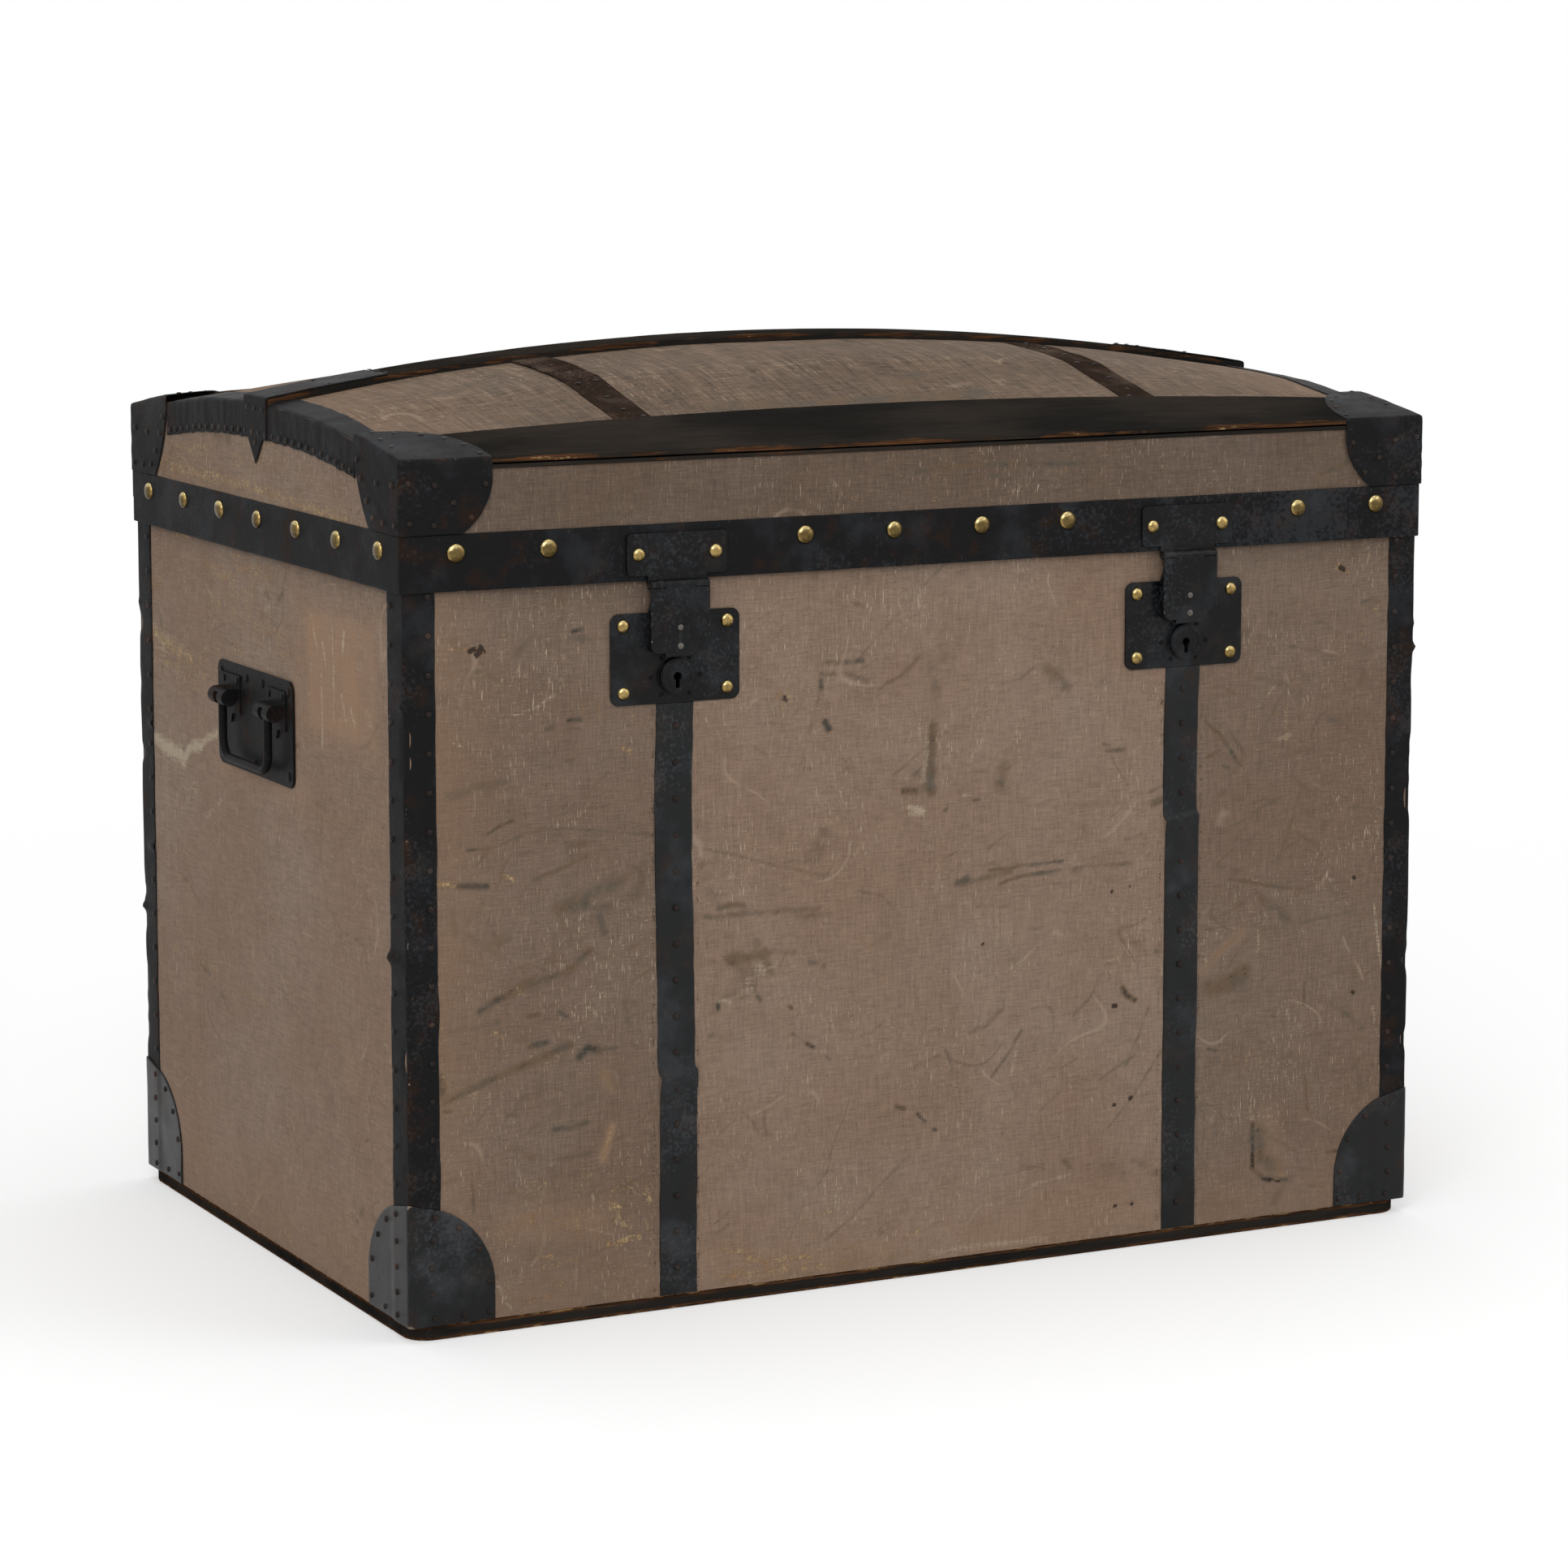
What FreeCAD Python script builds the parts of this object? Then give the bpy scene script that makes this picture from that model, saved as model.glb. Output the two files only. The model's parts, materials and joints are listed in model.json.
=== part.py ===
import FreeCAD, Part
import math
import os
import Sketcher

# Dome top trunk, closed. Millimetres, +Z up, the front with the locks faces -Y.
# The origin is the middle of the footprint, on the surface that the trunk stands on.

doc = FreeCAD.newDocument("dome_top_trunk")
Vector = FreeCAD.Vector

# ---------------------------------------------------------------- driving sizes

SIZES = [
    ("band_length", 914.0, "length over the lid band"),
    ("band_depth", 602.0, "depth over the lid band"),
    ("seam_height", 598.0, "where the lid meets the body"),
    ("band_below", 21.0, "lid band below the seam"),
    ("band_above", 22.4, "lid band above the seam"),
    ("lid_wall", 73.0, "from the seam to the canvas at the front and back edges of the dome"),
    ("rise_height_end", 10.0, "from the dome's edge to the back of a slat, at the ends"),
    ("rise_height_middle", 24.0, "the same at mid length"),
    ("crown_height_end", 17.0, "from the back of a slat to the ridge, at the ends"),
    ("crown_height_middle", 42.5, "the same at mid length"),
    ("knee_reach", 134.0, "distance of the dome's shoulders from its ridge"),
    ("knee_share", 0.72, "share of the crown that is reached at the shoulders"),
    ("board_thick", 10.0, "body boards"),
    ("bottom_thick", 12.0, "bottom boards"),
    ("lid_board", 8.0, "lid boards"),
    ("canvas_sheet", 0.8, "canvas cover"),
    ("lining_sheet", 0.8, "paper lining"),
    ("seat_gap", 0.05, "play between curved pieces that lie on each other"),
    ("strip_sheet", 1.0, "corner strips, straps and end rims"),
    ("guard_sheet", 1.4, "bottom corner guards"),
    ("band_sheet", 1.2, "lid band"),
    ("lid_slack", 1.2, "running gap from the corner strips to the lid band"),
    ("batten_thick", 12.0, "wooden battens under the base"),
    ("batten_wide", 40.0, "width of a batten"),
    ("strip_front", 26.0, "leaf of a corner strip on the front or back"),
    ("strip_side", 32.0, "leaf of a corner strip on an end"),
    ("strip_nose", 2.4, "rounding of a corner strip's nose"),
    ("strap_wide", 32.0, "vertical straps and top straps"),
    ("lock_centre", 229.0, "locks, straps and hinges from the middle"),
    ("guard_wide", 72.0, "bottom guard along the front"),
    ("guard_deep", 86.0, "bottom guard along the end"),
    ("guard_tall", 97.0, "height of a bottom guard at the corner"),
    ("guard_waist_height", 28.0, "height at which a bottom guard is widest"),
    ("guard_round", 68.0, "rounding of a bottom guard"),
    ("guard_shoulder_height", 90.0, "height of a bottom guard at the corner strip's edge"),
    ("slat_wide", 64.0, "front and back slats"),
    ("slat_thick", 6.0, "thickness of a slat"),
    ("slat_lip", 1.6, "how far a slat stands over the canvas below it"),
    ("slat_drop", 2.6, "how far a slat's lip hangs below the dome's edge"),
    ("ridge_wide", 50.0, "ridge slat"),
    ("cap_sheet", 1.0, "lid caps and ridge clips"),
    ("cap_wide", 76.0, "lid cap along the front"),
    ("cap_deep", 91.0, "lid cap along the end"),
    ("cap_foot", 51.0, "lid cap's width along the front at the band"),
    ("cap_heel", 61.0, "lid cap's width along the end at the band"),
    ("cap_round", 55.0, "rounding of a lid cap's front"),
    ("cap_belly", 13.0, "height below the dome's edge where the front of a cap is widest"),
    ("rim_flange", 25.0, "end rim on the top of the dome"),
    ("rim_drop", 27.5, "end rim down the end"),
    ("clip_tongue", 103.0, "ridge clip along the ridge"),
    ("clip_point", 20.0, "how far the clip's point hangs below the rim"),
    ("stud_radius", 7.4, "brass studs on the band"),
    ("stud_high", 3.4, "height of a stud's head"),
    ("stud_rise", 8.0, "row of studs above the seam"),
    ("stud_margin_front", 44.9, "last stud on the front from the end of the band"),
    ("stud_margin_end", 43.0, "last stud on an end from the edge of the band"),
    ("nail_radius", 5.4, "brass nails in the lock and hasp plates"),
    ("nail_high", 3.0, "height of a nail's head"),
    ("knuckle_reach", 8.2, "how far the hasp and hinge knuckles stand off the band"),
    ("knuckle_radius", 3.6, "outer radius of a knuckle"),
    ("pin_radius", 1.6, "hinge and hasp pins"),
    ("pin_play", 0.05, "running clearance round a pin"),
    ("side_play", 0.3, "running clearance beside a moving part"),
    ("hasp_wide", 50.0, "width of a hasp"),
    ("hasp_centre", 25.0, "width of a hasp's own knuckle"),
    ("hasp_sheet", 1.8, "thickness of a hasp"),
    ("hasp_long", 56.0, "from a hasp's pin to its thumb tab"),
    ("hasp_axis_drop", 3.5, "hasp pin below the band"),
    ("hasp_plate_wide", 85.0, "width of a hasp plate"),
    ("hasp_plate_sheet", 2.2, "thickness of a hasp plate"),
    ("hasp_plate_lift", 4.0, "hasp plate's wide part above the band's lower edge"),
    ("hasp_plate_tall", 32.6, "height of a hasp plate's wide part"),
    ("hasp_nail_spacing", 65.5, "spacing of the two nails in a hasp plate"),
    ("staple_wide", 6.0, "width of the staple behind a hasp"),
    ("staple_drop", 54.9, "from the hasp's pin to the staple's lower edge"),
    ("staple_tall", 9.4, "height of the staple"),
    ("staple_reach", 2.5, "how far the staple reaches behind the lock plate"),
    ("staple_wall", 0.8, "metal round the staple's eye"),
    ("lock_wide", 110.0, "width of a lock plate"),
    ("lock_tall", 71.0, "height of a lock plate"),
    ("lock_drop", 46.0, "upper edge of a lock plate below the seam"),
    ("lock_sheet", 1.5, "thickness of a lock plate"),
    ("lock_corner", 7.0, "rounding of a lock plate's corners"),
    ("lock_nail_wide", 88.5, "spacing of the nails across a lock plate"),
    ("lock_nail_tall", 52.0, "spacing of the nails up a lock plate"),
    ("boss_radius", 14.3, "raised round boss on a lock plate"),
    ("boss_high", 4.2, "height of the boss"),
    ("boss_drop", 50.2, "boss centre below the lock plate's upper edge"),
    ("keyhole_radius", 3.4, "round part of a keyhole"),
    ("keyhole_slot", 3.4, "width of a keyhole's slot"),
    ("keyhole_long", 9.0, "length of a keyhole's slot"),
    ("case_wide", 48.0, "width of a lock case"),
    ("case_tall", 55.0, "height of a lock case"),
    ("case_deep", 8.0, "how far a lock case sinks into the front board"),
    ("case_wall", 1.0, "wall of a lock case"),
    ("case_drop", 11.0, "lock case below the lock plate's upper edge"),
    ("bolt_thick", 1.2, "thickness of a lock bolt"),
    ("bolt_tall", 4.0, "height of a lock bolt"),
    ("bolt_long", 17.0, "length of a lock bolt"),
    ("bolt_gap", 1.6, "withdrawn bolt from the staple"),
    ("handle_wide", 170.0, "width of a handle plate"),
    ("handle_tall", 86.0, "height of a handle plate"),
    ("handle_drop", 202.0, "lower edge of a handle plate below the seam"),
    ("handle_offset", 16.0, "handle plate's middle behind the middle of the end"),
    ("handle_sheet", 2.0, "thickness of a handle plate"),
    ("handle_corner", 9.0, "rounding of a handle plate's corners"),
    ("bail_spacing", 103.0, "distance between the bail's legs"),
    ("bail_radius", 3.5, "radius of the bail's rod"),
    ("bail_play", 0.08, "running clearance of the bail in its loops"),
    ("bail_drop", 49.0, "from the bail's axis to the middle of its grip"),
    ("bail_corner", 15.0, "bend radius of the bail"),
    ("loop_radius", 7.0, "outer radius of a handle loop's barrel"),
    ("loop_long", 32.0, "length of a handle loop's barrel"),
    ("loop_rise", 59.0, "bail's axis above the lower edge of the handle plate"),
    ("loop_base_wide", 41.0, "width of a handle loop's base"),
    ("loop_base_rise", 18.0, "loop base above the bail's axis"),
    ("loop_base_drop", 14.0, "loop base's shoulders below the bail's axis"),
    ("loop_base_tip", 8.0, "how far the loop base's tip hangs below its shoulders"),
    ("loop_sheet", 1.5, "thickness of a loop's base"),
    ("hinge_wide", 60.0, "width of a hinge"),
    ("hinge_middle", 20.0, "width of the hinge's middle knuckle"),
    ("hinge_sheet", 2.0, "thickness of a hinge leaf"),
    ("hinge_drop", 70.0, "lower hinge leaf below the seam"),
    ("hinge_rise", 19.0, "upper hinge leaf above the seam"),
    ("hinge_start", 4.4, "upper hinge leaf's foot above the seam"),
]

sheet = doc.addObject("Spreadsheet::Sheet", "Dims")
for row, (alias, size, meaning) in enumerate(SIZES, start=1):
    sheet.set(f"A{row}", alias)
    sheet.set(f"B{row}", str(size))
    sheet.set(f"C{row}", meaning)
    sheet.setAlias(f"B{row}", alias)
doc.recompute()


ALIASES = {alias for alias, size, meaning in SIZES}


def total(*terms):
    """An expression that adds its terms. A term that starts with a cell's name stands for that cell."""
    return "(" + " + ".join(f"Dims.{term}" if term.split()[0] in ALIASES else term for term in terms) + ")"


def less(first, *others):
    """An expression for the first term less the others."""
    return f"({total(first)} - {total(*others)})"


def half(term):
    return f"({total(term)} / 2)"


def minus(term):
    return f"(-{total(term)})"


def value(expression):
    """The number that an expression stands for now."""
    return float(sheet.evalExpression(expression))


# Faces of the layers, outwards from the boards, as distances from the middle planes.
BAND_X, BAND_Y = half("band_length"), half("band_depth")
BOARD_X, BOARD_Y = [less(face, "band_sheet", "lid_slack", "strip_sheet", "canvas_sheet")
                    for face in (BAND_X, BAND_Y)]
CANVAS_X, CANVAS_Y = [total(face, "canvas_sheet") for face in (BOARD_X, BOARD_Y)]
STRIP_X, STRIP_Y = [total(face, "strip_sheet") for face in (CANVAS_X, CANVAS_Y)]
GUARD_X, GUARD_Y = [total(face, "guard_sheet") for face in (STRIP_X, STRIP_Y)]
WALL_X, WALL_Y = [less(face, "band_sheet") for face in (BAND_X, BAND_Y)]
LIDBOARD_X, LIDBOARD_Y = [less(face, "canvas_sheet") for face in (WALL_X, WALL_Y)]
LIP_X, LIP_Y = [total(face, "slat_lip") for face in (WALL_X, WALL_Y)]
CAP_X, CAP_Y = [total(face, "cap_sheet") for face in (LIP_X, LIP_Y)]
RIM_X = total(WALL_X, "strip_sheet")
CLIP_X = total(RIM_X, "cap_sheet")
INSIDE_X, INSIDE_Y = [less(face, "board_thick") for face in (BOARD_X, BOARD_Y)]
LID_INSIDE_X, LID_INSIDE_Y = [less(face, "lid_board") for face in (LIDBOARD_X, LIDBOARD_Y)]
SLAT_BACK = less(LIP_Y, "slat_wide")
FLOOR = total("batten_thick")
SEAM = total("seam_height")
BAND_FOOT, BAND_HEAD = less(SEAM, "band_below"), total(SEAM, "band_above")
EDGE = total(SEAM, "lid_wall")
ABOVE_ALL = total(EDGE, "rise_height_middle", "crown_height_middle", "slat_thick", "cap_sheet", "rim_flange")

nodes = {}


def node(name, shape):
    """Give a finished sub-part the label that names its file."""
    shape.Label = name
    nodes[name] = shape
    return shape


# ---------------------------------------------------------------- modelling helpers

def block(name, x, y, z):
    """A box between two planes on each axis."""
    box = doc.addObject("Part::Box", name)
    for side, axis, (low, high) in (("Length", "x", x), ("Width", "y", y), ("Height", "z", z)):
        box.setExpression(side, f"{high} - {low}")
        box.setExpression(f".Placement.Base.{axis}", low)
    return box


def pair(sign, near, far):
    """The range from near to far on the side that the sign names, lowest first."""
    return (near, far) if sign > 0 else (minus(far), minus(near))


def span(reach):
    """The range that reaches as far on both sides of the middle."""
    return minus(reach), total(reach)


def about(centre, reach):
    """The range that reaches as far on both sides of a centre."""
    return less(centre, reach), total(centre, reach)


TURNS = {"x": FreeCAD.Rotation(Vector(0, 1, 0), 90), "y": FreeCAD.Rotation(Vector(1, 0, 0), -90),
         "z": FreeCAD.Rotation()}


def rod(name, along, start, length, radius):
    """A cylinder along an axis from its start point."""
    cylinder = doc.addObject("Part::Cylinder", name)
    cylinder.Placement.Rotation = TURNS[along]
    cylinder.setExpression("Radius", radius)
    cylinder.setExpression("Height", length)
    for axis, place in zip("xyz", start):
        cylinder.setExpression(f".Placement.Base.{axis}", place)
    return cylinder


PLANES = {"xy": ("z", FreeCAD.Rotation()), "xz": ("y", FreeCAD.Rotation(Vector(1, 0, 0), 90)),
          "yz": ("x", FreeCAD.Rotation(Vector(1, 1, 1), 120))}


def outline(name, plane, at, points):
    """A closed sketch on a plane at a distance. A point (u, v) ends a straight side; a point (u, v, radius)
    ends an arc that bulges to the right of the way round, which is outwards on an anticlockwise outline."""
    sketch = doc.addObject("Sketcher::SketchObject", name)
    axis, turn = PLANES[plane]
    sketch.Placement.Rotation = turn
    sketch.setExpression(f".Placement.Base.{axis}", at)
    corners = [Vector(value(point[0]), value(point[1]), 0) for point in points]
    count = len(points)
    for index, point in enumerate(points):
        first, last = corners[index - 1], corners[index]
        if len(point) == 2:
            sketch.addGeometry(Part.LineSegment(first, last), False)
            continue
        chord, radius = last - first, value(point[2])
        across = Vector(-chord.y, chord.x, 0).normalize()
        centre = (first + last) / 2 + across * math.sqrt(radius ** 2 - chord.Length ** 2 / 4)
        angles = [math.atan2(place.y - centre.y, place.x - centre.x) for place in (first, last)]
        circle = Part.Circle(centre, Vector(0, 0, 1), radius)
        sketch.addGeometry(Part.ArcOfCircle(circle, *angles), False)
    sketch.addConstraint([Sketcher.Constraint("Coincident", index, 2, (index + 1) % count, 1)
                          for index in range(count)])
    for index, (point, corner) in enumerate(zip(points, corners)):
        rules = [("DistanceX", (-1, 1, index, 2, corner.x), point[0]),
                 ("DistanceY", (-1, 1, index, 2, corner.y), point[1])]
        if len(point) == 3:
            rules.append(("Radius", (index, value(point[2])), point[2]))
        for kind, what, size in rules:
            rule = sketch.addConstraint(Sketcher.Constraint(kind, *what))
            sketch.setExpression(f"Constraints[{rule}]", size)
    return sketch


def prism(name, plane, points, low, high):
    """An outline carried from one plane to another."""
    start = high if plane == "xz" else low
    sketch = outline(f"{name}_outline", plane, start, points)
    solid = doc.addObject("Part::Extrusion", name)
    solid.Base = sketch
    solid.DirMode = "Normal"
    solid.Solid = True
    solid.setExpression("LengthFwd", f"{high} - {low}")
    return solid


def fuse(name, *shapes):
    joined = doc.addObject("Part::MultiFuse", name)
    joined.Shapes = list(shapes)
    joined.Refine = True
    return joined


def common(name, *shapes):
    shared = doc.addObject("Part::MultiCommon", name)
    shared.Shapes = list(shapes)
    return shared


def cut(name, base, *tools):
    """The base less every tool."""
    for index, tool in enumerate(tools):
        step = doc.addObject("Part::Cut", name if index == len(tools) - 1 else f"{name}_cut{index}")
        step.Base = base
        step.Tool = tool
        base = step
    return base


def mirror(name, source, x=0, y=0):
    """The source seen in the middle plane across X or Y."""
    twin = doc.addObject("Part::Mirroring", name)
    twin.Source = source
    twin.Normal = Vector(x, y, 0)
    return twin


def group(name, *shapes):
    """Separate solids that share one node."""
    together = doc.addObject("Part::Compound", name)
    together.Links = list(shapes)
    return together


def rounded(centre_u, centre_v, wide, tall, radius):
    """Corner points of a rectangle with rounded corners, for outline."""
    left, right = less(centre_u, half(wide)), total(centre_u, half(wide))
    foot, head = less(centre_v, half(tall)), total(centre_v, half(tall))
    size = total(radius)
    return [(less(right, radius), foot), (right, total(foot, radius), size),
            (right, less(head, radius)), (less(right, radius), head, size),
            (total(left, radius), head), (left, less(head, radius), size),
            (left, total(foot, radius)), (total(left, radius), foot, size)]


# ---------------------------------------------------------------- the dome's surfaces

OUTSKIRT = total(CAP_Y, "cap_sheet")


def dome(name, lift):
    """Solid from the seam up to the dome's skin, raised by lift: a shallow crown between the shoulders and
    straight slopes down past the front and back edges, all higher at mid length than at the ends."""
    sections = []
    for index, (place, spot) in enumerate(((minus(CAP_X), "end"), ("0", "middle"), (CAP_X, "end"))):
        rise, crown = f"rise_height_{spot}", f"crown_height_{spot}"
        edge = total(EDGE, lift)
        back = total(edge, rise)
        slope = f"(Dims.{rise} * ({less(OUTSKIRT, WALL_Y)}) / ({less(WALL_Y, SLAT_BACK)}))"
        fall = f"(Dims.{crown} * (1 - Dims.knee_share))"
        knee = less(total(back, crown), fall)
        radius = f"((Dims.knee_reach * Dims.knee_reach + {fall} * {fall}) / (2 * {fall}))"
        points = [(OUTSKIRT, less(edge, slope)), (SLAT_BACK, back), (total("knee_reach"), knee),
                  (minus("knee_reach"), knee, radius), (minus(SLAT_BACK), back),
                  (minus(OUTSKIRT), less(edge, slope)), (minus(OUTSKIRT), SEAM), (OUTSKIRT, SEAM)]
        sections.append(outline(f"{name}_section{index}", "yz", place, points))
    loft = doc.addObject("Part::Loft", name)
    loft.Sections = sections
    loft.Solid = True
    loft.Ruled = False
    return loft


skin = dome("dome_skin", "0")
skin_seat = dome("dome_skin_seat", total("seat_gap"))
metal_top = dome("dome_metal_top", total("strip_sheet"))
slat_top = dome("dome_slat_top", total("slat_thick"))
slat_seat = dome("dome_slat_seat", total("slat_thick", "seat_gap"))
cap_top = dome("dome_cap_top", total("slat_thick", "seat_gap", "cap_sheet"))
canvas_under = dome("dome_canvas_under", minus("canvas_sheet"))
board_top = dome("dome_board_top", minus(total("canvas_sheet", "seat_gap")))
board_under = dome("dome_board_under", minus(total("canvas_sheet", "lid_board")))
lining_top = dome("dome_lining_top", minus(total("canvas_sheet", "lid_board", "seat_gap")))
lining_under = dome("dome_lining_under", minus(total("canvas_sheet", "lid_board", "seat_gap", "lining_sheet")))

# ---------------------------------------------------------------- body boards and covers

LOCK_HEAD = less(SEAM, "lock_drop")
LOCK_FOOT = less(LOCK_HEAD, "lock_tall")
CASE_HEAD = less(LOCK_HEAD, "case_drop")
CASE_FOOT = less(CASE_HEAD, "case_tall")
CHANNEL = total("staple_wide", "side_play", "side_play", "side_play", "side_play", "side_play")
PLATE_Y = total(CANVAS_Y, "lock_sheet")


def lock_recess(name, sign, depth_from, depth_to, case_depth):
    """Room in a board or cover for a lock case, with a channel above it for the rising staple."""
    centre = total("lock_centre") if sign > 0 else minus("lock_centre")
    mortise = block(f"{name}_mortise", about(centre, half("case_wide")),
                    (minus(depth_from), minus(case_depth)), (CASE_FOOT, CASE_HEAD))
    channel = block(f"{name}_channel", about(centre, half(CHANNEL)),
                    (minus(depth_from), minus(depth_to)), (less(CASE_HEAD, "case_wall"), LOCK_HEAD))
    return fuse(name, mortise, channel)


CHANNEL_FLOOR = less(CANVAS_Y, "staple_reach", "side_play", "side_play")
CASE_FLOOR = less(CANVAS_Y, "case_deep")
board_recesses = [lock_recess(f"board_recess_{side}", sign, CANVAS_Y, CHANNEL_FLOOR, CASE_FLOOR)
                  for side, sign in (("left", -1), ("right", 1))]

front_blank = block("front_blank", span(BOARD_X), (minus(BOARD_Y), minus(INSIDE_Y)), (FLOOR, SEAM))
node("front_board", cut("front_board_cut", front_blank, *board_recesses))
node("back_board", block("back_board_box", span(BOARD_X), (INSIDE_Y, BOARD_Y), (FLOOR, SEAM)))
for side, sign in (("left", -1), ("right", 1)):
    node(f"{side}_end_board", block(f"{side}_end_box", pair(sign, INSIDE_X, BOARD_X), span(INSIDE_Y),
                                    (FLOOR, SEAM)))
node("bottom_board", block("bottom_box", span(INSIDE_X), span(INSIDE_Y),
                           (FLOOR, total(FLOOR, "bottom_thick"))))

canvas_outer = block("canvas_outer", span(CANVAS_X), span(CANVAS_Y), (FLOOR, SEAM))
canvas_inner = block("canvas_inner", span(BOARD_X), span(BOARD_Y), (FLOOR, SEAM))
node("body_canvas", cut("body_canvas_cut", canvas_outer, canvas_inner, *board_recesses))

FLOOR_TOP = total(FLOOR, "bottom_thick")
lining_outer = block("lining_outer", span(INSIDE_X), span(INSIDE_Y), (FLOOR_TOP, SEAM))
lining_inner = block("lining_inner", span(less(INSIDE_X, "lining_sheet")),
                     span(less(INSIDE_Y, "lining_sheet")), (total(FLOOR_TOP, "lining_sheet"), SEAM))
node("body_lining", cut("body_lining_cut", lining_outer, lining_inner))

# ---------------------------------------------------------------- base battens

BATTEN_Y = less(BOARD_Y, "batten_wide")
batten_nose = half("batten_wide")
batten_front = prism("batten_front", "xy", [
    (less(BOARD_X, batten_nose), minus(BOARD_Y)), (BOARD_X, less(batten_nose, BOARD_Y), batten_nose),
    (BOARD_X, minus(BATTEN_Y)), (minus(BOARD_X), minus(BATTEN_Y)),
    (minus(BOARD_X), less(batten_nose, BOARD_Y)),
    (less(batten_nose, BOARD_X), minus(BOARD_Y), batten_nose)], "0", FLOOR)
node("base_batten_front", batten_front)
node("base_batten_back", mirror("batten_back", batten_front, y=1))
side_battens = [block(f"side_batten_{side}", pair(sign, less(BOARD_X, "batten_wide"), total(BOARD_X)),
                      span(BATTEN_Y), ("0", FLOOR)) for side, sign in (("left", -1), ("right", 1))]
node("base_battens_side", group("base_battens_side_group", *side_battens))

# ---------------------------------------------------------------- corner strips, straps and guards


def corner_strip(name, head):
    """Angle strip round the front left corner, with a rounded nose."""
    west, south = minus(STRIP_X), minus(STRIP_Y)
    points = [(total(west, "strip_front"), south), (total(west, "strip_front"), minus(CANVAS_Y)),
              (minus(CANVAS_X), minus(CANVAS_Y)), (minus(CANVAS_X), total(south, "strip_side")),
              (west, total(south, "strip_side")), (west, total(south, "strip_nose")),
              (total(west, "strip_nose"), south, total("strip_nose"))]
    return prism(name, "xy", points, FLOOR, head)


STRIP_HEAD = less(SEAM, "side_play")
strip_front_left = corner_strip("strip_front_left", STRIP_HEAD)
strips = {"front_left": strip_front_left,
          "front_right": mirror("strip_front_right", strip_front_left, x=1),
          "back_left": mirror("strip_back_left", strip_front_left, y=1)}
strips["back_right"] = mirror("strip_back_right", strips["back_left"], x=1)
for corner, strip in strips.items():
    node(f"corner_strip_{corner}", strip)

LEFT_CENTRE, RIGHT_CENTRE = minus("lock_centre"), total("lock_centre")
SIDES = (("left", LEFT_CENTRE), ("right", RIGHT_CENTRE))
for side, centre in SIDES:
    node(f"front_strap_{side}", block(f"front_strap_{side}_box", about(centre, half("strap_wide")),
                                      (minus(STRIP_Y), minus(CANVAS_Y)), (FLOOR, LOCK_FOOT)))
HINGE_FOOT = less(SEAM, "hinge_drop")
back_straps = [block(f"back_strap_{side}", about(centre, half("strap_wide")), (CANVAS_Y, STRIP_Y),
                     (FLOOR, HINGE_FOOT)) for side, centre in SIDES]
node("back_straps", group("back_straps_group", *back_straps))


def guard_leaf(name, plane, corner, reach, strip_edge, near, far):
    """One face of a bottom guard: widest near its foot, drawn in round the corner strip at its head."""
    widest = total(corner, reach)
    points = [(widest, FLOOR), (widest, total(FLOOR, "guard_waist_height")),
              (total(corner, strip_edge), total(FLOOR, "guard_shoulder_height"), total("guard_round")),
              (total(corner), total(FLOOR, "guard_tall")), (total(corner), FLOOR)]
    return prism(name, plane, points, near, far)


guard_front = guard_leaf("guard_front_leaf", "xz", minus(GUARD_X), "guard_wide", "strip_front",
                         minus(GUARD_Y), minus(CANVAS_Y))
guard_side = guard_leaf("guard_side_leaf", "yz", minus(GUARD_Y), "guard_deep", "strip_side",
                        minus(GUARD_X), minus(CANVAS_X))
guard_blank = fuse("guard_blank", guard_front, guard_side)
guard_front_left = cut("guard_front_left", guard_blank, strip_front_left)
guards = {"front_left": guard_front_left,
          "front_right": mirror("guard_front_right", guard_front_left, x=1),
          "back_left": mirror("guard_back_left", guard_front_left, y=1)}
guards["back_right"] = mirror("guard_back_right", guards["back_left"], x=1)
for corner, guard in guards.items():
    node(f"corner_guard_{corner}", guard)

# ---------------------------------------------------------------- locks

HASP_AXIS_Z = less(BAND_FOOT, "hasp_axis_drop")
STAPLE_LOW = less(HASP_AXIS_Z, "staple_drop")
STAPLE_HIGH = total(STAPLE_LOW, "staple_tall")
BOSS_Z = less(LOCK_HEAD, "boss_drop")
LOCK_Z = less(LOCK_HEAD, half("lock_tall"))
NOTCH_FOOT = less(STAPLE_LOW, "side_play", "side_play", "side_play")


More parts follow.
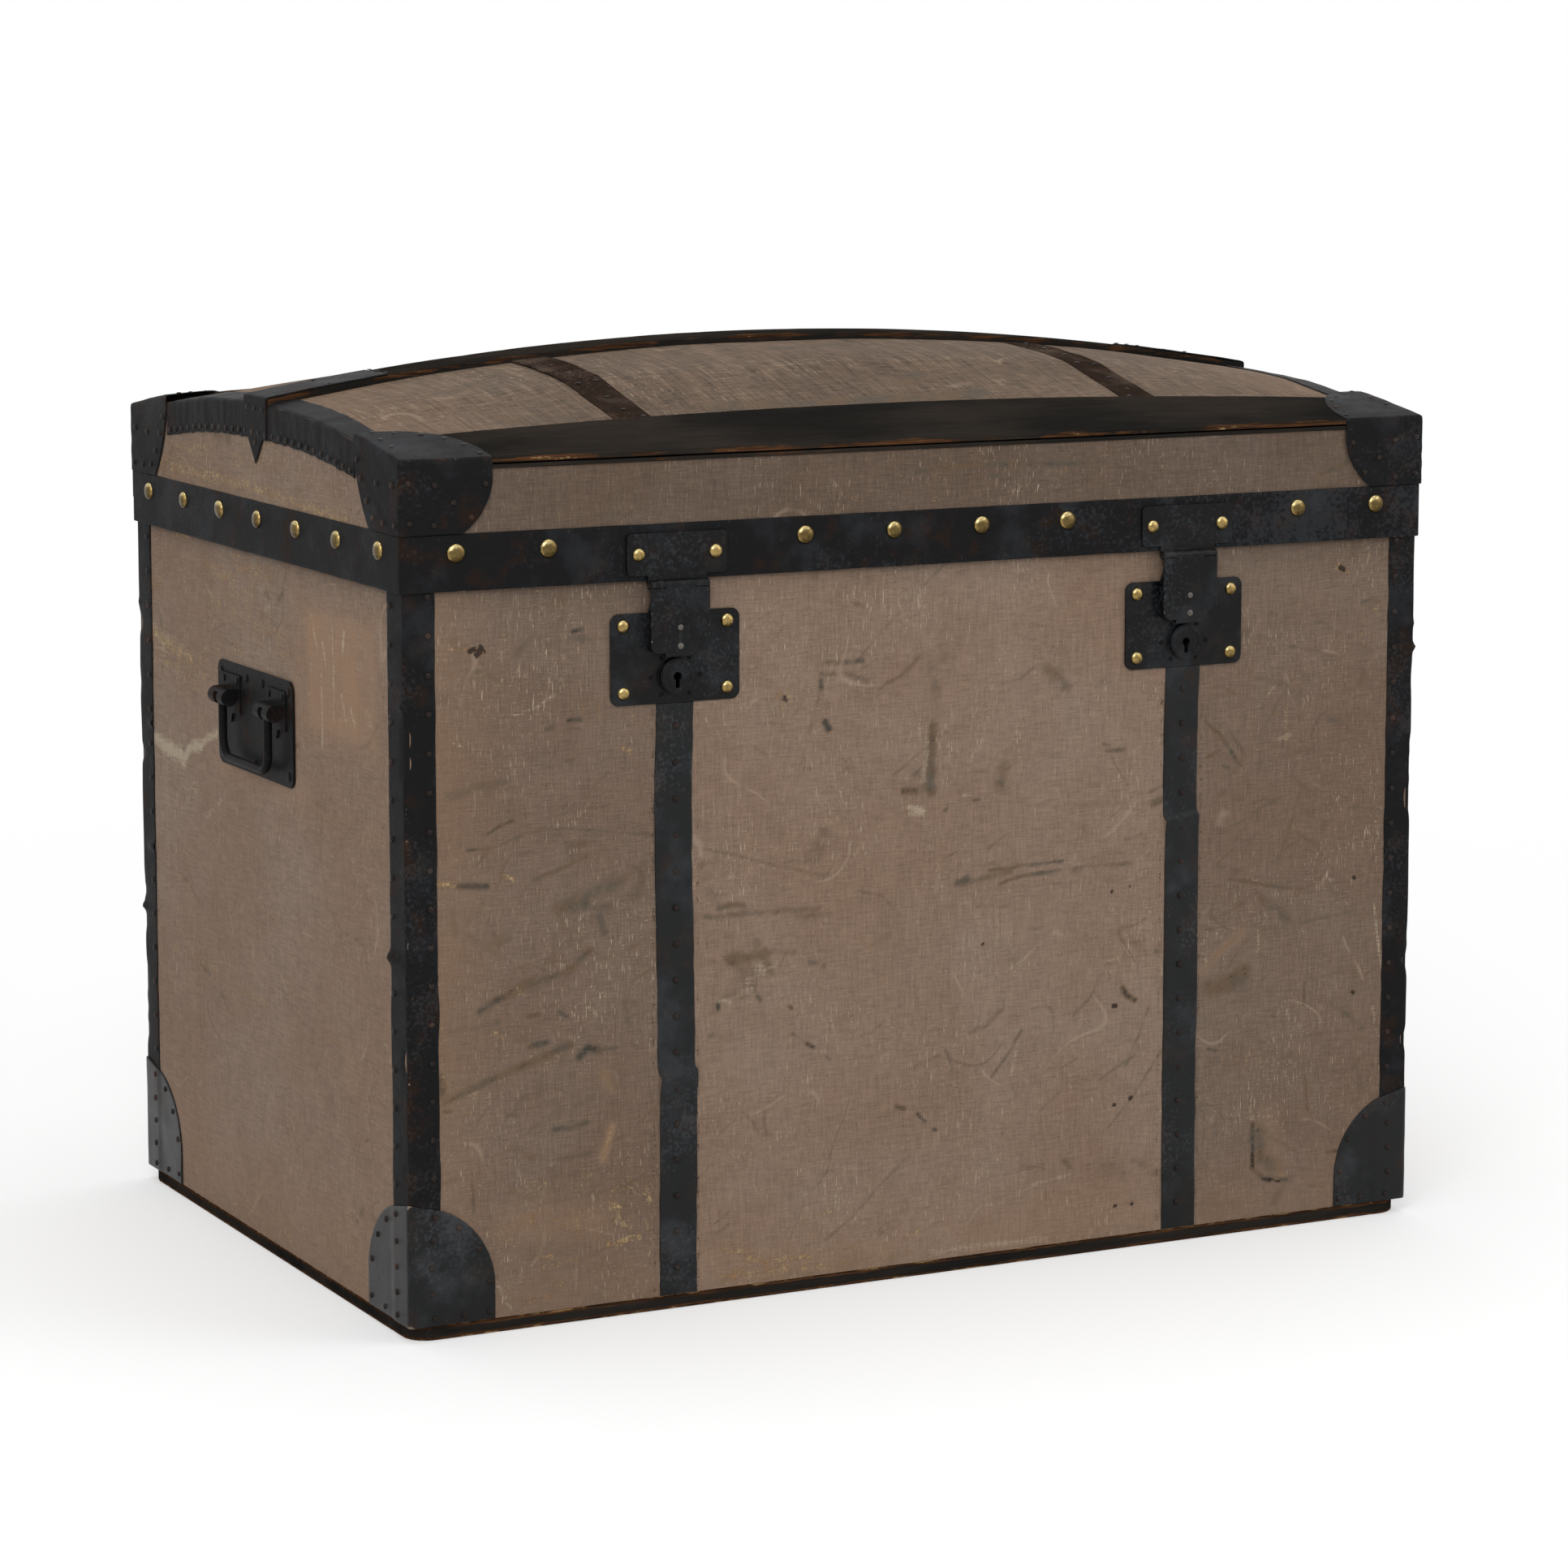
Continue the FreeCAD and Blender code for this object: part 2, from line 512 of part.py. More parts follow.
def lock_plate(name):
    """Plate with round corners, a notch that the staple drops into, and a boss with a keyhole."""
    plate = prism(f"{name}_plate", "xz", rounded(LEFT_CENTRE, LOCK_Z, "lock_wide", "lock_tall",
                                                 "lock_corner"), minus(PLATE_Y), minus(CANVAS_Y))
    boss = rod(f"{name}_boss", "y", (LEFT_CENTRE, minus(total(PLATE_Y, "boss_high")), BOSS_Z),
               total("lock_sheet", "boss_high"), total("boss_radius"))
    notch = block(f"{name}_notch", about(LEFT_CENTRE, half(CHANNEL)), (minus(BAND_Y), minus(CANVAS_Y)),
                  (NOTCH_FOOT, LOCK_HEAD))
    bit = block(f"{name}_bit", about(LEFT_CENTRE, half("keyhole_slot")), (minus(BAND_Y + " * 2"),
                minus(CANVAS_Y)), (less(BOSS_Z, "keyhole_long"), BOSS_Z))
    eye = rod(f"{name}_eye", "y", (LEFT_CENTRE, minus(BAND_Y + " * 2"), BOSS_Z), BAND_Y + " * 2",
              total("keyhole_radius"))
    keyhole = common(f"{name}_keyhole", fuse(f"{name}_key", bit, eye),
                     block(f"{name}_key_room", about(LEFT_CENTRE, "boss_radius"),
                           (minus(total(PLATE_Y, "boss_high")), minus(CANVAS_Y)),
                           (LOCK_FOOT, LOCK_HEAD)))
    return cut(name, fuse(f"{name}_blank", plate, boss), notch, keyhole)


EYE_LOW, EYE_HIGH = total(STAPLE_LOW, "staple_wall"), less(STAPLE_HIGH, "staple_wall")
STAPLE_TIP = less(CANVAS_Y, "staple_reach")
BOLT_Z = f"(({EYE_LOW} + {EYE_HIGH}) / 2)"
BOLT_BACK = f"(({total(STAPLE_TIP, 'staple_wall')} + {less(CANVAS_Y, 'bolt_thick')}) / 2)"
BOLT_FRONT = total(BOLT_BACK, "bolt_thick")
BOLT_END = less(LEFT_CENTRE, half("staple_wide"), "bolt_gap")
BOLT_START = less(BOLT_END, "bolt_long")


def lock_case(name):
    """Steel box behind a lock plate, open to the plate, with a slot above for the staple and a guide in
    which the bolt slides."""
    shell = block(f"{name}_shell", about(LEFT_CENTRE, half("case_wide")),
                  (minus(CANVAS_Y), minus(CASE_FLOOR)), (CASE_FOOT, CASE_HEAD))
    room = block(f"{name}_room", about(LEFT_CENTRE, less(half("case_wide"), "case_wall")),
                 (minus(CANVAS_Y), minus(total(CASE_FLOOR, "case_wall"))),
                 (total(CASE_FOOT, "case_wall"), less(CASE_HEAD, "case_wall")))
    slot = block(f"{name}_slot", about(LEFT_CENTRE, half(CHANNEL)), (minus(CANVAS_Y), minus(CHANNEL_FLOOR)),
                 (less(CASE_HEAD, "case_wall"), CASE_HEAD))
    guide = block(f"{name}_guide", (BOLT_START, BOLT_END), (minus(CANVAS_Y), minus(CASE_FLOOR)),
                  about(BOLT_Z, "bolt_tall"))
    groove = block(f"{name}_groove", (less(BOLT_START, "bolt_gap"), total(BOLT_END, "bolt_gap")),
                   (minus(total(BOLT_FRONT, "pin_play")), minus(less(BOLT_BACK, "pin_play"))),
                   about(BOLT_Z, total(half("bolt_tall"), "pin_play")))
    return cut(name, fuse(f"{name}_blank", cut(f"{name}_box", shell, room, slot), guide), groove)


lock_plate_left = lock_plate("lock_plate_left_solid")
case_left = lock_case("lock_case_left")
bolt_left = block("bolt_left_box", (BOLT_START, BOLT_END), (minus(BOLT_FRONT), minus(BOLT_BACK)),
                  about(BOLT_Z, half("bolt_tall")))
node("lock_plate_left", lock_plate_left)
node("lock_plate_right", mirror("lock_plate_right_solid", lock_plate_left, x=1))
node("lock_cases", group("lock_cases_group", case_left, mirror("lock_case_right", case_left, x=1)))
node("lock_bolt_left", bolt_left)
node("lock_bolt_right", mirror("bolt_right_box", bolt_left, x=1))

# ---------------------------------------------------------------- hasps

HASP_AXIS_Y = less(total(BAND_Y, "knuckle_reach"), "knuckle_radius")
HASP_BACK = total(PLATE_Y, "side_play", "side_play")
HASP_FACE = total(HASP_BACK, "hasp_sheet")
REACH_Y = total(BAND_Y, "knuckle_reach")
PIN_BORE = total("pin_radius", "pin_play")


def hasp(name):
    """Flap that bows out below its knuckle, lies flat on the lock plate and ends in a rolled tab."""
    tab = less(HASP_AXIS_Z, "hasp_long")
    bow = less(HASP_AXIS_Z, "knuckle_radius * 3")
    flat = less(bow, "knuckle_radius * 4")
    inner_bow = less(REACH_Y, "hasp_sheet")
    neck = total(tab, "knuckle_radius")
    curl = total(HASP_BACK, "knuckle_radius")
    bevel, pinch = "hasp_sheet * 0.7071", "hasp_sheet * 0.4142"
    profile = [(minus(REACH_Y), HASP_AXIS_Z), (minus(REACH_Y), bow), (minus(HASP_FACE), flat),
               (minus(HASP_FACE), total(neck, pinch)), (minus(total(curl, bevel)), total(tab, bevel)),
               (minus(curl), tab), (minus(HASP_BACK), neck), (minus(HASP_BACK), flat),
               (minus(inner_bow), bow), (minus(inner_bow), HASP_AXIS_Z)]
    flap = prism(f"{name}_flap", "yz", profile, *about(LEFT_CENTRE, half("hasp_wide")))
    corner = total("lock_corner")
    west, east = about(LEFT_CENTRE, half("hasp_wide"))
    tab_west, tab_east = about(LEFT_CENTRE, half("hasp_centre"))
    head = total(HASP_AXIS_Z, "knuckle_radius")
    face = [(tab_east, tab), (tab_east, neck), (less(east, corner), neck),
            (east, total(neck, corner), corner), (east, head), (west, head),
            (west, total(neck, corner)), (total(west, corner), neck, corner),
            (tab_west, neck), (tab_west, tab)]
    shape = prism(f"{name}_face", "xz", face, minus(total(REACH_Y, "side_play")), minus(STAPLE_TIP))
    trimmed = common(f"{name}_trimmed", flap, shape)
    clear = total("knuckle_radius", "side_play", "side_play")
    gaps = [rod(f"{name}_gap{index}", "x", (start, minus(HASP_AXIS_Y), HASP_AXIS_Z),
                less(half("hasp_wide"), half("hasp_centre")), clear)
            for index, start in enumerate((west, tab_east))]
    ring = rod(f"{name}_ring", "x", (tab_west, minus(HASP_AXIS_Y), HASP_AXIS_Z), total("hasp_centre"),
               total("knuckle_radius"))
    staple = block(f"{name}_staple", about(LEFT_CENTRE, half("staple_wide")),
                   (minus(HASP_BACK), minus(STAPLE_TIP)), (STAPLE_LOW, STAPLE_HIGH))
    eye = block(f"{name}_eye", about(LEFT_CENTRE, "staple_wide"),
                (minus(PLATE_Y), minus(total(STAPLE_TIP, "staple_wall"))), (EYE_LOW, EYE_HIGH))
    bore = rod(f"{name}_bore", "x", (west, minus(HASP_AXIS_Y), HASP_AXIS_Z), total("hasp_wide"), PIN_BORE)
    return cut(name, fuse(f"{name}_blank", cut(f"{name}_open", trimmed, *gaps), ring, staple), eye, bore)


PLATE_FOOT = total(BAND_FOOT, "hasp_plate_lift")
PLATE_HEAD = total(PLATE_FOOT, "hasp_plate_tall")


def hasp_plate(name):
    """Bevelled plate on the band, narrowed at its foot to the two outer knuckles."""
    face_y = total(BAND_Y, "hasp_plate_sheet")
    west, east = about(LEFT_CENTRE, half("hasp_plate_wide"))
    neck_west, neck_east = about(LEFT_CENTRE, half("hasp_wide"))
    corner, neck = total("side_play", "hasp_axis_drop"), HASP_AXIS_Z
    face = [(neck_east, neck), (neck_east, PLATE_FOOT), (less(east, corner), PLATE_FOOT),
            (east, total(PLATE_FOOT, corner), corner), (east, less(PLATE_HEAD, corner)),
            (less(east, corner), PLATE_HEAD, corner), (total(west, corner), PLATE_HEAD),
            (west, less(PLATE_HEAD, corner), corner), (west, total(PLATE_FOOT, corner)),
            (total(west, corner), PLATE_FOOT, corner), (neck_west, PLATE_FOOT), (neck_west, neck)]
    plate = prism(f"{name}_plate", "xz", face, minus(face_y), minus(BAND_Y))
    ring_long = less(half("hasp_wide"), half("hasp_centre"), "side_play")
    starts = (neck_west, total(LEFT_CENTRE, half("hasp_centre"), "side_play"))
    rings = [rod(f"{name}_ring{index}", "x", (start, minus(HASP_AXIS_Y), HASP_AXIS_Z), ring_long,
                 total("knuckle_radius")) for index, start in enumerate(starts)]
    webs = [block(f"{name}_web{index}", (start, total(start, ring_long)),
                  (minus(HASP_AXIS_Y), minus(BAND_Y)),
                  (less(total(HASP_AXIS_Z, "knuckle_radius"), "hasp_plate_sheet"),
                   total(HASP_AXIS_Z, "knuckle_radius"))) for index, start in enumerate(starts)]
    clear = rod(f"{name}_clear", "x", (less(LEFT_CENTRE, half("hasp_centre"), "side_play"),
                minus(HASP_AXIS_Y), HASP_AXIS_Z), total("hasp_centre", "side_play", "side_play"),
                total("knuckle_radius", "side_play"))
    bore = rod(f"{name}_bore", "x", (neck_west, minus(HASP_AXIS_Y), HASP_AXIS_Z), total("hasp_wide"),
               total("pin_radius"))
    blank = fuse(f"{name}_blank", cut(f"{name}_open", plate, clear), *rings, *webs)
    return cut(name, blank, bore)


hasp_left = hasp("hasp_left_solid")
plate_left = hasp_plate("hasp_plate_left")
hasp_pin_left = rod("hasp_pin_left", "x", (less(LEFT_CENTRE, half("hasp_wide")), minus(HASP_AXIS_Y),
                    HASP_AXIS_Z), total("hasp_wide"), total("pin_radius"))
node("hasp_left", hasp_left)
node("hasp_right", mirror("hasp_right_solid", hasp_left, x=1))
node("hasp_plates", group("hasp_plates_group", plate_left, mirror("hasp_plate_right", plate_left, x=1)))
node("hasp_pins", group("hasp_pins_group", hasp_pin_left, mirror("hasp_pin_right", hasp_pin_left, x=1)))

# ---------------------------------------------------------------- end handles

HANDLE_FACE = total(CANVAS_X, "handle_sheet")
LOOP_FACE = total(HANDLE_FACE, "loop_sheet")
BAIL_X = total(LOOP_FACE, "loop_radius")
HANDLE_FOOT = less(SEAM, "handle_drop")
HANDLE_Z = total(HANDLE_FOOT, half("handle_tall"))
LOOP_Z = total(HANDLE_FOOT, "loop_rise")
handle_plate = prism("handle_plate_left", "yz", rounded("handle_offset", HANDLE_Z, "handle_wide", "handle_tall",
                                                        "handle_corner"),
                     minus(HANDLE_FACE), minus(CANVAS_X))
node("handle_plates", group("handle_plates_group", handle_plate,
                            mirror("handle_plate_right", handle_plate, x=1)))


def handle_loop(name, centre):
    """Strap rolled into a barrel for the bail, on a riveted base with a pointed foot."""
    west, east = about(centre, half("loop_base_wide"))
    shoulder = less(LOOP_Z, "loop_base_drop")
    head = total(LOOP_Z, "loop_base_rise")
    waist_west, waist_east = about(centre, half("loop_radius"))
    points = [(waist_west, shoulder), (total(centre), less(shoulder, "loop_base_tip")),
              (waist_east, shoulder), (east, shoulder), (east, head), (west, head), (west, shoulder)]
    base = prism(f"{name}_base", "yz", points, minus(LOOP_FACE), minus(HANDLE_FACE))
    start = less(centre, half("loop_long"))
    barrel = rod(f"{name}_barrel", "y", (minus(BAIL_X), start, LOOP_Z), total("loop_long"),
                 total("loop_radius"))
    web = block(f"{name}_web", (minus(BAIL_X), minus(LOOP_FACE)), about(centre, half("loop_long")),
                (LOOP_Z, total(LOOP_Z, "loop_radius")))
    bore = rod(f"{name}_bore", "y", (minus(BAIL_X), start, LOOP_Z), total("loop_long"),
               total("bail_radius", "bail_play"))
    reach = total("bail_radius", "side_play", "side_play")
    slot = block(f"{name}_slot", (minus(total(BAIL_X, "loop_radius")), minus(less(BAIL_X, reach))),
                 about(centre, reach), (less(LOOP_Z, "loop_radius"), total(LOOP_Z, reach)))
    return cut(name, fuse(f"{name}_blank", base, barrel, web), bore, slot)


BAIL_LEGS = about("handle_offset", half("bail_spacing"))
loops = [handle_loop(f"loop_left_{index}", leg) for index, leg in enumerate(BAIL_LEGS)]
loops += [mirror(f"loop_right_{index}", loop, x=1) for index, loop in enumerate(loops)]
node("handle_loops", group("handle_loops_group", *loops))


def bail(name):
    """U of round rod that hangs from two cross pins."""
    level = LOOP_Z
    foot = less(level, "bail_drop")
    corner = total("bail_corner")
    pieces = []
    for index, leg in enumerate(BAIL_LEGS):
        pieces.append(rod(f"{name}_leg{index}", "z", (minus(BAIL_X), leg, total(foot, corner)),
                          less(level, total(foot, corner)), total("bail_radius")))
        pieces.append(rod(f"{name}_pin{index}", "y", (minus(BAIL_X), total(less(leg, half("loop_long")),
                      "side_play"), level), less("loop_long", "side_play", "side_play"),
                      total("bail_radius")))
        bend = doc.addObject("Part::Torus", f"{name}_bend{index}")
        bend.setExpression("Radius1", corner)
        bend.setExpression("Radius2", total("bail_radius"))
        bend.Angle3 = 90
        quarter = FreeCAD.Rotation(Vector(0, 0, 1), 180 + 90 * index)
        bend.Placement.Rotation = PLANES["yz"][1].multiply(quarter)
        inward = total(leg, corner) if index == 0 else less(leg, corner)
        for axis, place in zip("xyz", (minus(BAIL_X), inward, total(foot, corner))):
            bend.setExpression(f".Placement.Base.{axis}", place)
        pieces.append(bend)
    pieces.append(rod(f"{name}_grip", "y", (minus(BAIL_X), total(BAIL_LEGS[0], corner), foot),
                      less("bail_spacing", corner, corner), total("bail_radius")))
    return fuse(name, *pieces)


bail_left = bail("bail_left_solid")
node("bail_left", bail_left)
node("bail_right", mirror("bail_right_solid", bail_left, x=1))

# ---------------------------------------------------------------- lid boards, canvas and lining

outer_room = block("lid_outer_room", span(WALL_X), span(WALL_Y), (SEAM, ABOVE_ALL))
core_room = block("lid_core_room", span(LIDBOARD_X), span(LIDBOARD_Y), (SEAM, ABOVE_ALL))
node("lid_canvas", cut("lid_canvas_cut", common("lid_canvas_outer", skin, outer_room),
                       common("lid_canvas_inner", canvas_under, core_room)))
lid_seat = common("lid_seat", skin_seat, outer_room)
node("dome_boards", cut("dome_boards_cut", common("dome_boards_outer", board_top, core_room), board_under))
for side, sign in (("front", -1), ("back", 1)):
    wall = block(f"lid_{side}_wall", span(LIDBOARD_X), pair(sign, LID_INSIDE_Y, LIDBOARD_Y),
                 (SEAM, ABOVE_ALL))
    node(f"lid_{side}_board", common(f"lid_{side}_trim", wall, lining_top))
for side, sign in (("left", -1), ("right", 1)):
    wall = block(f"lid_{side}_wall", pair(sign, LID_INSIDE_X, LIDBOARD_X), span(LID_INSIDE_Y),
                 (SEAM, ABOVE_ALL))
    node(f"lid_{side}_end_board", common(f"lid_{side}_trim", wall, lining_top))
lid_room = block("lid_room", span(LID_INSIDE_X), span(LID_INSIDE_Y), (SEAM, ABOVE_ALL))
lid_hollow = block("lid_hollow", span(less(LID_INSIDE_X, "lining_sheet")),
                   span(less(LID_INSIDE_Y, "lining_sheet")), (SEAM, ABOVE_ALL))
node("lid_lining", cut("lid_lining_cut", common("lid_lining_outer", lid_room, lining_top),
                       common("lid_lining_inner", lid_hollow, lining_under)))

# ---------------------------------------------------------------- lid band

BAND_Z = (BAND_FOOT, BAND_HEAD)
node("lid_band_front", block("band_front_box", span(BAND_X), (minus(BAND_Y), minus(WALL_Y)), BAND_Z))
node("lid_band_back", block("band_back_box", span(BAND_X), (WALL_Y, BAND_Y), (SEAM, BAND_Z[1])))
band_ends = [block(f"band_{side}_box", pair(sign, WALL_X, BAND_X), span(WALL_Y), BAND_Z)
             for side, sign in (("left", -1), ("right", 1))]
node("lid_band_ends", group("lid_band_ends_group", *band_ends))

# ---------------------------------------------------------------- end rims, slats, clips and caps

slat_room = block("slat_room", span(WALL_X), (minus(LIP_Y), minus(SLAT_BACK)),
                  (less(EDGE, "slat_drop"), ABOVE_ALL))
slat_front = cut("slat_front_solid", common("slat_front_top", slat_room, slat_top), lid_seat)
slat_under_cap = common("slat_under_cap", slat_room, slat_seat)
node("slat_front", slat_front)
node("slat_back", mirror("slat_back_solid", slat_front, y=1))
def lid_cap(name):
    """Three-faced sheet over the front left corner of the lid, with a rounded outline on each face. It lies
    over the slat, steps down behind it and ends on the canvas."""
    west, south = minus(CLIP_X), minus(CAP_Y)
    foot, head = BAND_HEAD, ABOVE_ALL
    across, along = total(west, "cap_wide"), total(south, "cap_deep")
    front = prism(f"{name}_front", "xz", [(total(west, "cap_foot"), foot),
                  (across, less(EDGE, "cap_belly"), total("cap_round")),
                  (across, head), (west, head), (west, foot)], south, minus(WALL_Y))
    side = prism(f"{name}_side", "yz", [(total(south, "cap_heel"), foot),
                 (along, total(EDGE, half("cap_belly")), "(Dims.cap_round * 2)"),
                 (along, head), (south, head), (south, foot)], west, minus(WALL_X))
    top = prism(f"{name}_top", "xy", [(across, south), (west, along, half(total("cap_wide", "cap_deep"))),
                (west, south)], less(EDGE, "slat_drop"), head)
    step = less("cap_sheet", SLAT_BACK)
    over = common(f"{name}_over", cap_top, block(f"{name}_over_room", (west, across), (south, step),
                                                 (SEAM, head)))
    tail = common(f"{name}_tail", metal_top, block(f"{name}_tail_room", (west, across), (step, along),
                                                   (SEAM, head)))
    within = fuse(f"{name}_within", over, tail)
    return cut(name, common(f"{name}_in", fuse(f"{name}_faces", front, side, top), within),
               lid_seat, slat_under_cap)


cap_front_left = lid_cap("cap_front_left")
cap_front_right = mirror("cap_front_right", cap_front_left, x=1)
cap_back_left = mirror("cap_back_left", cap_front_left, y=1)
node("lid_caps_front", group("lid_caps_front_group", cap_front_left, cap_front_right))
node("lid_caps_back", group("lid_caps_back_group", cap_back_left,
                            mirror("cap_back_right", cap_front_right, y=1)))

rim_leaf_room = block("rim_leaf_room", pair(-1, WALL_X, RIM_X), span(less(CAP_Y, "cap_deep")),
                      (SEAM, ABOVE_ALL))
rim_under = dome("dome_rim_under", minus("rim_drop"))
rim_leaf = cut("rim_leaf", common("rim_leaf_top", rim_leaf_room, metal_top), rim_under)
rim_flange_room = block("rim_flange_room", pair(-1, less(WALL_X, "rim_flange"), WALL_X), span(SLAT_BACK),
                        (SEAM, ABOVE_ALL))
rim_flange = cut("rim_flange_piece", common("rim_flange_top", rim_flange_room, metal_top),
                 skin_seat, cap_front_left, cap_back_left)
rim_left = fuse("rim_left_solid", rim_leaf, rim_flange)
node("end_rim_left", rim_left)
rim_right = mirror("rim_right_solid", rim_left, x=1)
node("end_rim_right", rim_right)

ridge_room = block("ridge_room", span(WALL_X), span(half("ridge_wide")), (SEAM, ABOVE_ALL))
ridge = cut("ridge_solid", common("ridge_top", ridge_room, slat_top), skin_seat, rim_left, rim_right)
node("slat_ridge", ridge)

tongue_room = block("tongue_room", (minus(WALL_X), less("clip_tongue", WALL_X)), span(half("ridge_wide")),
                    (SEAM, ABOVE_ALL))
tongue = cut("clip_tongue_piece", common("clip_tongue_top", tongue_room, cap_top), slat_seat)
CLIP_FOOT = less(total(EDGE, "rise_height_end", "crown_height_end"), "rim_drop")
clip_points = [(half("ridge_wide"), CLIP_FOOT), (half("ridge_wide"), ABOVE_ALL),
               (minus(half("ridge_wide")), ABOVE_ALL), (minus(half("ridge_wide")), CLIP_FOOT),
               (minus(half("strap_wide")), CLIP_FOOT), ("0", less(CLIP_FOOT, "clip_point")),
               (half("strap_wide"), CLIP_FOOT)]
clip_drop = common("clip_drop", prism("clip_leaf", "yz", clip_points, minus(CLIP_X), minus(WALL_X)), cap_top)
clip_left = fuse("clip_left", tongue, cut("clip_drop_piece", clip_drop, rim_left))
node("ridge_clips", group("ridge_clips_group", clip_left, mirror("clip_right", clip_left, x=1)))

strap_rooms = [block(f"top_strap_room_{side}", about(centre, half("strap_wide")),
                     (minus(SLAT_BACK), minus(half("ridge_wide"))), (SEAM, ABOVE_ALL))
               for side, centre in SIDES]
top_straps = [cut(f"top_strap_{index}", common(f"top_strap_top_{index}", room, metal_top), skin_seat)
              for index, room in enumerate(strap_rooms)]
top_straps += [mirror(f"top_strap_back_{index}", strap, y=1) for index, strap in enumerate(top_straps)]
node("top_straps", group("top_straps_group", *top_straps))


# ---------------------------------------------------------------- hinges

HINGE_Y = less(total(BAND_Y, "knuckle_reach"), "knuckle_radius")
OUTER_RING = less(half("hinge_wide"), half("hinge_middle"), "side_play")


def hinge_pieces(name, centre):
    """Lower leaf with two knuckles, upper leaf with one, and the pin, seen from behind."""
    west, east = about(centre, half("hinge_wide"))
    ring = total("knuckle_radius")
    starts = (west, total(centre, half("hinge_middle"), "side_play"))
    lower = [block(f"{name}_leaf", (west, east), (CANVAS_Y, total(CANVAS_Y, "hinge_sheet")),
                   (HINGE_FOOT, less(SEAM, "hinge_sheet")))]
    for index, start in enumerate(starts):
        lower.append(rod(f"{name}_ring{index}", "x", (start, HINGE_Y, SEAM), OUTER_RING, ring))
        lower.append(block(f"{name}_web{index}", (start, total(start, OUTER_RING)), (CANVAS_Y, HINGE_Y),
                           (less(SEAM, ring), less(SEAM, "hinge_sheet"))))
    middle = less(centre, half("hinge_middle")), total(centre, half("hinge_middle"))
    upper = [block(f"{name}_flag", (west, east), (BAND_Y, total(BAND_Y, "hinge_sheet")),
                   (total(SEAM, "hinge_start"), total(SEAM, "hinge_rise"))),
             block(f"{name}_neck", middle, (BAND_Y, total(BAND_Y, "hinge_sheet")),
                   (total(SEAM, half("hinge_sheet")), total(SEAM, "hinge_start"))),
             rod(f"{name}_ring", "x", (middle[0], HINGE_Y, SEAM), total("hinge_middle"), ring)]
    bore = rod(f"{name}_bore", "x", (west, HINGE_Y, SEAM), total("hinge_wide"), PIN_BORE)
    pin = rod(f"{name}_pin", "x", (west, HINGE_Y, SEAM), total("hinge_wide"), total("pin_radius"))
    return (cut(f"{name}_lower", fuse(f"{name}_lower_blank", *lower), pin),
            cut(f"{name}_upper", fuse(f"{name}_upper_blank", *upper), bore), pin)


lower_leaf, upper_leaf, hinge_pin = hinge_pieces("hinge_left", LEFT_CENTRE)
for label, piece in (("hinge_lower_leaves", lower_leaf), ("hinge_upper_leaves", upper_leaf),
                     ("hinge_pins", hinge_pin)):
    node(label, group(f"{label}_group", piece, mirror(f"{label}_right", piece, x=1)))

# ---------------------------------------------------------------- brass studs and nails


FACING = {-1: FreeCAD.Rotation(Vector(0, 0, 1), Vector(-1, 0, 0)),
          1: FreeCAD.Rotation(Vector(0, 0, 1), Vector(1, 0, 0)),
          0: FreeCAD.Rotation(Vector(0, 0, 1), Vector(0, -1, 0))}


def button(name, facing, wall, along, level, kind):
    """Domed head on a wall: the part of a ball that stands out of it, facing the front or an end."""
    radius, high = f"Dims.{kind}_radius", f"Dims.{kind}_high"
    ball = f"(({radius} * {radius} + {high} * {high}) / (2 * {high}))"
    sunk = less(ball, high)
    head = doc.addObject("Part::Sphere", name)
    head.setExpression("Radius", ball)
    head.setExpression("Angle1", f"asin({sunk} / {ball})")
    head.Placement.Rotation = FACING[facing]
    centre = (along, minus(less(wall, sunk))) if facing == 0 else (f"{facing} * {less(wall, sunk)}", along)
    for axis, place in zip("xyz", (*centre, level)):
        head.setExpression(f".Placement.Base.{axis}", place)
    return head


STUD_Z = total(SEAM, "stud_rise")
FRONT_STUDS, END_STUDS = less(BAND_X, "stud_margin_front"), less(BAND_Y, "stud_margin_end")
FRONT_STEPS, LAST_STEP = (0.5, 1.5, 4.28, 5.25), 5.25
studs = []
for sign in (-1, 1):
    for index, step in enumerate(FRONT_STEPS):
        along = f"({sign * step / LAST_STEP} * {FRONT_STUDS})"
        studs.append(button(f"stud_front_{index}_{sign + 1}", 0, BAND_Y, along, STUD_Z, "stud"))
    for step in range(-3, 4):
        along = f"({step} * {END_STUDS} / 3)"
        studs.append(button(f"stud_end_{step + 3}_{sign + 1}", sign, BAND_X, along, STUD_Z, "stud"))
node("brass_studs", group("brass_studs_group", *studs))

HASP_PLATE_Z = half(total(PLATE_FOOT, PLATE_HEAD))
hasp_nails, lock_nails = [], []
for side, centre in SIDES:
    for sign in (-1, 1):
        hasp_nails.append(button(f"hasp_nail_{side}_{sign + 1}", 0, total(BAND_Y, "hasp_plate_sheet"),
                                 total(centre, f"{sign} * {half('hasp_nail_spacing')}"), HASP_PLATE_Z,
                                 "nail"))
        for rise in (-1, 1):
            lock_nails.append(button(f"lock_nail_{side}_{sign + 1}_{rise + 1}", 0, PLATE_Y,
                                     total(centre, f"{sign} * {half('lock_nail_wide')}"),
                                     total(LOCK_Z, f"{rise} * {half('lock_nail_tall')}"), "nail"))
node("hasp_nails", group("hasp_nails_group", *hasp_nails))
node("lock_nails", group("lock_nails_group", *lock_nails))

# ---------------------------------------------------------------- build, check and write

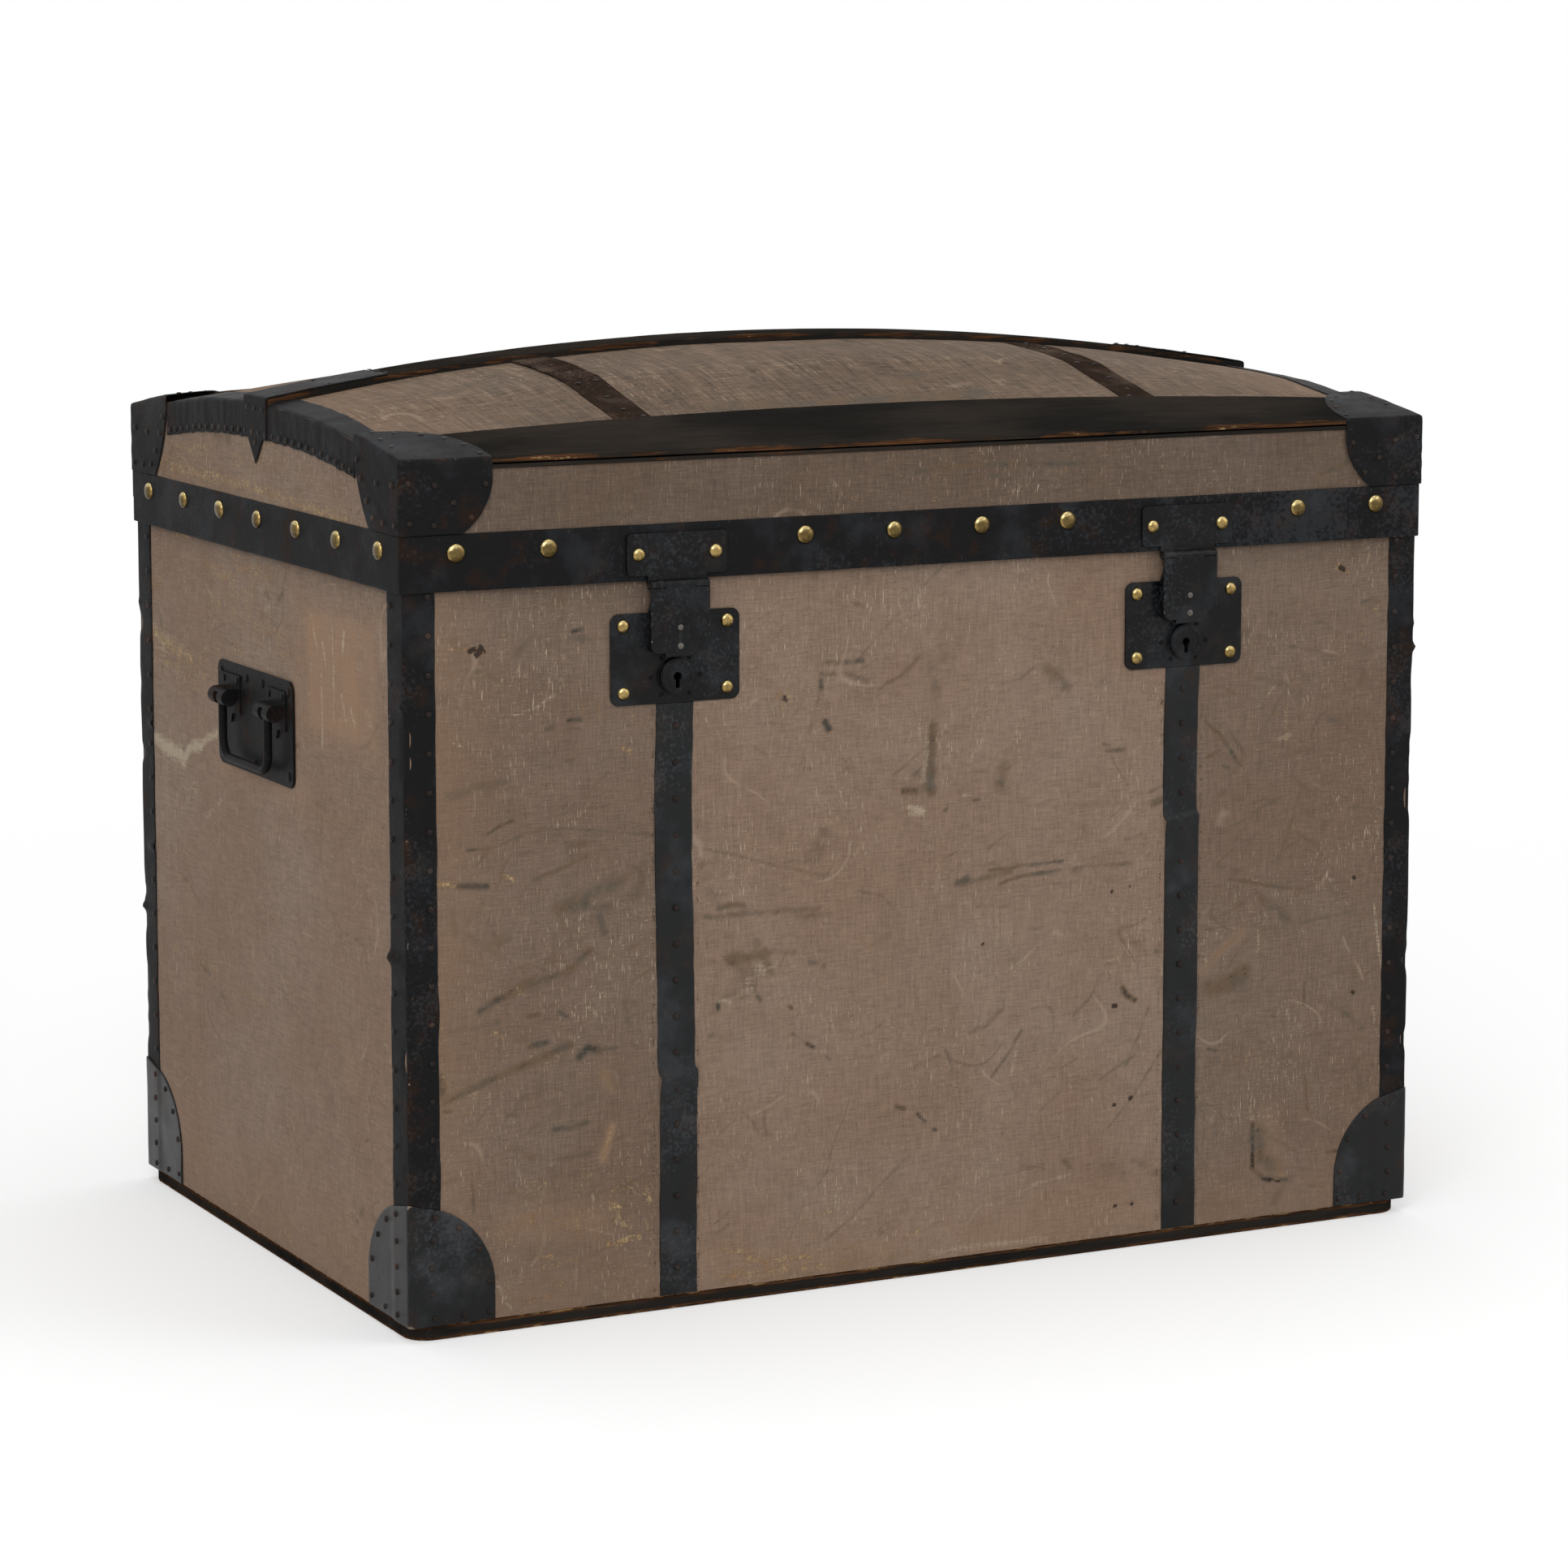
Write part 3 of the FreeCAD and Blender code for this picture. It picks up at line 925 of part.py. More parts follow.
doc.recompute()
for thing in doc.Objects:
    if "Invalid" in thing.State or "Error" in thing.State:
        raise RuntimeError(f"{thing.Name} did not recompute: {thing.State}")
os.makedirs("parts", exist_ok=True)
for name, thing in nodes.items():
    if thing.Shape.isNull() or not thing.Shape.isValid() or not thing.Shape.Solids:
        raise RuntimeError(f"{name} has no valid solid")
for name, thing in nodes.items():
    thing.Shape.exportStep(f"parts/{name}.step")
print(len(nodes), "nodes written")
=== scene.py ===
"""Looks of a dome top trunk: worn canvas, lacquered sheet metal, painted slats, brass heads and the studio.

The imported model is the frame. Every new piece is a surface worked out on a grid, in millimetres, and
becomes metres where its mesh is made. +Z is up and the front with the locks faces -Y.
"""
import json
import math

import bmesh
import bpy
import numpy as np
from bpy.props import FloatProperty, FloatVectorProperty, PointerProperty
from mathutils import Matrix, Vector

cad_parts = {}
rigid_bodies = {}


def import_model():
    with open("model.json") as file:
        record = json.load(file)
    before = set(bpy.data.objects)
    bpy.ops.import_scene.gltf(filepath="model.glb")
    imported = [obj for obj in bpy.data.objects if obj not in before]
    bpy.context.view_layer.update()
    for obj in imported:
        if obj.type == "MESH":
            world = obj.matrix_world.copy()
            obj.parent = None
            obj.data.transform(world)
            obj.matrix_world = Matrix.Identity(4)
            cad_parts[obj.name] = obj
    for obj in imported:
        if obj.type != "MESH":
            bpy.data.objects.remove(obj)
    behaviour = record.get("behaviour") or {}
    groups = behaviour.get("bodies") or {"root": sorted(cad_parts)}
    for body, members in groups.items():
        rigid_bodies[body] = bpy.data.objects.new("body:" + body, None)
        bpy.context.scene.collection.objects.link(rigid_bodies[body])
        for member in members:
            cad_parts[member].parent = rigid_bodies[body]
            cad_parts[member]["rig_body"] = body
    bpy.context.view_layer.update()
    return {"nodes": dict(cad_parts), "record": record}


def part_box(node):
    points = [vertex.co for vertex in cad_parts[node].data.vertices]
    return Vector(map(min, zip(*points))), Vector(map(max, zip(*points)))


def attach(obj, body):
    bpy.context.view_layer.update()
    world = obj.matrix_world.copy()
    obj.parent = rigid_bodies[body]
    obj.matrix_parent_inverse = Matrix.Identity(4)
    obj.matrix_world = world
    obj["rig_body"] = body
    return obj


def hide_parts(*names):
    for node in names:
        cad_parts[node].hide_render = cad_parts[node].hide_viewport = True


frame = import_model()

bl_info = {
    "name": "Dome top trunk",
    "version": (1, 0, 0),
    "blender": (4, 5, 0),
    "location": "3D View > Sidebar > Trunk",
    "description": "Builds the looks of a dome top trunk around its packed model",
    "category": "Add Mesh",
}

MM = 0.001


def box_mm(node):
    """Lowest and highest corner of a node of the frame, in millimetres."""
    return [np.array(corner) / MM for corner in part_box(node)]


# ---------------------------------------------------------------- places taken from the frame

FLOOR_Z = box_mm("body_canvas")[0][2]
SEAM_Z = box_mm("body_canvas")[1][2]
COVER_X, COVER_Y = box_mm("body_canvas")[1][:2]
WALL_X, WALL_Y = box_mm("lid_canvas")[1][:2]
BAND_LOW, BAND_HIGH = box_mm("lid_band_front")
STRIP_LOW, STRIP_HIGH = box_mm("corner_strip_front_left")
GUARD_LOW, GUARD_HIGH = box_mm("corner_guard_front_left")
SLAT_LOW, SLAT_HIGH = box_mm("slat_front")
CAP_LOW = box_mm("lid_caps_front")[0]
STRAP_LOW, STRAP_HIGH = box_mm("front_strap_left")
LOCK_X = (STRAP_LOW[0] + STRAP_HIGH[0]) / 2
STRAP_HALF = (STRAP_HIGH[0] - STRAP_LOW[0]) / 2
BACK_STRAP_TOP = box_mm("back_straps")[1][2]
SLAT_BACK = -SLAT_HIGH[1]
RIDGE_HALF = box_mm("slat_ridge")[1][1]

# Thicknesses of the layers, outwards, and the dome's sizes, as the part has them.
CLOTH = 0.8
CORNER_TRIM = 4.0
STRIP_SHEET = 1.0
GUARD_SHEET = 1.4
BAND_SHEET = BAND_HIGH[1] - BAND_LOW[1]
SLAT_THICK = 6.0
CAP_SHEET = 1.0
SEAT = 0.05
EDGE_Z = 671.0
RISE_END, RISE_MIDDLE = 10.0, 24.0
CROWN_END, CROWN_MIDDLE = 17.0, 42.5
KNEE, KNEE_SHARE = 134.0, 0.72
DOME_REACH = -CAP_LOW[0] + CAP_SHEET - 0.4
STUD_BOX, NAIL_BOX = box_mm("brass_studs"), box_mm("lock_nails")
STUD_RADIUS, STUD_TALL = 7.4, 3.4
STUD_Z = (STUD_BOX[0][2] + STUD_BOX[1][2]) / 2
STUD_END = 258.0
STUDS_FRONT = (39.25, 117.75, 336.0, 412.1)
NAIL_RADIUS, NAIL_TALL = 5.4, 3.0
HASP_PLATE, LOCK_SHEET = 2.2, 1.5
HASP_PLATE_Z = sum(box_mm("hasp_nails")[end][2] for end in (0, 1)) / 2
HASP_NAIL_X, LOCK_NAIL_X, LOCK_NAIL_RISE = 32.75, 44.25, 26.0
LOCK_MIDDLE_Z = (NAIL_BOX[0][2] + NAIL_BOX[1][2]) / 2
CAP_FRONT, CAP_DEEP, CAP_FOOT, CAP_HEEL = 76.0, 91.0, 51.0, 61.0
CLIP_X = box_mm("ridge_clips")[0][0]
RIM_DROP, RIM_TOP, RIM_PITCH = 27.5, 26.0, 15.0
ON_SLAT = SLAT_THICK + SEAT + CAP_SHEET

# The hasps' flaps, the rings round the keyholes and the room behind the lock plates.
BOW_Z, TAB_Z, TAB_OUT = 562.0, 520.9, 2.6
FLAP_FACE = BAND_LOW[1] - 7.6
HEM_X, HEM_RADIUS = 24.4, 0.6
LOCK_FACE = -COVER_Y - LOCK_SHEET
RING_Z, RING_RADIUS, RING_HALF = box_mm("lock_plate_left")[1][2] - 50.2, 12.3, 0.9
NOTCH_LOW, NOTCH_HIGH, NOTCH_DEEP = 483.0, 545.0, 28.0

# Corners and ends with the signs that mirror a shape made for the front left, the locks with their places,
# the ways out of the front and of the left end, and a plane too far off to fold anything.
CORNERS = {"front_left": (1, 1), "front_right": (-1, 1), "back_left": (1, -1), "back_right": (-1, -1)}
SIDES = (("left", 1), ("right", -1))
ENDS = ("left", "right")
LOCKS = (("left", LOCK_X), ("right", -LOCK_X))
ON_FRONT, ON_LEFT = (0, -1, 0), (-1, 0, 0)
FAR = 1e9


# ---------------------------------------------------------------- shapes

def dome(x, y, lift=0.0):
    """Height of the dome's skin, raised by lift. Across the trunk it is straight from the edge to the back of
    the slat and on to the shoulder, then a circle's arc from shoulder to shoulder. Rise and crown fall off
    with the square of the distance from mid length."""
    middle = 1 - (x / DOME_REACH) ** 2
    rise = RISE_END + (RISE_MIDDLE - RISE_END) * middle
    crown = CROWN_END + (CROWN_MIDDLE - CROWN_END) * middle
    fall = crown * (1 - KNEE_SHARE)
    radius = (KNEE ** 2 + fall ** 2) / (2 * fall)
    aside = np.abs(y)
    edge = EDGE_Z + rise * (WALL_Y - aside) / (WALL_Y - SLAT_BACK)
    slope = EDGE_Z + rise + (crown - fall) * (SLAT_BACK - aside) / (SLAT_BACK - KNEE)
    arc = EDGE_Z + rise + crown - radius + np.sqrt(np.maximum(radius ** 2 - y ** 2, 0.0))
    return lift + np.where(aside > SLAT_BACK, edge, np.where(aside > KNEE, slope, arc))


def stations(low, high, step, edge=0.0):
    """Places from low to high about a step apart, closer together within edge of both ends, so that a rounded
    edge has points to turn on."""
    count = max(2, int(round((high - low - 2 * edge) / step)) + 1)
    inner = np.linspace(low + edge, high - edge, count)
    if edge == 0:
        return inner
    close = edge * np.array([0.0, 0.12, 0.45])
    return np.concatenate([low + close, inner, (high - close)[::-1]])


def off_ends(run):
    """Distance of places from the nearer end of their row. In a grid the rows run along its first axis."""
    return np.minimum(run - run[0], run[-1] - run)


def from_edge(first, second):
    """Distance of every grid point from the nearest border, for the two rows of places that span the grid."""
    return np.minimum(off_ends(first)[:, None], off_ends(second)[None, :])


def bullnose(distance, round_off):
    """Share of the full thickness near a border: a quarter circle that starts at three tenths."""
    inside = 1 - np.clip(distance / round_off, 0, 1)
    return 0.3 + 0.7 * np.sqrt(1 - inside ** 2)


def waves(u, v, seed, length, height):
    """Gentle uneven surface: a sum of eight sine waves of random direction, phase and a length near the one
    given, scaled to the height."""
    chance = np.random.default_rng(seed)
    result = np.zeros(np.broadcast(u, v).shape)
    for turn, phase, share in zip(chance.uniform(0, math.pi, 8), chance.uniform(0, 2 * math.pi, 8),
                                  chance.uniform(0.6, 1.7, 8)):
        count = 2 * math.pi / (length * share)
        result = result + np.sin(count * (u * math.cos(turn) + v * math.sin(turn)) + phase)
    return result * height / 4


def bell(u, v, centre, reach):
    """A smooth bump of height one: e to the minus squared distance, in units of the two reaches."""
    return np.exp(-((u - centre[0]) / reach[0]) ** 2 - ((v - centre[1]) / reach[1]) ** 2)


def stroke(u, v, path, width):
    """A bell-shaped mark along a bent line: e to the minus squared distance from its nearest point."""
    nearest = np.full(np.broadcast(u, v).shape, np.inf)
    for (u0, v0), (u1, v1) in zip(path, path[1:]):
        run_u, run_v = u1 - u0, v1 - v0
        share = np.clip(((u - u0) * run_u + (v - v0) * run_v) / (run_u ** 2 + run_v ** 2 + 1e-9), 0, 1)
        nearest = np.minimum(nearest, (u - u0 - share * run_u) ** 2 + (v - v0 - share * run_v) ** 2)
    return np.exp(-nearest / width ** 2)


def grid_faces(numbers):
    """Four-cornered faces between neighbours in a grid of point numbers."""
    corners = [numbers[:-1, :-1], numbers[1:, :-1], numbers[1:, 1:], numbers[:-1, 1:]]
    return np.stack(corners, -1).reshape(-1, 4)


def shell(outer, inner, ring=False):
    """A thin closed sheet: the outer grid, the inner grid turned round and a strip of faces along each open
    border. A ring joins its last row to its first."""
    rows, cols = outer.shape[:2]
    top = np.arange(rows * cols).reshape(rows, cols)
    if ring:
        top = np.vstack([top, top[:1]])
        borders = [top[:, 0], top[::-1, -1]]
    else:
        borders = [np.concatenate([top[:-1, 0], top[-1, :-1], top[:0:-1, -1], top[0, :0:-1], top[:1, 0]])]
    faces = [grid_faces(top), grid_faces(top + rows * cols)[:, ::-1]]
    faces += [grid_faces(np.stack([border, border + rows * cols])) for border in borders]
    return np.concatenate([outer.reshape(-1, 3), inner.reshape(-1, 3)]), np.concatenate(faces), []


def backed(outer, inner):
    """A closed sheet with a flat back: the outer grid, a strip of faces round its border and one face behind.
    Gives the shape and, for every point, the number of the outer point that its marks come from."""
    rows, cols = outer.shape[:2]
    top = np.arange(rows * cols).reshape(rows, cols)
    border = np.concatenate([top[:-1, 0], top[-1, :-1], top[:0:-1, -1], top[0, :0:-1]])
    behind = rows * cols + np.arange(len(border))
    strip = np.stack([np.append(border, border[0]), np.append(behind, behind[0])])
    points = np.concatenate([outer.reshape(-1, 3), inner.reshape(-1, 3)[border]])
    faces = np.concatenate([grid_faces(top), grid_faces(strip)])
    return (points, faces, [behind[::-1].tolist()]), np.concatenate([top.ravel(), border])


def bar(sections):
    """A closed bar: the grid's rows are its sections, each a closed outline, with a face at both ends."""
    rows, cols = sections.shape[:2]
    numbers = np.arange(rows * cols).reshape(rows, cols)
    faces = grid_faces(np.hstack([numbers, numbers[:, :1]]))
    ends = [numbers[0].tolist(), numbers[-1, ::-1].tolist()]
    return sections.reshape(-1, 3), faces, ends


HEAD_SHAPES = {
    "tack": ([1.0, 0.96, 0.72, 0.34], [-0.12, 0.35, 0.8, 1.0]),
    "stud": ([1.0, 1.0, 0.93, 0.8, 0.52, 0.2], [-0.06, 0.16, 0.42, 0.7, 0.93, 1.0]),
    "rivet": ([1.0, 0.97, 0.85, 0.45], [-0.1, 0.5, 0.85, 1.0]),
}


def heads(places, normals, radius, high, shape, sides=10, seed=0):
    """Nail heads: one profile turned round, copied to each place with its top along the normal, each turned
    and tipped a little by chance. Base and top are closed by a flat face. One normal may serve all places."""
    chance = np.random.default_rng(seed)
    places = np.array(places, float)
    normals = np.broadcast_to(np.asarray(normals, float), places.shape)
    tipped = normals + chance.normal(0, 0.035, normals.shape)
    tipped /= np.linalg.norm(tipped, axis=1)[:, None]
    first = np.cross(tipped, np.where(np.abs(tipped[:, 2:]) > 0.8, [[1.0, 0, 0]], [[0, 0, 1.0]]))
    first /= np.linalg.norm(first, axis=1)[:, None]
    second = np.cross(tipped, first)
    reach, rise = (np.array(part) for part in HEAD_SHAPES[shape])
    turn = np.linspace(0, 2 * math.pi, sides, endpoint=False)
    angles = turn[None, :] + chance.uniform(0, 1, (len(places), 1))
    size = radius * chance.normal(1, 0.03, len(places))
    ring = (np.cos(angles)[:, :, None] * first[:, None] + np.sin(angles)[:, :, None] * second[:, None])
    points = (places[:, None, None] + reach[None, :, None, None] * size[:, None, None, None] * ring[:, None]
              + (rise * high)[None, :, None, None] * tipped[:, None, None])
    count, levels = len(places), len(reach)
    numbers = np.arange(count * levels * sides).reshape(count, levels, sides)
    closed = np.concatenate([numbers, numbers[:, :, :1]], 2)
    faces = np.concatenate([grid_faces(one) for one in closed])
    caps = [one[0, ::-1].tolist() for one in numbers] + [one[-1].tolist() for one in numbers]
    crown = np.tile(np.repeat(1 - reach, sides), count)
    # below grows towards a head's lower side, for painting shade there and a highlight on the upper side.
    below = (reach[None, :, None] * (0.3 * ring[:, None, :, 0] - 0.8 * ring[:, None, :, 2])).ravel()
    return (points.reshape(-1, 3), faces, caps), crown, below


def join(*shapes):
    """Several shapes as one."""
    points, faces, caps, start = [], [], [], 0
    for some_points, some_faces, some_caps in shapes:
        points.append(some_points)
        faces.append(some_faces + start)
        caps += [[number + start for number in cap] for cap in some_caps]
        start += len(some_points)
    return np.concatenate(points), np.concatenate(faces), caps


def turned_out(points, faces, caps):
    """Faces and caps, turned round where together they hold a volume below nothing."""
    corners = [points[faces[:, index]] for index in range(4)]
    volume = np.sum(corners[0] * np.cross(corners[1], corners[2]))
    volume += np.sum(corners[0] * np.cross(corners[2], corners[3]))
    for cap in caps:
        ring = points[cap]
        volume += np.sum(ring[0] * np.cross(ring[1:-1], ring[2:]).sum(0))
    if volume >= 0:
        return faces.tolist() + caps
    return faces[:, ::-1].tolist() + [cap[::-1] for cap in caps]


def mirrored(shape, x=1, y=1):
    """A shape seen in a middle plane, for x or y of minus one."""
    points, faces, caps = shape
    return points * [x, y, 1], faces, caps


def put_in(name, data):
    """An object for a mesh, a lamp or a camera, put into the scene."""
    made = bpy.data.objects.new(name, data)
    bpy.context.scene.collection.objects.link(made)
    return made


def add_piece(name, shape, body, slot, stands_for=(), marks=None, crease=38.0):
    """Put a shape into the scene as a piece that rides a body and wears the finish of a slot."""
    points, faces, caps = shape
    mesh = bpy.data.meshes.new(name)
    mesh.from_pydata((points * MM).tolist(), [], turned_out(points, faces, caps))
    for mark, values in (marks or {}).items():
        layer = mesh.attributes.new(mark, "FLOAT", "POINT")
        layer.data.foreach_set("value", np.ascontiguousarray(values, dtype=np.float32).ravel())
    mesh.shade_smooth()
    mesh.set_sharp_from_angle(angle=math.radians(crease))
    return dress(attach(put_in(name, mesh), body), slot, stands_for)


def dress(piece, slot, stands_for=()):
    """Give a piece its finish and hide the nodes it stands for."""
    piece.data.materials.clear()
    piece.data.materials.append(finish(slot))
    if stands_for:
        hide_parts(*stands_for)
    return piece


def softened(node, width, finish_name=None, reshape=None):
    """A copy of a node with its points merged, reshaped where a function is given, its flat faces made whole
    and its edges bevelled."""
    source = frame["nodes"][node]
    work = bmesh.new()
    work.from_mesh(source.data)
    bmesh.ops.remove_doubles(work, verts=work.verts, dist=2e-6)
    if reshape:
        for corner in work.verts:
            corner.co.y = reshape(corner.co.y / MM, corner.co.z / MM) * MM
    bmesh.ops.dissolve_limit(work, angle_limit=math.radians(0.6), verts=work.verts, edges=work.edges)
    mesh = bpy.data.meshes.new(f"{node}_eased")
    work.to_mesh(mesh)
    work.free()
    if "custom_normal" in mesh.attributes:
        mesh.attributes.remove(mesh.attributes["custom_normal"])
    mesh.shade_smooth()
    mesh.set_sharp_from_angle(angle=math.radians(38))
    piece = put_in(f"{node}_eased", mesh)
    bevel = piece.modifiers.new("eased edges", "BEVEL")
    bevel.width = width * MM
    bevel.segments = 2
    bevel.limit_method = "ANGLE"
    bevel.angle_limit = math.radians(32)
    bevel.harden_normals = False
    slot = next(part["material_slot"] for part in frame["record"]["subparts"] if part["node"] == node)
    return dress(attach(piece, source["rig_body"]), finish_name or slot, (node,))


# ---------------------------------------------------------------- finishes

def shade_of(colour):
    """Linear colour of a six-digit colour code. A colour given by its numbers stays as it is."""
    if not isinstance(colour, str):
        return colour
    parts = np.array([int(colour[at:at + 2], 16) / 255 for at in (0, 2, 4)])
    linear = np.where(parts <= 0.04045, parts / 12.92, ((parts + 0.055) / 1.055) ** 2.4)
    return (*(float(part) for part in linear), 1.0)


class Wire:
    """A socket that gives a value. Sums of wires and numbers add Math nodes."""

    def __init__(self, paint, socket):
        self.paint, self.socket = paint, socket

    def maths(self, operation, first, second=0.0):
        return self.paint.add("ShaderNodeMath", {"operation": operation}, {0: first, 1: second})

    def __add__(self, other):
        return self.maths("ADD", self, other)

    def __sub__(self, other):
        return self.maths("SUBTRACT", self, other)

    def __rsub__(self, other):
        return self.maths("SUBTRACT", other, self)

    def __mul__(self, other):
        return self.maths("MULTIPLY", self, other)

    def __truediv__(self, other):
        return self.maths("DIVIDE", self, other)

    def __rtruediv__(self, other):
        return self.maths("DIVIDE", other, self)

    def larger(self, other):
        return self.maths("MAXIMUM", self, other)

    __radd__, __rmul__ = __add__, __mul__

    def ramp(self, low, high):
        """Zero up to low, one from high on, with a smooth turn between."""
        return self.paint.add("ShaderNodeMapRange", {"interpolation_type": "SMOOTHSTEP"},
                              {0: self, 1: low, 2: high, 3: 0.0, 4: 1.0})


class Paint:
    """The node tree of one finish. Its colour is laid on coat by coat."""

    def __init__(self, name):
        self.material = bpy.data.materials.new(name)
        self.material.use_nodes = True
        self.tree = self.material.node_tree
        self.shader = self.tree.nodes["Principled BSDF"]
        self.place = self.add("ShaderNodeTexCoord", {}, {}, "Object")
        self.colour = None

    def add(self, kind, settings, inputs, output=0):
        """A node with its settings and the values or links of its inputs. Gives an output as a wire."""
        node = self.tree.nodes.new(kind)
        for name, setting in settings.items():
            setattr(node, name, setting)
        for name, given in inputs.items():
            if isinstance(given, Wire):
                self.tree.links.new(given.socket, node.inputs[name])
            else:
                node.inputs[name].default_value = given
        return Wire(self, node.outputs[output])

    def noise(self, size, detail=3.0, stretch=(1, 1, 1), shift=0.0, roughness=0.55, lean=0.0):
        """Cloudy values from nothing to one, with lumps of about a size in millimetres, longer along an axis
        whose stretch is larger. A lean tips the long axes up on upright walls."""
        scale = [1 / (size * MM * share) for share in stretch]
        turned = self.place
        if lean:
            turned = self.add("ShaderNodeVectorRotate", {"rotation_type": "EULER_XYZ"},
                              {"Vector": self.place, "Rotation": (lean, lean, 0.0)})
        spot = self.add("ShaderNodeMapping", {}, {"Vector": turned, "Scale": scale,
                                                  "Location": (shift, shift * 0.7, shift * 1.3)})
        return self.add("ShaderNodeTexNoise", {}, {"Vector": spot, "Scale": 1.0, "Detail": detail,
                                                   "Roughness": roughness}, "Fac")

    def mark(self, name):
        return self.add("ShaderNodeAttribute", {"attribute_name": name}, {}, "Fac")

    def blend(self, share, first, second):
        """Colour that goes from the first to the second as the share rises."""
        return self.add("ShaderNodeMix", {"data_type": "RGBA"},
                        {0: share, 6: shade_of(first), 7: shade_of(second)}, 2)

    def ground(self, share, first, second):
        """Start with a colour blended from two."""
        self.colour = self.blend(share, first, second)

    def coat(self, share, colour):
        """Lay a colour over what is there, thicker as the share rises."""
        self.colour = self.blend(share, self.colour, colour)

    def dim(self, colour, share):
        """A colour with its brightness multiplied."""
        colour = colour if isinstance(colour, Wire) else shade_of(colour)[:3]
        return self.add("ShaderNodeVectorMath", {"operation": "SCALE"}, {0: colour, 3: share})

    def shade(self, share):
        """Multiply the brightness of what is there."""
        self.colour = self.dim(self.colour, share)

    def finish(self, roughness, height=None, depth=0.0, metallic=0.0, **fixed):
        """Join everything to the shader: colour, roughness, bump of a depth in millimetres, fixed numbers."""
        for name, given in (("Base Color", self.colour), ("Roughness", roughness), ("Metallic", metallic)):
            if isinstance(given, Wire):
                self.tree.links.new(given.socket, self.shader.inputs[name])
            else:
                self.shader.inputs[name].default_value = given
        for name, given in fixed.items():
            self.shader.inputs[name.replace("_", " ")].default_value = given
        if height is not None:
            bump = self.add("ShaderNodeBump", {}, {"Height": height, "Distance": depth * MM, "Strength": 1.0})
            self.tree.links.new(bump.socket, self.shader.inputs["Normal"])
        return self.material


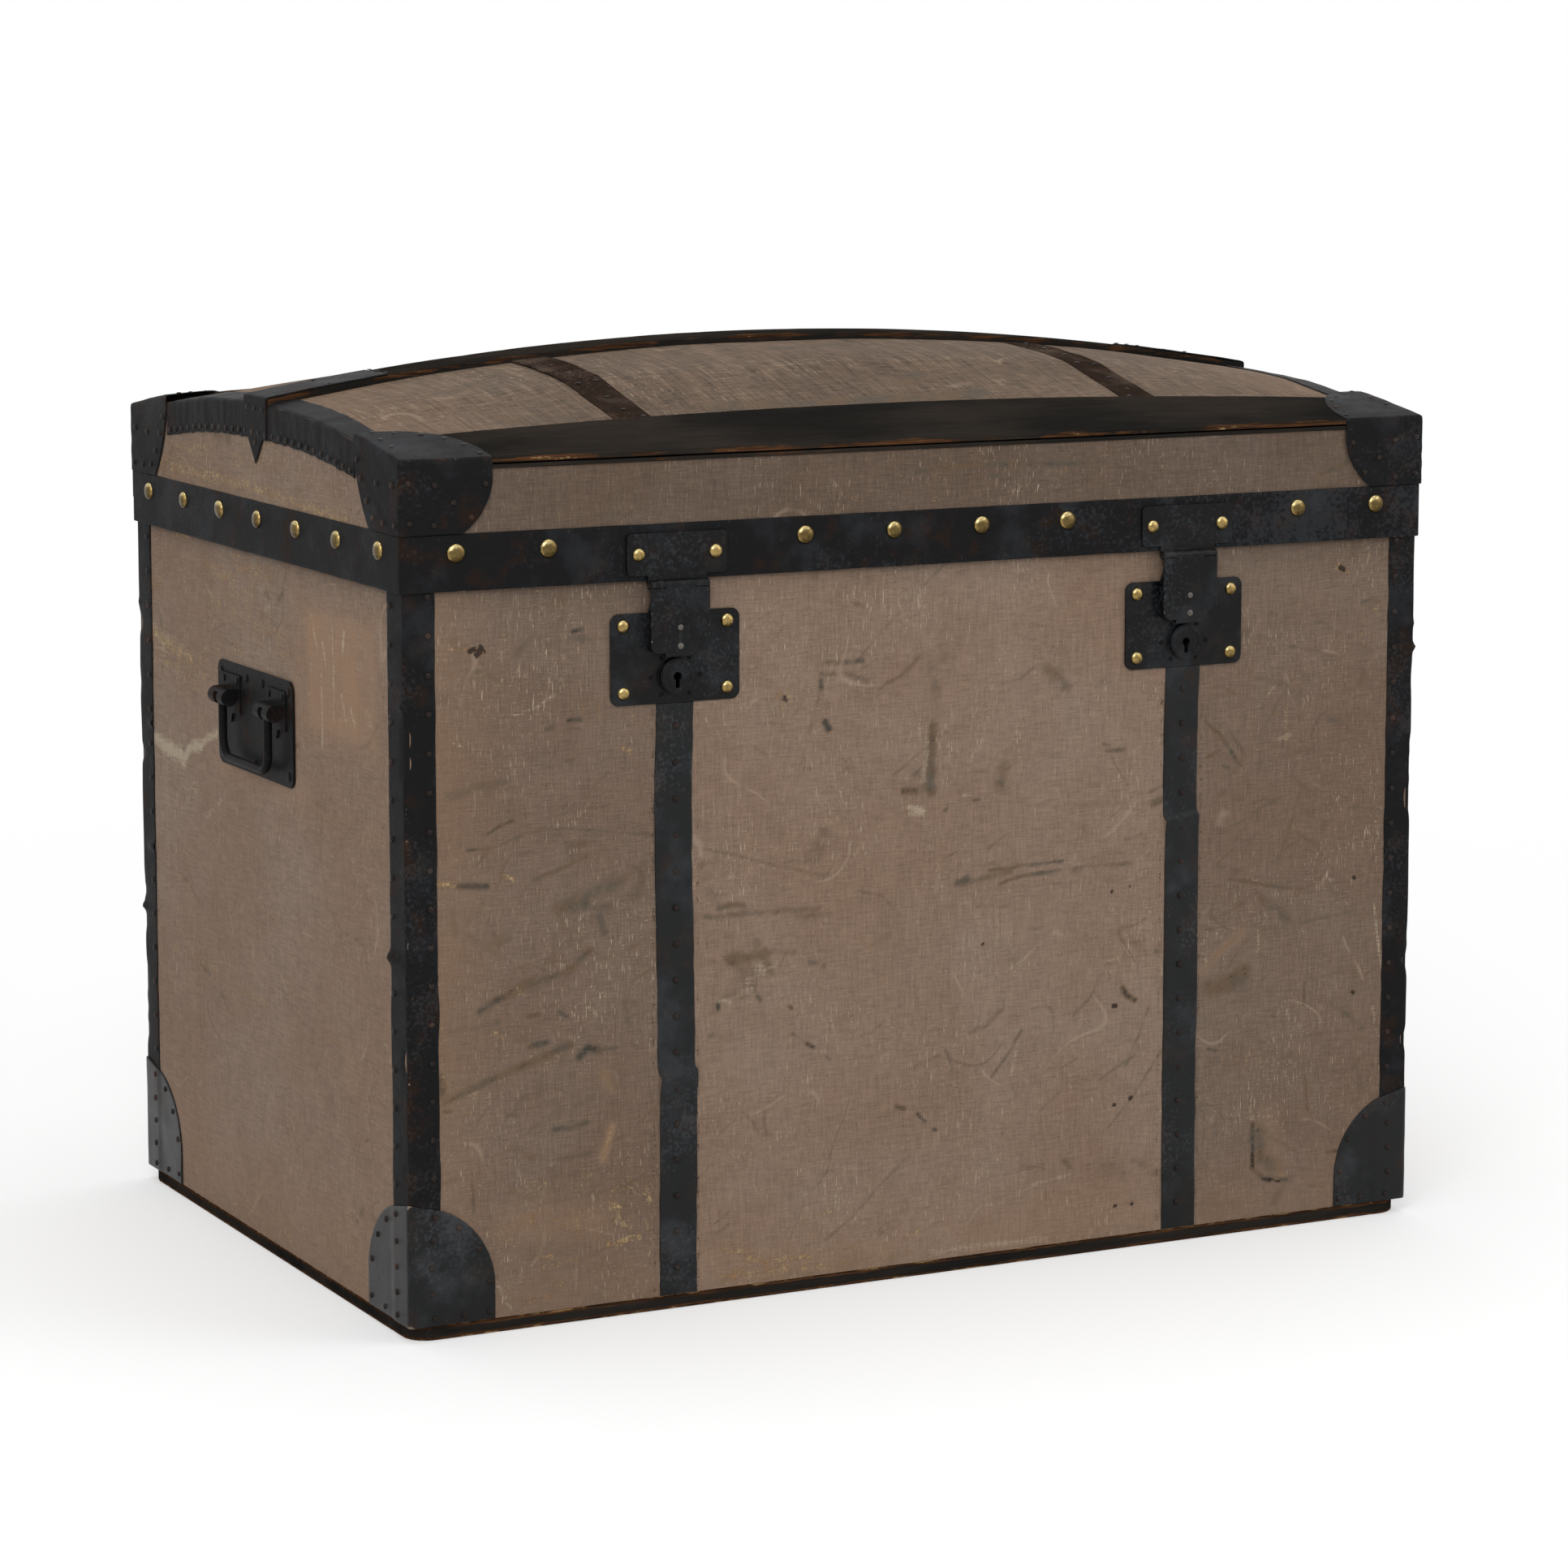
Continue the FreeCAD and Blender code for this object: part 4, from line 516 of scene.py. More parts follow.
def canvas_finish(name, warp, weft, base, worn, thread=1.15, contrast=0.72):
    """Painted canvas: threads along two directions, dark rubs, pale rubs and places bare of paint. The grids
    carry how strong each is, and the threads break them up."""
    paint = Paint(name)
    warp_lines = paint.noise(thread, 2.0, warp)
    weft_lines = paint.noise(thread, 2.0, weft, 3.0)
    threads = warp_lines + weft_lines
    cloudy = paint.noise(170.0, 4.0, shift=1.0)
    patchy = paint.noise(34.0, 5.0, shift=2.0, roughness=0.62)
    grain = paint.noise(1.6, 4.0, shift=4.0, roughness=0.75)
    breaks = (threads - 1.0) * 0.7 + (grain - 0.5) * 0.9
    paint.ground(cloudy.ramp(0.3, 0.7), base, worn)
    paint.coat(patchy.ramp(0.42, 0.7) * 0.35, paint.dim(worn, 0.86))
    # The tone mark darkens the canvas: whole panels by their tone, and below the band a painted shade.
    light = ((threads - 1.0) * contrast + (grain - 0.5) * 0.75 + 1.0) * (1.0 - paint.mark("tone") * 0.24)
    paint.shade(light)
    region = paint.noise(75.0, 2.0, shift=26.0).ramp(0.42, 0.64)
    dashes = paint.noise(0.8, 1.0, [share ** 0.95 for share in warp], 7.0).ramp(0.67, 0.74)
    cross = paint.noise(0.8, 1.0, [share ** 0.6 for share in weft], 8.0).ramp(0.71, 0.75)
    flecks = (dashes + cross * 0.6) * (region * 0.7 + 0.3)
    paint.coat(flecks * 0.65, "b5a68e")
    dots = paint.noise(2.2, 1.0, shift=9.0).ramp(0.75, 0.775) * (region * 0.7 + 0.3)
    paint.coat(dots * 0.6, "a38a62")
    feather = paint.noise(7.0, 5.0, (1.8, 1.8, 1.0), 11.0, 0.7, 0.42)
    smudges = paint.noise(12.0, 6.0, (4.0, 4.0, 1.0), 12.0, 0.66, 0.42).ramp(0.545, 0.70)
    smudges = smudges * paint.noise(95.0, 2.0, shift=10.0).ramp(0.40, 0.62) * 0.55
    placed = paint.mark("grime")
    grime = (placed.larger(smudges) + (feather - 0.5) * 1.3 + breaks * 0.75).ramp(0.24, 0.86)
    grime = grime * placed.larger(smudges).ramp(0.04, 0.3)
    tone = paint.noise(26.0, 3.0, shift=14.0).ramp(0.42, 0.60)
    dark = paint.blend(tone, "5a4836", "4b443a")
    paint.coat(grime * 0.85, dark)
    curve, other = paint.noise(150.0, 1.0, shift=13.0), paint.noise(120.0, 1.5, shift=15.0)
    bits, ends = paint.noise(55.0, 2.0, shift=16.0), paint.noise(70.0, 2.0, shift=19.0)
    scratch = curve.ramp(0.493, 0.5) * curve.ramp(0.507, 0.5) * bits.ramp(0.55, 0.62)
    paint.coat(scratch * 0.3, "a08d7a")
    scratch = other.ramp(0.492, 0.5) * other.ramp(0.508, 0.5) * ends.ramp(0.56, 0.62)
    paint.coat(scratch * 0.4, "4d4033")
    deep = (placed + (feather - 0.5) * 2.0 + breaks * 1.1).ramp(0.88, 1.15) * placed.ramp(0.5, 0.7)
    paint.coat(deep * 0.8, "322e2a")
    tan = paint.mark("tan")
    paint.coat(tan * (patchy * 0.9 + 0.15), "91735a")
    pale = paint.mark("chalk")
    chalk = (pale * (feather + 0.5) + breaks * 1.5 * pale.ramp(0.0, 0.5)).ramp(0.35, 1.15)
    paint.coat(chalk * 0.6, "a89c85")
    speck = paint.noise(2.4, 5.0, (1.2, 1.2, 1.0), 17.0, 0.8)
    flake = paint.noise(6.0, 5.0, (1.3, 1.3, 1.0), 18.0, 0.7)
    bare = (paint.mark("bare") * 0.17 + speck + (threads - 1.0) * 0.16).ramp(0.63, 0.71)
    ochre = paint.blend(tone, "a28862", "8d6b47")
    paint.coat(bare * 0.72, ochre)
    cream = (paint.mark("bare") * 0.38 + flake * 0.9 + (grain - 0.5) * 0.7).ramp(0.88, 0.96)
    paint.coat(cream * 0.8, "b39c78")
    # Dark holes, with the painted shade behind the keyholes and beside the metal, darkened and sunk.
    hole_and_shade = (paint.mark("hole_and_shade") * 1.15 + (feather - 0.5) * 0.9 + (grain - 0.5) * 1.5).ramp(0.5, 0.8)
    paint.coat(hole_and_shade * 0.9, "241a13")
    roughness = patchy * 0.14 + 0.78
    return paint.finish(roughness, threads * 0.5 + grain * 0.25 - bare * 0.4 - cream * 0.3 - hole_and_shade, 0.4,
                        Specular_IOR_Level=0.2)


def painted_canvas():
    colours = bpy.context.scene.trunk_colours
    return canvas_finish("painted_canvas", (1, 1, 15), (15, 15, 1), (*colours.canvas, 1), "776252")


def dome_canvas():
    return canvas_finish("dome_canvas", (1, 20, 20), (6, 1, 6), "605042", "534437", 2.7, 1.6)


def lacquer(name, base, brown, bloom_and_sheen, rust_share=0.0, roughness=0.42, gloss=0.02, speck=0.5):
    """Black lacquer on sheet metal: brown patches, a grey bloom with lighter clouds of it as a painted sheen,
    rust, scratches and bright worn places.
    """
    paint = Paint(name)
    patches = paint.noise(26.0, 6.0, shift=21.0, roughness=0.62)
    fine = paint.noise(3.2, 6.0, shift=22.0, roughness=0.7)
    cloudy = paint.noise(90.0, 3.0, shift=23.0)
    paint.ground(patches.ramp(0.50, 0.68), base, brown)
    specks = (fine * 0.75 + cloudy * 0.5 + patches * 0.2 + paint.mark("dust")).ramp(0.76, 0.86)
    paint.coat(specks * speck, bloom_and_sheen)
    # Painted sheen: lighter clouds of the bloom's colour stand in for reflections on the lacquer.
    sheen = paint.noise(45.0, 5.0, shift=27.0, roughness=0.6).ramp(0.48, 0.70)
    paint.coat(sheen * (speck * 0.8), bloom_and_sheen)
    scratch = paint.noise(1.2, 2.0, (1.0, 9.0, 4.0), 25.0).ramp(0.70, 0.76) * cloudy.ramp(0.45, 0.65)
    paint.coat(scratch * 0.35, "5c564f")
    worn = paint.mark("worn")
    rusty = (fine * 0.45 + patches * 0.55 + worn * 0.16 + rust_share).ramp(0.66, 0.78)
    paint.coat(rusty * 0.55, "3d2618")
    # Bright worn places. On the hasp hems and the lock rings, which are worn all over, they are a painted
    # highlight.
    bright = (worn * 0.5 + fine * 0.75).ramp(0.87, 0.95)
    paint.coat(bright * 0.8, "85796a")
    rough = patches * 0.3 + fine * 0.25 + (roughness - 0.24)
    return paint.finish(rough, patches * 0.5 + fine * 0.3 + cloudy * 0.8, 0.7, bright * 0.5,
                        Specular_IOR_Level=gloss)


def black_tin():
    colours = bpy.context.scene.trunk_colours
    return lacquer("black_tin", (*colours.tin, 1), "241b16", "36383b", speck=0.4)


def strap_tin():
    """The lacquer on the straps and guards is thinner and bluer; its painted sheen is a lighter blue-grey."""
    return lacquer("strap_tin", "131415", "1e1713", "404347", roughness=0.32, gloss=0.17, speck=0.36)


def lock_japan():
    return lacquer("lock_japan", "080809", "150e0a", "33373b", roughness=0.26, gloss=0.15, speck=0.4)


def brown_strap():
    return lacquer("brown_strap", "2a211c", "382b24", "5a4f45", 0.02, 0.5, 0.0)


def handle_iron():
    return lacquer("handle_iron", "141414", "231812", "26272a", 0.07, 0.36, 0.025, 0.3)


def tack_black():
    return lacquer("tack_black", "1e1815", "33221b", "403a36", 0.08, 0.36, 0.1)


def slat_paint(name, worn_of):
    """Black paint on wood, worn through to brown wood along its edges, with grain along the trunk."""
    paint = Paint(name)
    grain = paint.noise(1.4, 5.0, (40, 1, 1), 31.0, 0.65)
    cloudy = paint.noise(60.0, 4.0, (3, 1, 1), 32.0)
    chips = paint.noise(6.0, 7.0, (3.5, 1, 1), 33.0, 0.72)
    paint.ground(cloudy.ramp(0.35, 0.7), "1c1b19", "2c2723")
    paint.shade(grain * 1.2 + 0.4)
    worn = worn_of(paint)
    through = (worn * 0.46 + chips * 0.75 + grain * 0.16 + cloudy * 0.3).ramp(0.83, 0.98)
    wood = paint.blend(grain.ramp(0.4, 0.6), "2c1e15", "513521")
    paint.coat(through * 0.85, wood)
    raw = (worn * 0.4 + chips * 0.8 + grain * 0.1).ramp(0.91, 0.98)
    paint.coat(raw, "977a54")
    return paint.finish(through * 0.2 + 0.42, grain * 0.5 + chips * 0.3 - through * 0.4, 0.6,
                        Specular_IOR_Level=0.0)


def painted_slat():
    return slat_paint("painted_slat", lambda paint: paint.mark("worn"))


def painted_batten():
    """The battens' paint is worn along their upper and lower edges."""
    def edges(paint):
        height = paint.add("ShaderNodeSeparateXYZ", {}, {0: paint.place}, 2) / MM
        return (height * -1.0 + 12.5).ramp(6.0, 0.0) * 1.2 + height.ramp(5.0, 0.5) * 1.0 + 0.12
    return slat_paint("painted_batten", edges)


def pine_board():
    """Bare sawn boards with growth rings as stretched bands."""
    paint = Paint("pine_board")
    grain = paint.noise(2.2, 4.0, (30, 30, 1), 41.0, 0.6)
    rings = paint.noise(26.0, 3.0, (14, 14, 1), 42.0)
    paint.ground(rings.ramp(0.35, 0.68), "b08a5a", "8b6238")
    paint.shade(grain * 0.5 + 0.75)
    return paint.finish(grain * 0.15 + 0.65, grain, 0.4, Specular_IOR_Level=0.3)


def lining_paper():
    """Aged plain paper: yellowed patches and small brown spots."""
    paint = Paint("lining_paper")
    cloudy = paint.noise(120.0, 5.0, shift=51.0, roughness=0.6)
    spots = paint.noise(6.0, 3.0, shift=52.0).ramp(0.72, 0.8)
    paint.ground(cloudy.ramp(0.35, 0.7), "c9bc9c", "a8946c")
    paint.coat(spots * 0.4, "7a5c38")
    return paint.finish(cloudy * 0.1 + 0.8, cloudy, 0.6, Specular_IOR_Level=0.25)


def brass_head():
    """Aged brass: bright at the rim and darker at the top, with a painted shade on each head's lower side and
    a painted highlight on its upper side.
    """
    paint = Paint("brass_head")
    fine = paint.noise(2.4, 4.0, shift=61.0, roughness=0.6)
    cloudy = paint.noise(60.0, 2.0, shift=62.0)
    crown = paint.mark("crown")
    paint.ground((fine * 0.6 + cloudy * 0.4).ramp(0.4, 0.62), "a38b58", "7d683e")
    paint.coat(crown.ramp(0.05, 0.3) * 0.75, "4c3f25")
    # Painted shade on the lower side of each head, then a pale painted highlight on its upper side.
    below = paint.mark("below")
    paint.coat((below + (fine - 0.5) * 0.7).ramp(0.05, 0.6) * 0.85, "33270f")
    paint.coat((below * -1.0 + (fine - 0.5) * 0.5).ramp(0.35, 0.6) * 0.6, "dcc890")
    return paint.finish(fine * 0.25 + 0.15, fine, 0.12, 1.0)


def lock_steel():
    """Dull steel with a brown film."""
    paint = Paint("lock_steel")
    fine = paint.noise(1.5, 4.0, (8, 1, 1), 71.0)
    patches = paint.noise(12.0, 4.0, shift=72.0)
    paint.ground(patches.ramp(0.4, 0.7), "625f5b", "4a3d33")
    return paint.finish(fine * 0.25 + 0.3, fine, 0.08, 0.85)


FINISHES = {
    "painted_canvas": painted_canvas, "painted_canvas:dome": dome_canvas, "black_tin": black_tin,
    "black_tin:tack": tack_black, "black_tin:strap": strap_tin, "lock_japan": lock_japan,
    "brown_strap": brown_strap, "handle_iron": handle_iron, "painted_slat": painted_slat,
    "painted_slat:base": painted_batten, "pine_board": pine_board, "lining_paper": lining_paper,
    "brass_head": brass_head, "lock_steel": lock_steel, "steel_pin": lock_steel,
}
made_finishes = {}


def finish(slot):
    """The material of a finish, made once."""
    if slot not in made_finishes:
        made_finishes[slot] = FINISHES[slot]()
    return made_finishes[slot]


# ---------------------------------------------------------------- walls: canvas panels

def wall_frame(side):
    """How a wall stands: the direction along it, its outward normal, as unit vectors in the floor plan."""
    return {"front": ((1, 0), (0, -1)), "back": ((-1, 0), (0, 1)),
            "left": ((0, -1), (-1, 0)), "right": ((0, 1), (1, 0))}[side]


def on_wall(side, reach, along, out, z):
    """Points of a wall: so far along it from the middle, so far out from the bare wall, and at a height.
    reach is the bare wall's distance from the trunk's middle."""
    (run_x, run_y), (face_x, face_y) = wall_frame(side)
    along, out, z = np.broadcast_arrays(along, out, z)
    return np.stack([run_x * along + face_x * (reach + out), run_y * along + face_y * (reach + out), z], -1)


def lock_notch(across, z, ends):
    """How far a front sheet's border draws back behind a lock plate, so that the lock's case has room: the
    full depth over the case's height and less the farther a point lies from that border."""
    level = np.clip((z - NOTCH_LOW) / 4, 0, 1) * np.clip((NOTCH_HIGH - z) / 4, 0, 1)
    aside = np.zeros_like(z)
    for end, way in zip(ends, (1, -1)):
        if abs(abs(end) - abs(LOCK_X)) < 1:
            aside = aside + way * NOTCH_DEEP * level * np.clip(1 - way * (across - end) / 80, 0, 1)
    return aside


def wall_panel(side, reach, ends, low, top, step, seed, swell):
    """A sheet of canvas on a wall, from low up to a height that may change along it, with gentle swelling
    that dies out at its borders."""
    along = stations(*ends, step)
    high = top(along)[:, None]
    z = low + stations(0.0, 1.0, step / (np.max(high) - low)) * (high - low)
    across = np.broadcast_to(along[:, None], z.shape)
    if side == "front" and low == FLOOR_Z:
        across = across + lock_notch(across, z, ends)
    distance = np.minimum(off_ends(along)[:, None], np.minimum(z - low, high - z))
    calm = np.clip(distance / 40, 0, 1)
    out = np.clip(waves(across, z, seed, 190.0, swell) * calm, -0.55, 0.6)
    shape, source = backed(on_wall(side, reach, across, out, z), on_wall(side, reach, across, -CLOTH, z))
    return shape, np.stack([across, z]).reshape(2, -1)[:, source]


def twice(values):
    """Marks for both faces of a sheet."""
    return np.concatenate([values.ravel(), values.ravel()])


def scatter(u, v, seed, count, window, length, width, tilt, lean=0.0):
    """Chance rubs: bent strokes of changing length, width and strength inside a window, most of them turned
    by less than tilt from their lean."""
    chance = np.random.default_rng(seed)
    result = np.zeros_like(u)
    for _ in range(count):
        start = [chance.uniform(*window[0]), chance.uniform(*window[1])]
        turn = chance.normal(lean, tilt)
        reach = length * chance.uniform(0.3, 1.3)
        bend = chance.normal(0, 0.12)
        path = [(start[0] + reach * share * math.cos(turn + bend * share),
                 start[1] + reach * share * math.sin(turn + bend * share * 3)) for share in (0, 0.5, 1)]
        strength = chance.uniform(0.25, 0.8)
        result = np.maximum(result, strength * stroke(u, v, path, width * chance.uniform(0.6, 1.5)))
    return result


# A mark is its strength, its width and the places of its path, each along and then up the wall. Rubs of full
# strength are black.
FRONT_RUBS = [
    (1.1, 2.4, -315, 541, -307, 542), (0.5, 5, -324, 566, -323, 545), (0.5, 6, -318, 534, -306, 536),
    (1.1, 2.4, -319, 473, -309, 473), (1, 2.2, -338, 467, -332, 468), (0.8, 2, -321, 442, -315, 442),
    (0.65, 6, -418, 420, -396, 427, -372, 429), (1.1, 1.8, -387, 390, -376, 396, -366, 399),
    (0.6, 1.8, -385, 378, -355, 389, -325, 390, -295, 386, -252, 379), (1, 1.8, -404, 379, -386, 379),
    (1.2, 3.2, -412, 352, -400, 351, -388, 350), (0.7, 3, -348, 352, -325, 359, -305, 366),
    (0.75, 4.5, -316, 376, -306, 377), (0.8, 8, -328, 327, -307, 330), (0.6, 8, -318, 332, -272, 347),
    (0.5, 4.5, -272, 347, -255, 357), (0.6, 4.5, -299, 326, -284, 327), (0.75, 5, -293, 317, -290, 306),
    (0.6, 4.5, -416, 334, -414, 316), (0.6, 4, -407, 325, -402, 324), (0.6, 3.6, -403, 313, -397, 309),
    (0.45, 2.6, -362, 385, -375, 360, -385, 330, -394, 296), (0.6, 3, -383, 314, -377, 302),
    (0.5, 4, -332, 308, -334, 282), (0.8, 4.5, -394, 254, -375, 264, -350, 275),
    (0.8, 4, -378, 260, -350, 271, -320, 279, -302, 293), (0.55, 7, -350, 270, -322, 277),
    (0.45, 5, -300, 285, -270, 290, -252, 298), (0.55, 4, -428, 240, -404, 240, -380, 244),
    (1, 2.6, -354, 246, -346, 247), (1, 3.2, -353, 222, -339, 224), (1, 2.2, -328, 247, -322, 243),
    (0.85, 4.6, -425, 186, -395, 196, -365, 206, -340, 214, -320, 220),
    (1.1, 4, -312, 210, -304, 217, -294, 213), (0.8, 2.6, -292, 214, -280, 214),
    (0.75, 5, -291, 196, -286, 188, -282, 184), (1.25, 4.6, -428, 205, -427, 192),
    (1.1, 2.2, -425, 179, -419, 178), (0.7, 2.4, -372, 170, -363, 169), (0.55, 4, -316, 171, -300, 177),
    (0.8, 3.2, -333, 155, -318, 155, -306, 158), (0.65, 3.2, -330, 131, -314, 132, -300, 135),
    (0.5, 2.6, -345, 117, -300, 119), (0.5, 4.5, -432, 122, -402, 129), (1, 2, -402, 122, -401, 98),
    (0.5, 3, -345, 97, -300, 100, -275, 104, -251, 109), (0.45, 5, -274, 268, -272, 250, -268, 222),
    (0.5, 3, -326, 215, -328, 196), (0.5, 2.6, -343, 200, -345, 182), (0.4, 9, -380, 475, -378, 465),
    (0.35, 14, -340, 40, -330, 30), (0.6, 2, -215, 367, -180, 358, -140, 346, -100, 335),
    (0.8, 3.4, -192, 316, -180, 318, -170, 317), (0.6, 4, -213, 310, -150, 310, -105, 309),
    (0.6, 3.6, -124, 304, -94, 304), (0.5, 8, -205, 352, -196, 322), (0.85, 7, -180, 275, -150, 276),
    (0.6, 7, -152, 276, -148, 262), (0.55, 3.6, -142, 278, -126, 276), (0.65, 4, -112, 266, -100, 263),
    (1, 2.4, -193, 243, -192, 236), (0.9, 2.4, -158, 243, -155, 240), (0.9, 2, -130, 233, -128, 231),
    (0.7, 1.8, -128, 211, -107, 197), (1, 1.8, -115, 201, -109, 198), (0.9, 1.8, -98, 190, -94, 186),
    (0.4, 6, -200, 217, -182, 213), (1.2, 2.4, -34, 142, -27, 139), (1.1, 1.8, -15, 134, -8, 127),
    (1, 2, 0, 120, 2, 119), (0.55, 2.4, -98, 40, -75, 55, -50, 78, -22, 101),
    (0.55, 1.8, -190, 138, -178, 146), (0.45, 1.8, -82, 88, -66, 92), (0.45, 2.6, -20, 172, 5, 180),
    (0.5, 2.4, 10, 186, 16, 170, 14, 158), (0.65, 3.4, -102, 495, -80, 494, -60, 487),
    (0.75, 3.4, -97, 504, -66, 503), (1, 2.6, -102, 490, -102, 484), (1.1, 3.6, -98, 457, -95, 451),
    (0.45, 2.6, -103, 480, -112, 452, -122, 416, -127, 408), (0.5, 3.4, -159, 441, -151, 435),
    (0.5, 2, -66, 508, -45, 528, -25, 548, 8, 576), (0.6, 4, -74, 550, -64, 547),
    (0.9, 6, -3, 446, -4, 420, -4, 395), (0.95, 4, -28, 397, -18, 396), (0.5, 10, -16, 412, -10, 400),
    (0.45, 9, 2, 460, -4, 500), (0.4, 9, 8, 525, 8, 500), (0.9, 5, 21, 319, 30, 320),
    (0.7, 4.6, 28, 319, 50, 321, 70, 325), (0.8, 2, 50, 327, 75, 328, 118, 329),
    (0.8, 2.2, 60, 315, 80, 320, 108, 321), (0.6, 2.4, 105, 321, 140, 323, 182, 322),
    (0.45, 3.4, 42, 331, 62, 332), (0.45, 2.2, 130, 330, 176, 332), (0.45, 2.4, 40, 311, 180, 311),
    (0.5, 4, 130, 374, 176, 374), (0.8, 2.2, 199, 379, 212, 384), (0.7, 5, 201, 370, 212, 373),
    (0.7, 2.6, 155, 422, 161, 421), (0.7, 3, 158, 416, 176, 416), (0.6, 2.4, 36, 409, 46, 407),
    (1, 2, 35, 385, 40, 385), (0.8, 1.8, 8, 378, 11, 380), (0.6, 2.6, 134, 358, 138, 352),
    (0.6, 2.4, 176, 342, 192, 345), (1.1, 3, 175, 219, 180, 212, 187, 208), (0.5, 4, 175, 258, 189, 255),
    (0.6, 1.8, 213, 163, 200, 146, 185, 126, 162, 103), (0.5, 4, 80, 82, 90, 78),
    (0.7, 4, 122, 80, 127, 75), (0.5, 4, 158, 72, 170, 72), (0.45, 5, 188, 74, 210, 64),
    (0.9, 2.4, 252, 434, 268, 420, 286, 395), (0.7, 2.4, 275, 425, 291, 403),
    (0.9, 2.2, 254, 404, 266, 409), (0.6, 2.4, 270, 396, 282, 390), (0.5, 4, 300, 395, 330, 401, 362, 405),
    (0.5, 4.4, 290, 476, 305, 465, 326, 460), (0.55, 2.4, 326, 493, 350, 487, 362, 486),
    (0.45, 2.4, 312, 530, 314, 505), (0.45, 2, 380, 525, 378, 490, 377, 450, 375, 422),
    (0.55, 4.6, 370, 428, 385, 425), (0.55, 3.6, 322, 308, 332, 332, 346, 372),
    (0.5, 4.4, 338, 380, 360, 365), (0.45, 6, 368, 335, 372, 342), (0.35, 7, 362, 296, 370, 345),
    (0.4, 7, 280, 316, 283, 335), (0.75, 2.4, 276, 301, 300, 296, 325, 290, 350, 287),
    (0.55, 2.4, 330, 256, 370, 261, 412, 265), (0.7, 3, 252, 226, 268, 241, 290, 255),
    (0.85, 10, 260, 211, 276, 214, 292, 221), (0.5, 2.6, 310, 236, 311, 214),
    (0.5, 2.4, 252, 262, 264, 260), (0.4, 2.6, 360, 210, 422, 217), (0.5, 2, 308, 160, 350, 162, 410, 162),
    (0.9, 2, 258, 160, 266, 158), (0.4, 2.4, 270, 158, 290, 152), (0.9, 1.8, 320, 182, 323, 181),
    (0.8, 2, 352, 208, 352, 188), (0.8, 2, 354, 128, 357, 98), (0.4, 7, 400, 142, 410, 106),
    (1, 3, 303, 92, 304, 70, 303, 55, 315, 43, 337, 41), (0.75, 9, 310, 86, 312, 62, 330, 50),
    (0.45, 2.4, 375, 92, 382, 64), (0.9, 2.6, 377, 60, 389, 60), (0.7, 2.4, 359, 33, 374, 30),
    (0.5, 6, 255, 30, 290, 24),
]
FRONT_CHALK = [
    (0.95, 6, -21, 382, -12, 379), (0.6, 4, -7, 452, -8, 425, -12, 404), (0.6, 2, -14, 450, -14, 436),
    (0.55, 9, -168, 250, -158, 262), (0.6, 6, -160, 272, -152, 262), (0.8, 2.6, -196, 244, -181, 241),
    (0.6, 1.6, -404, 189, -386, 195, -370, 200), (0.7, 3, -304, 249, -297, 242),
    (0.6, 1.8, -386, 39, -360, 39), (0.7, 2.4, -383, 40, -371, 18), (0.6, 1.8, -415, 462, -406, 458),
    (0.3, 1.8, -150, 358, -125, 362, -100, 356), (0.3, 1.8, -73, 402, -76, 390, -65, 371),
    (0.3, 1.8, -72, 457, -50, 463, -28, 460), (0.28, 2.6, -60, 271, -35, 262, -18, 240, -12, 214),
    (0.28, 2.4, 75, 400, 84, 378, 100, 360), (0.28, 2.6, 110, 494, 130, 493, 155, 485),
    (0.6, 2.2, 24, 390, 34, 389), (0.55, 3.4, 78, 58, 100, 65, 128, 68), (0.5, 3.4, 50, 52, 68, 53),
    (0.7, 4, 0, 19, 60, 18, 104, 17), (0.4, 1.8, 52, 225, 70, 205), (0.3, 1.8, 85, 178, 120, 181, 150, 178),
    (0.45, 1.8, 345, 446, 365, 470, 385, 487, 408, 498),
    (0.85, 1.7, 420, 268, 424, 240, 430, 205, 433, 160, 435, 112), (0.6, 2.4, 305, 255, 306, 240),
    (0.5, 3, 300, 127, 311, 130), (0.5, 1.8, 298, 100, 322, 96, 338, 78, 346, 48),
    (0.5, 1.6, 262, 497, 286, 500),
]
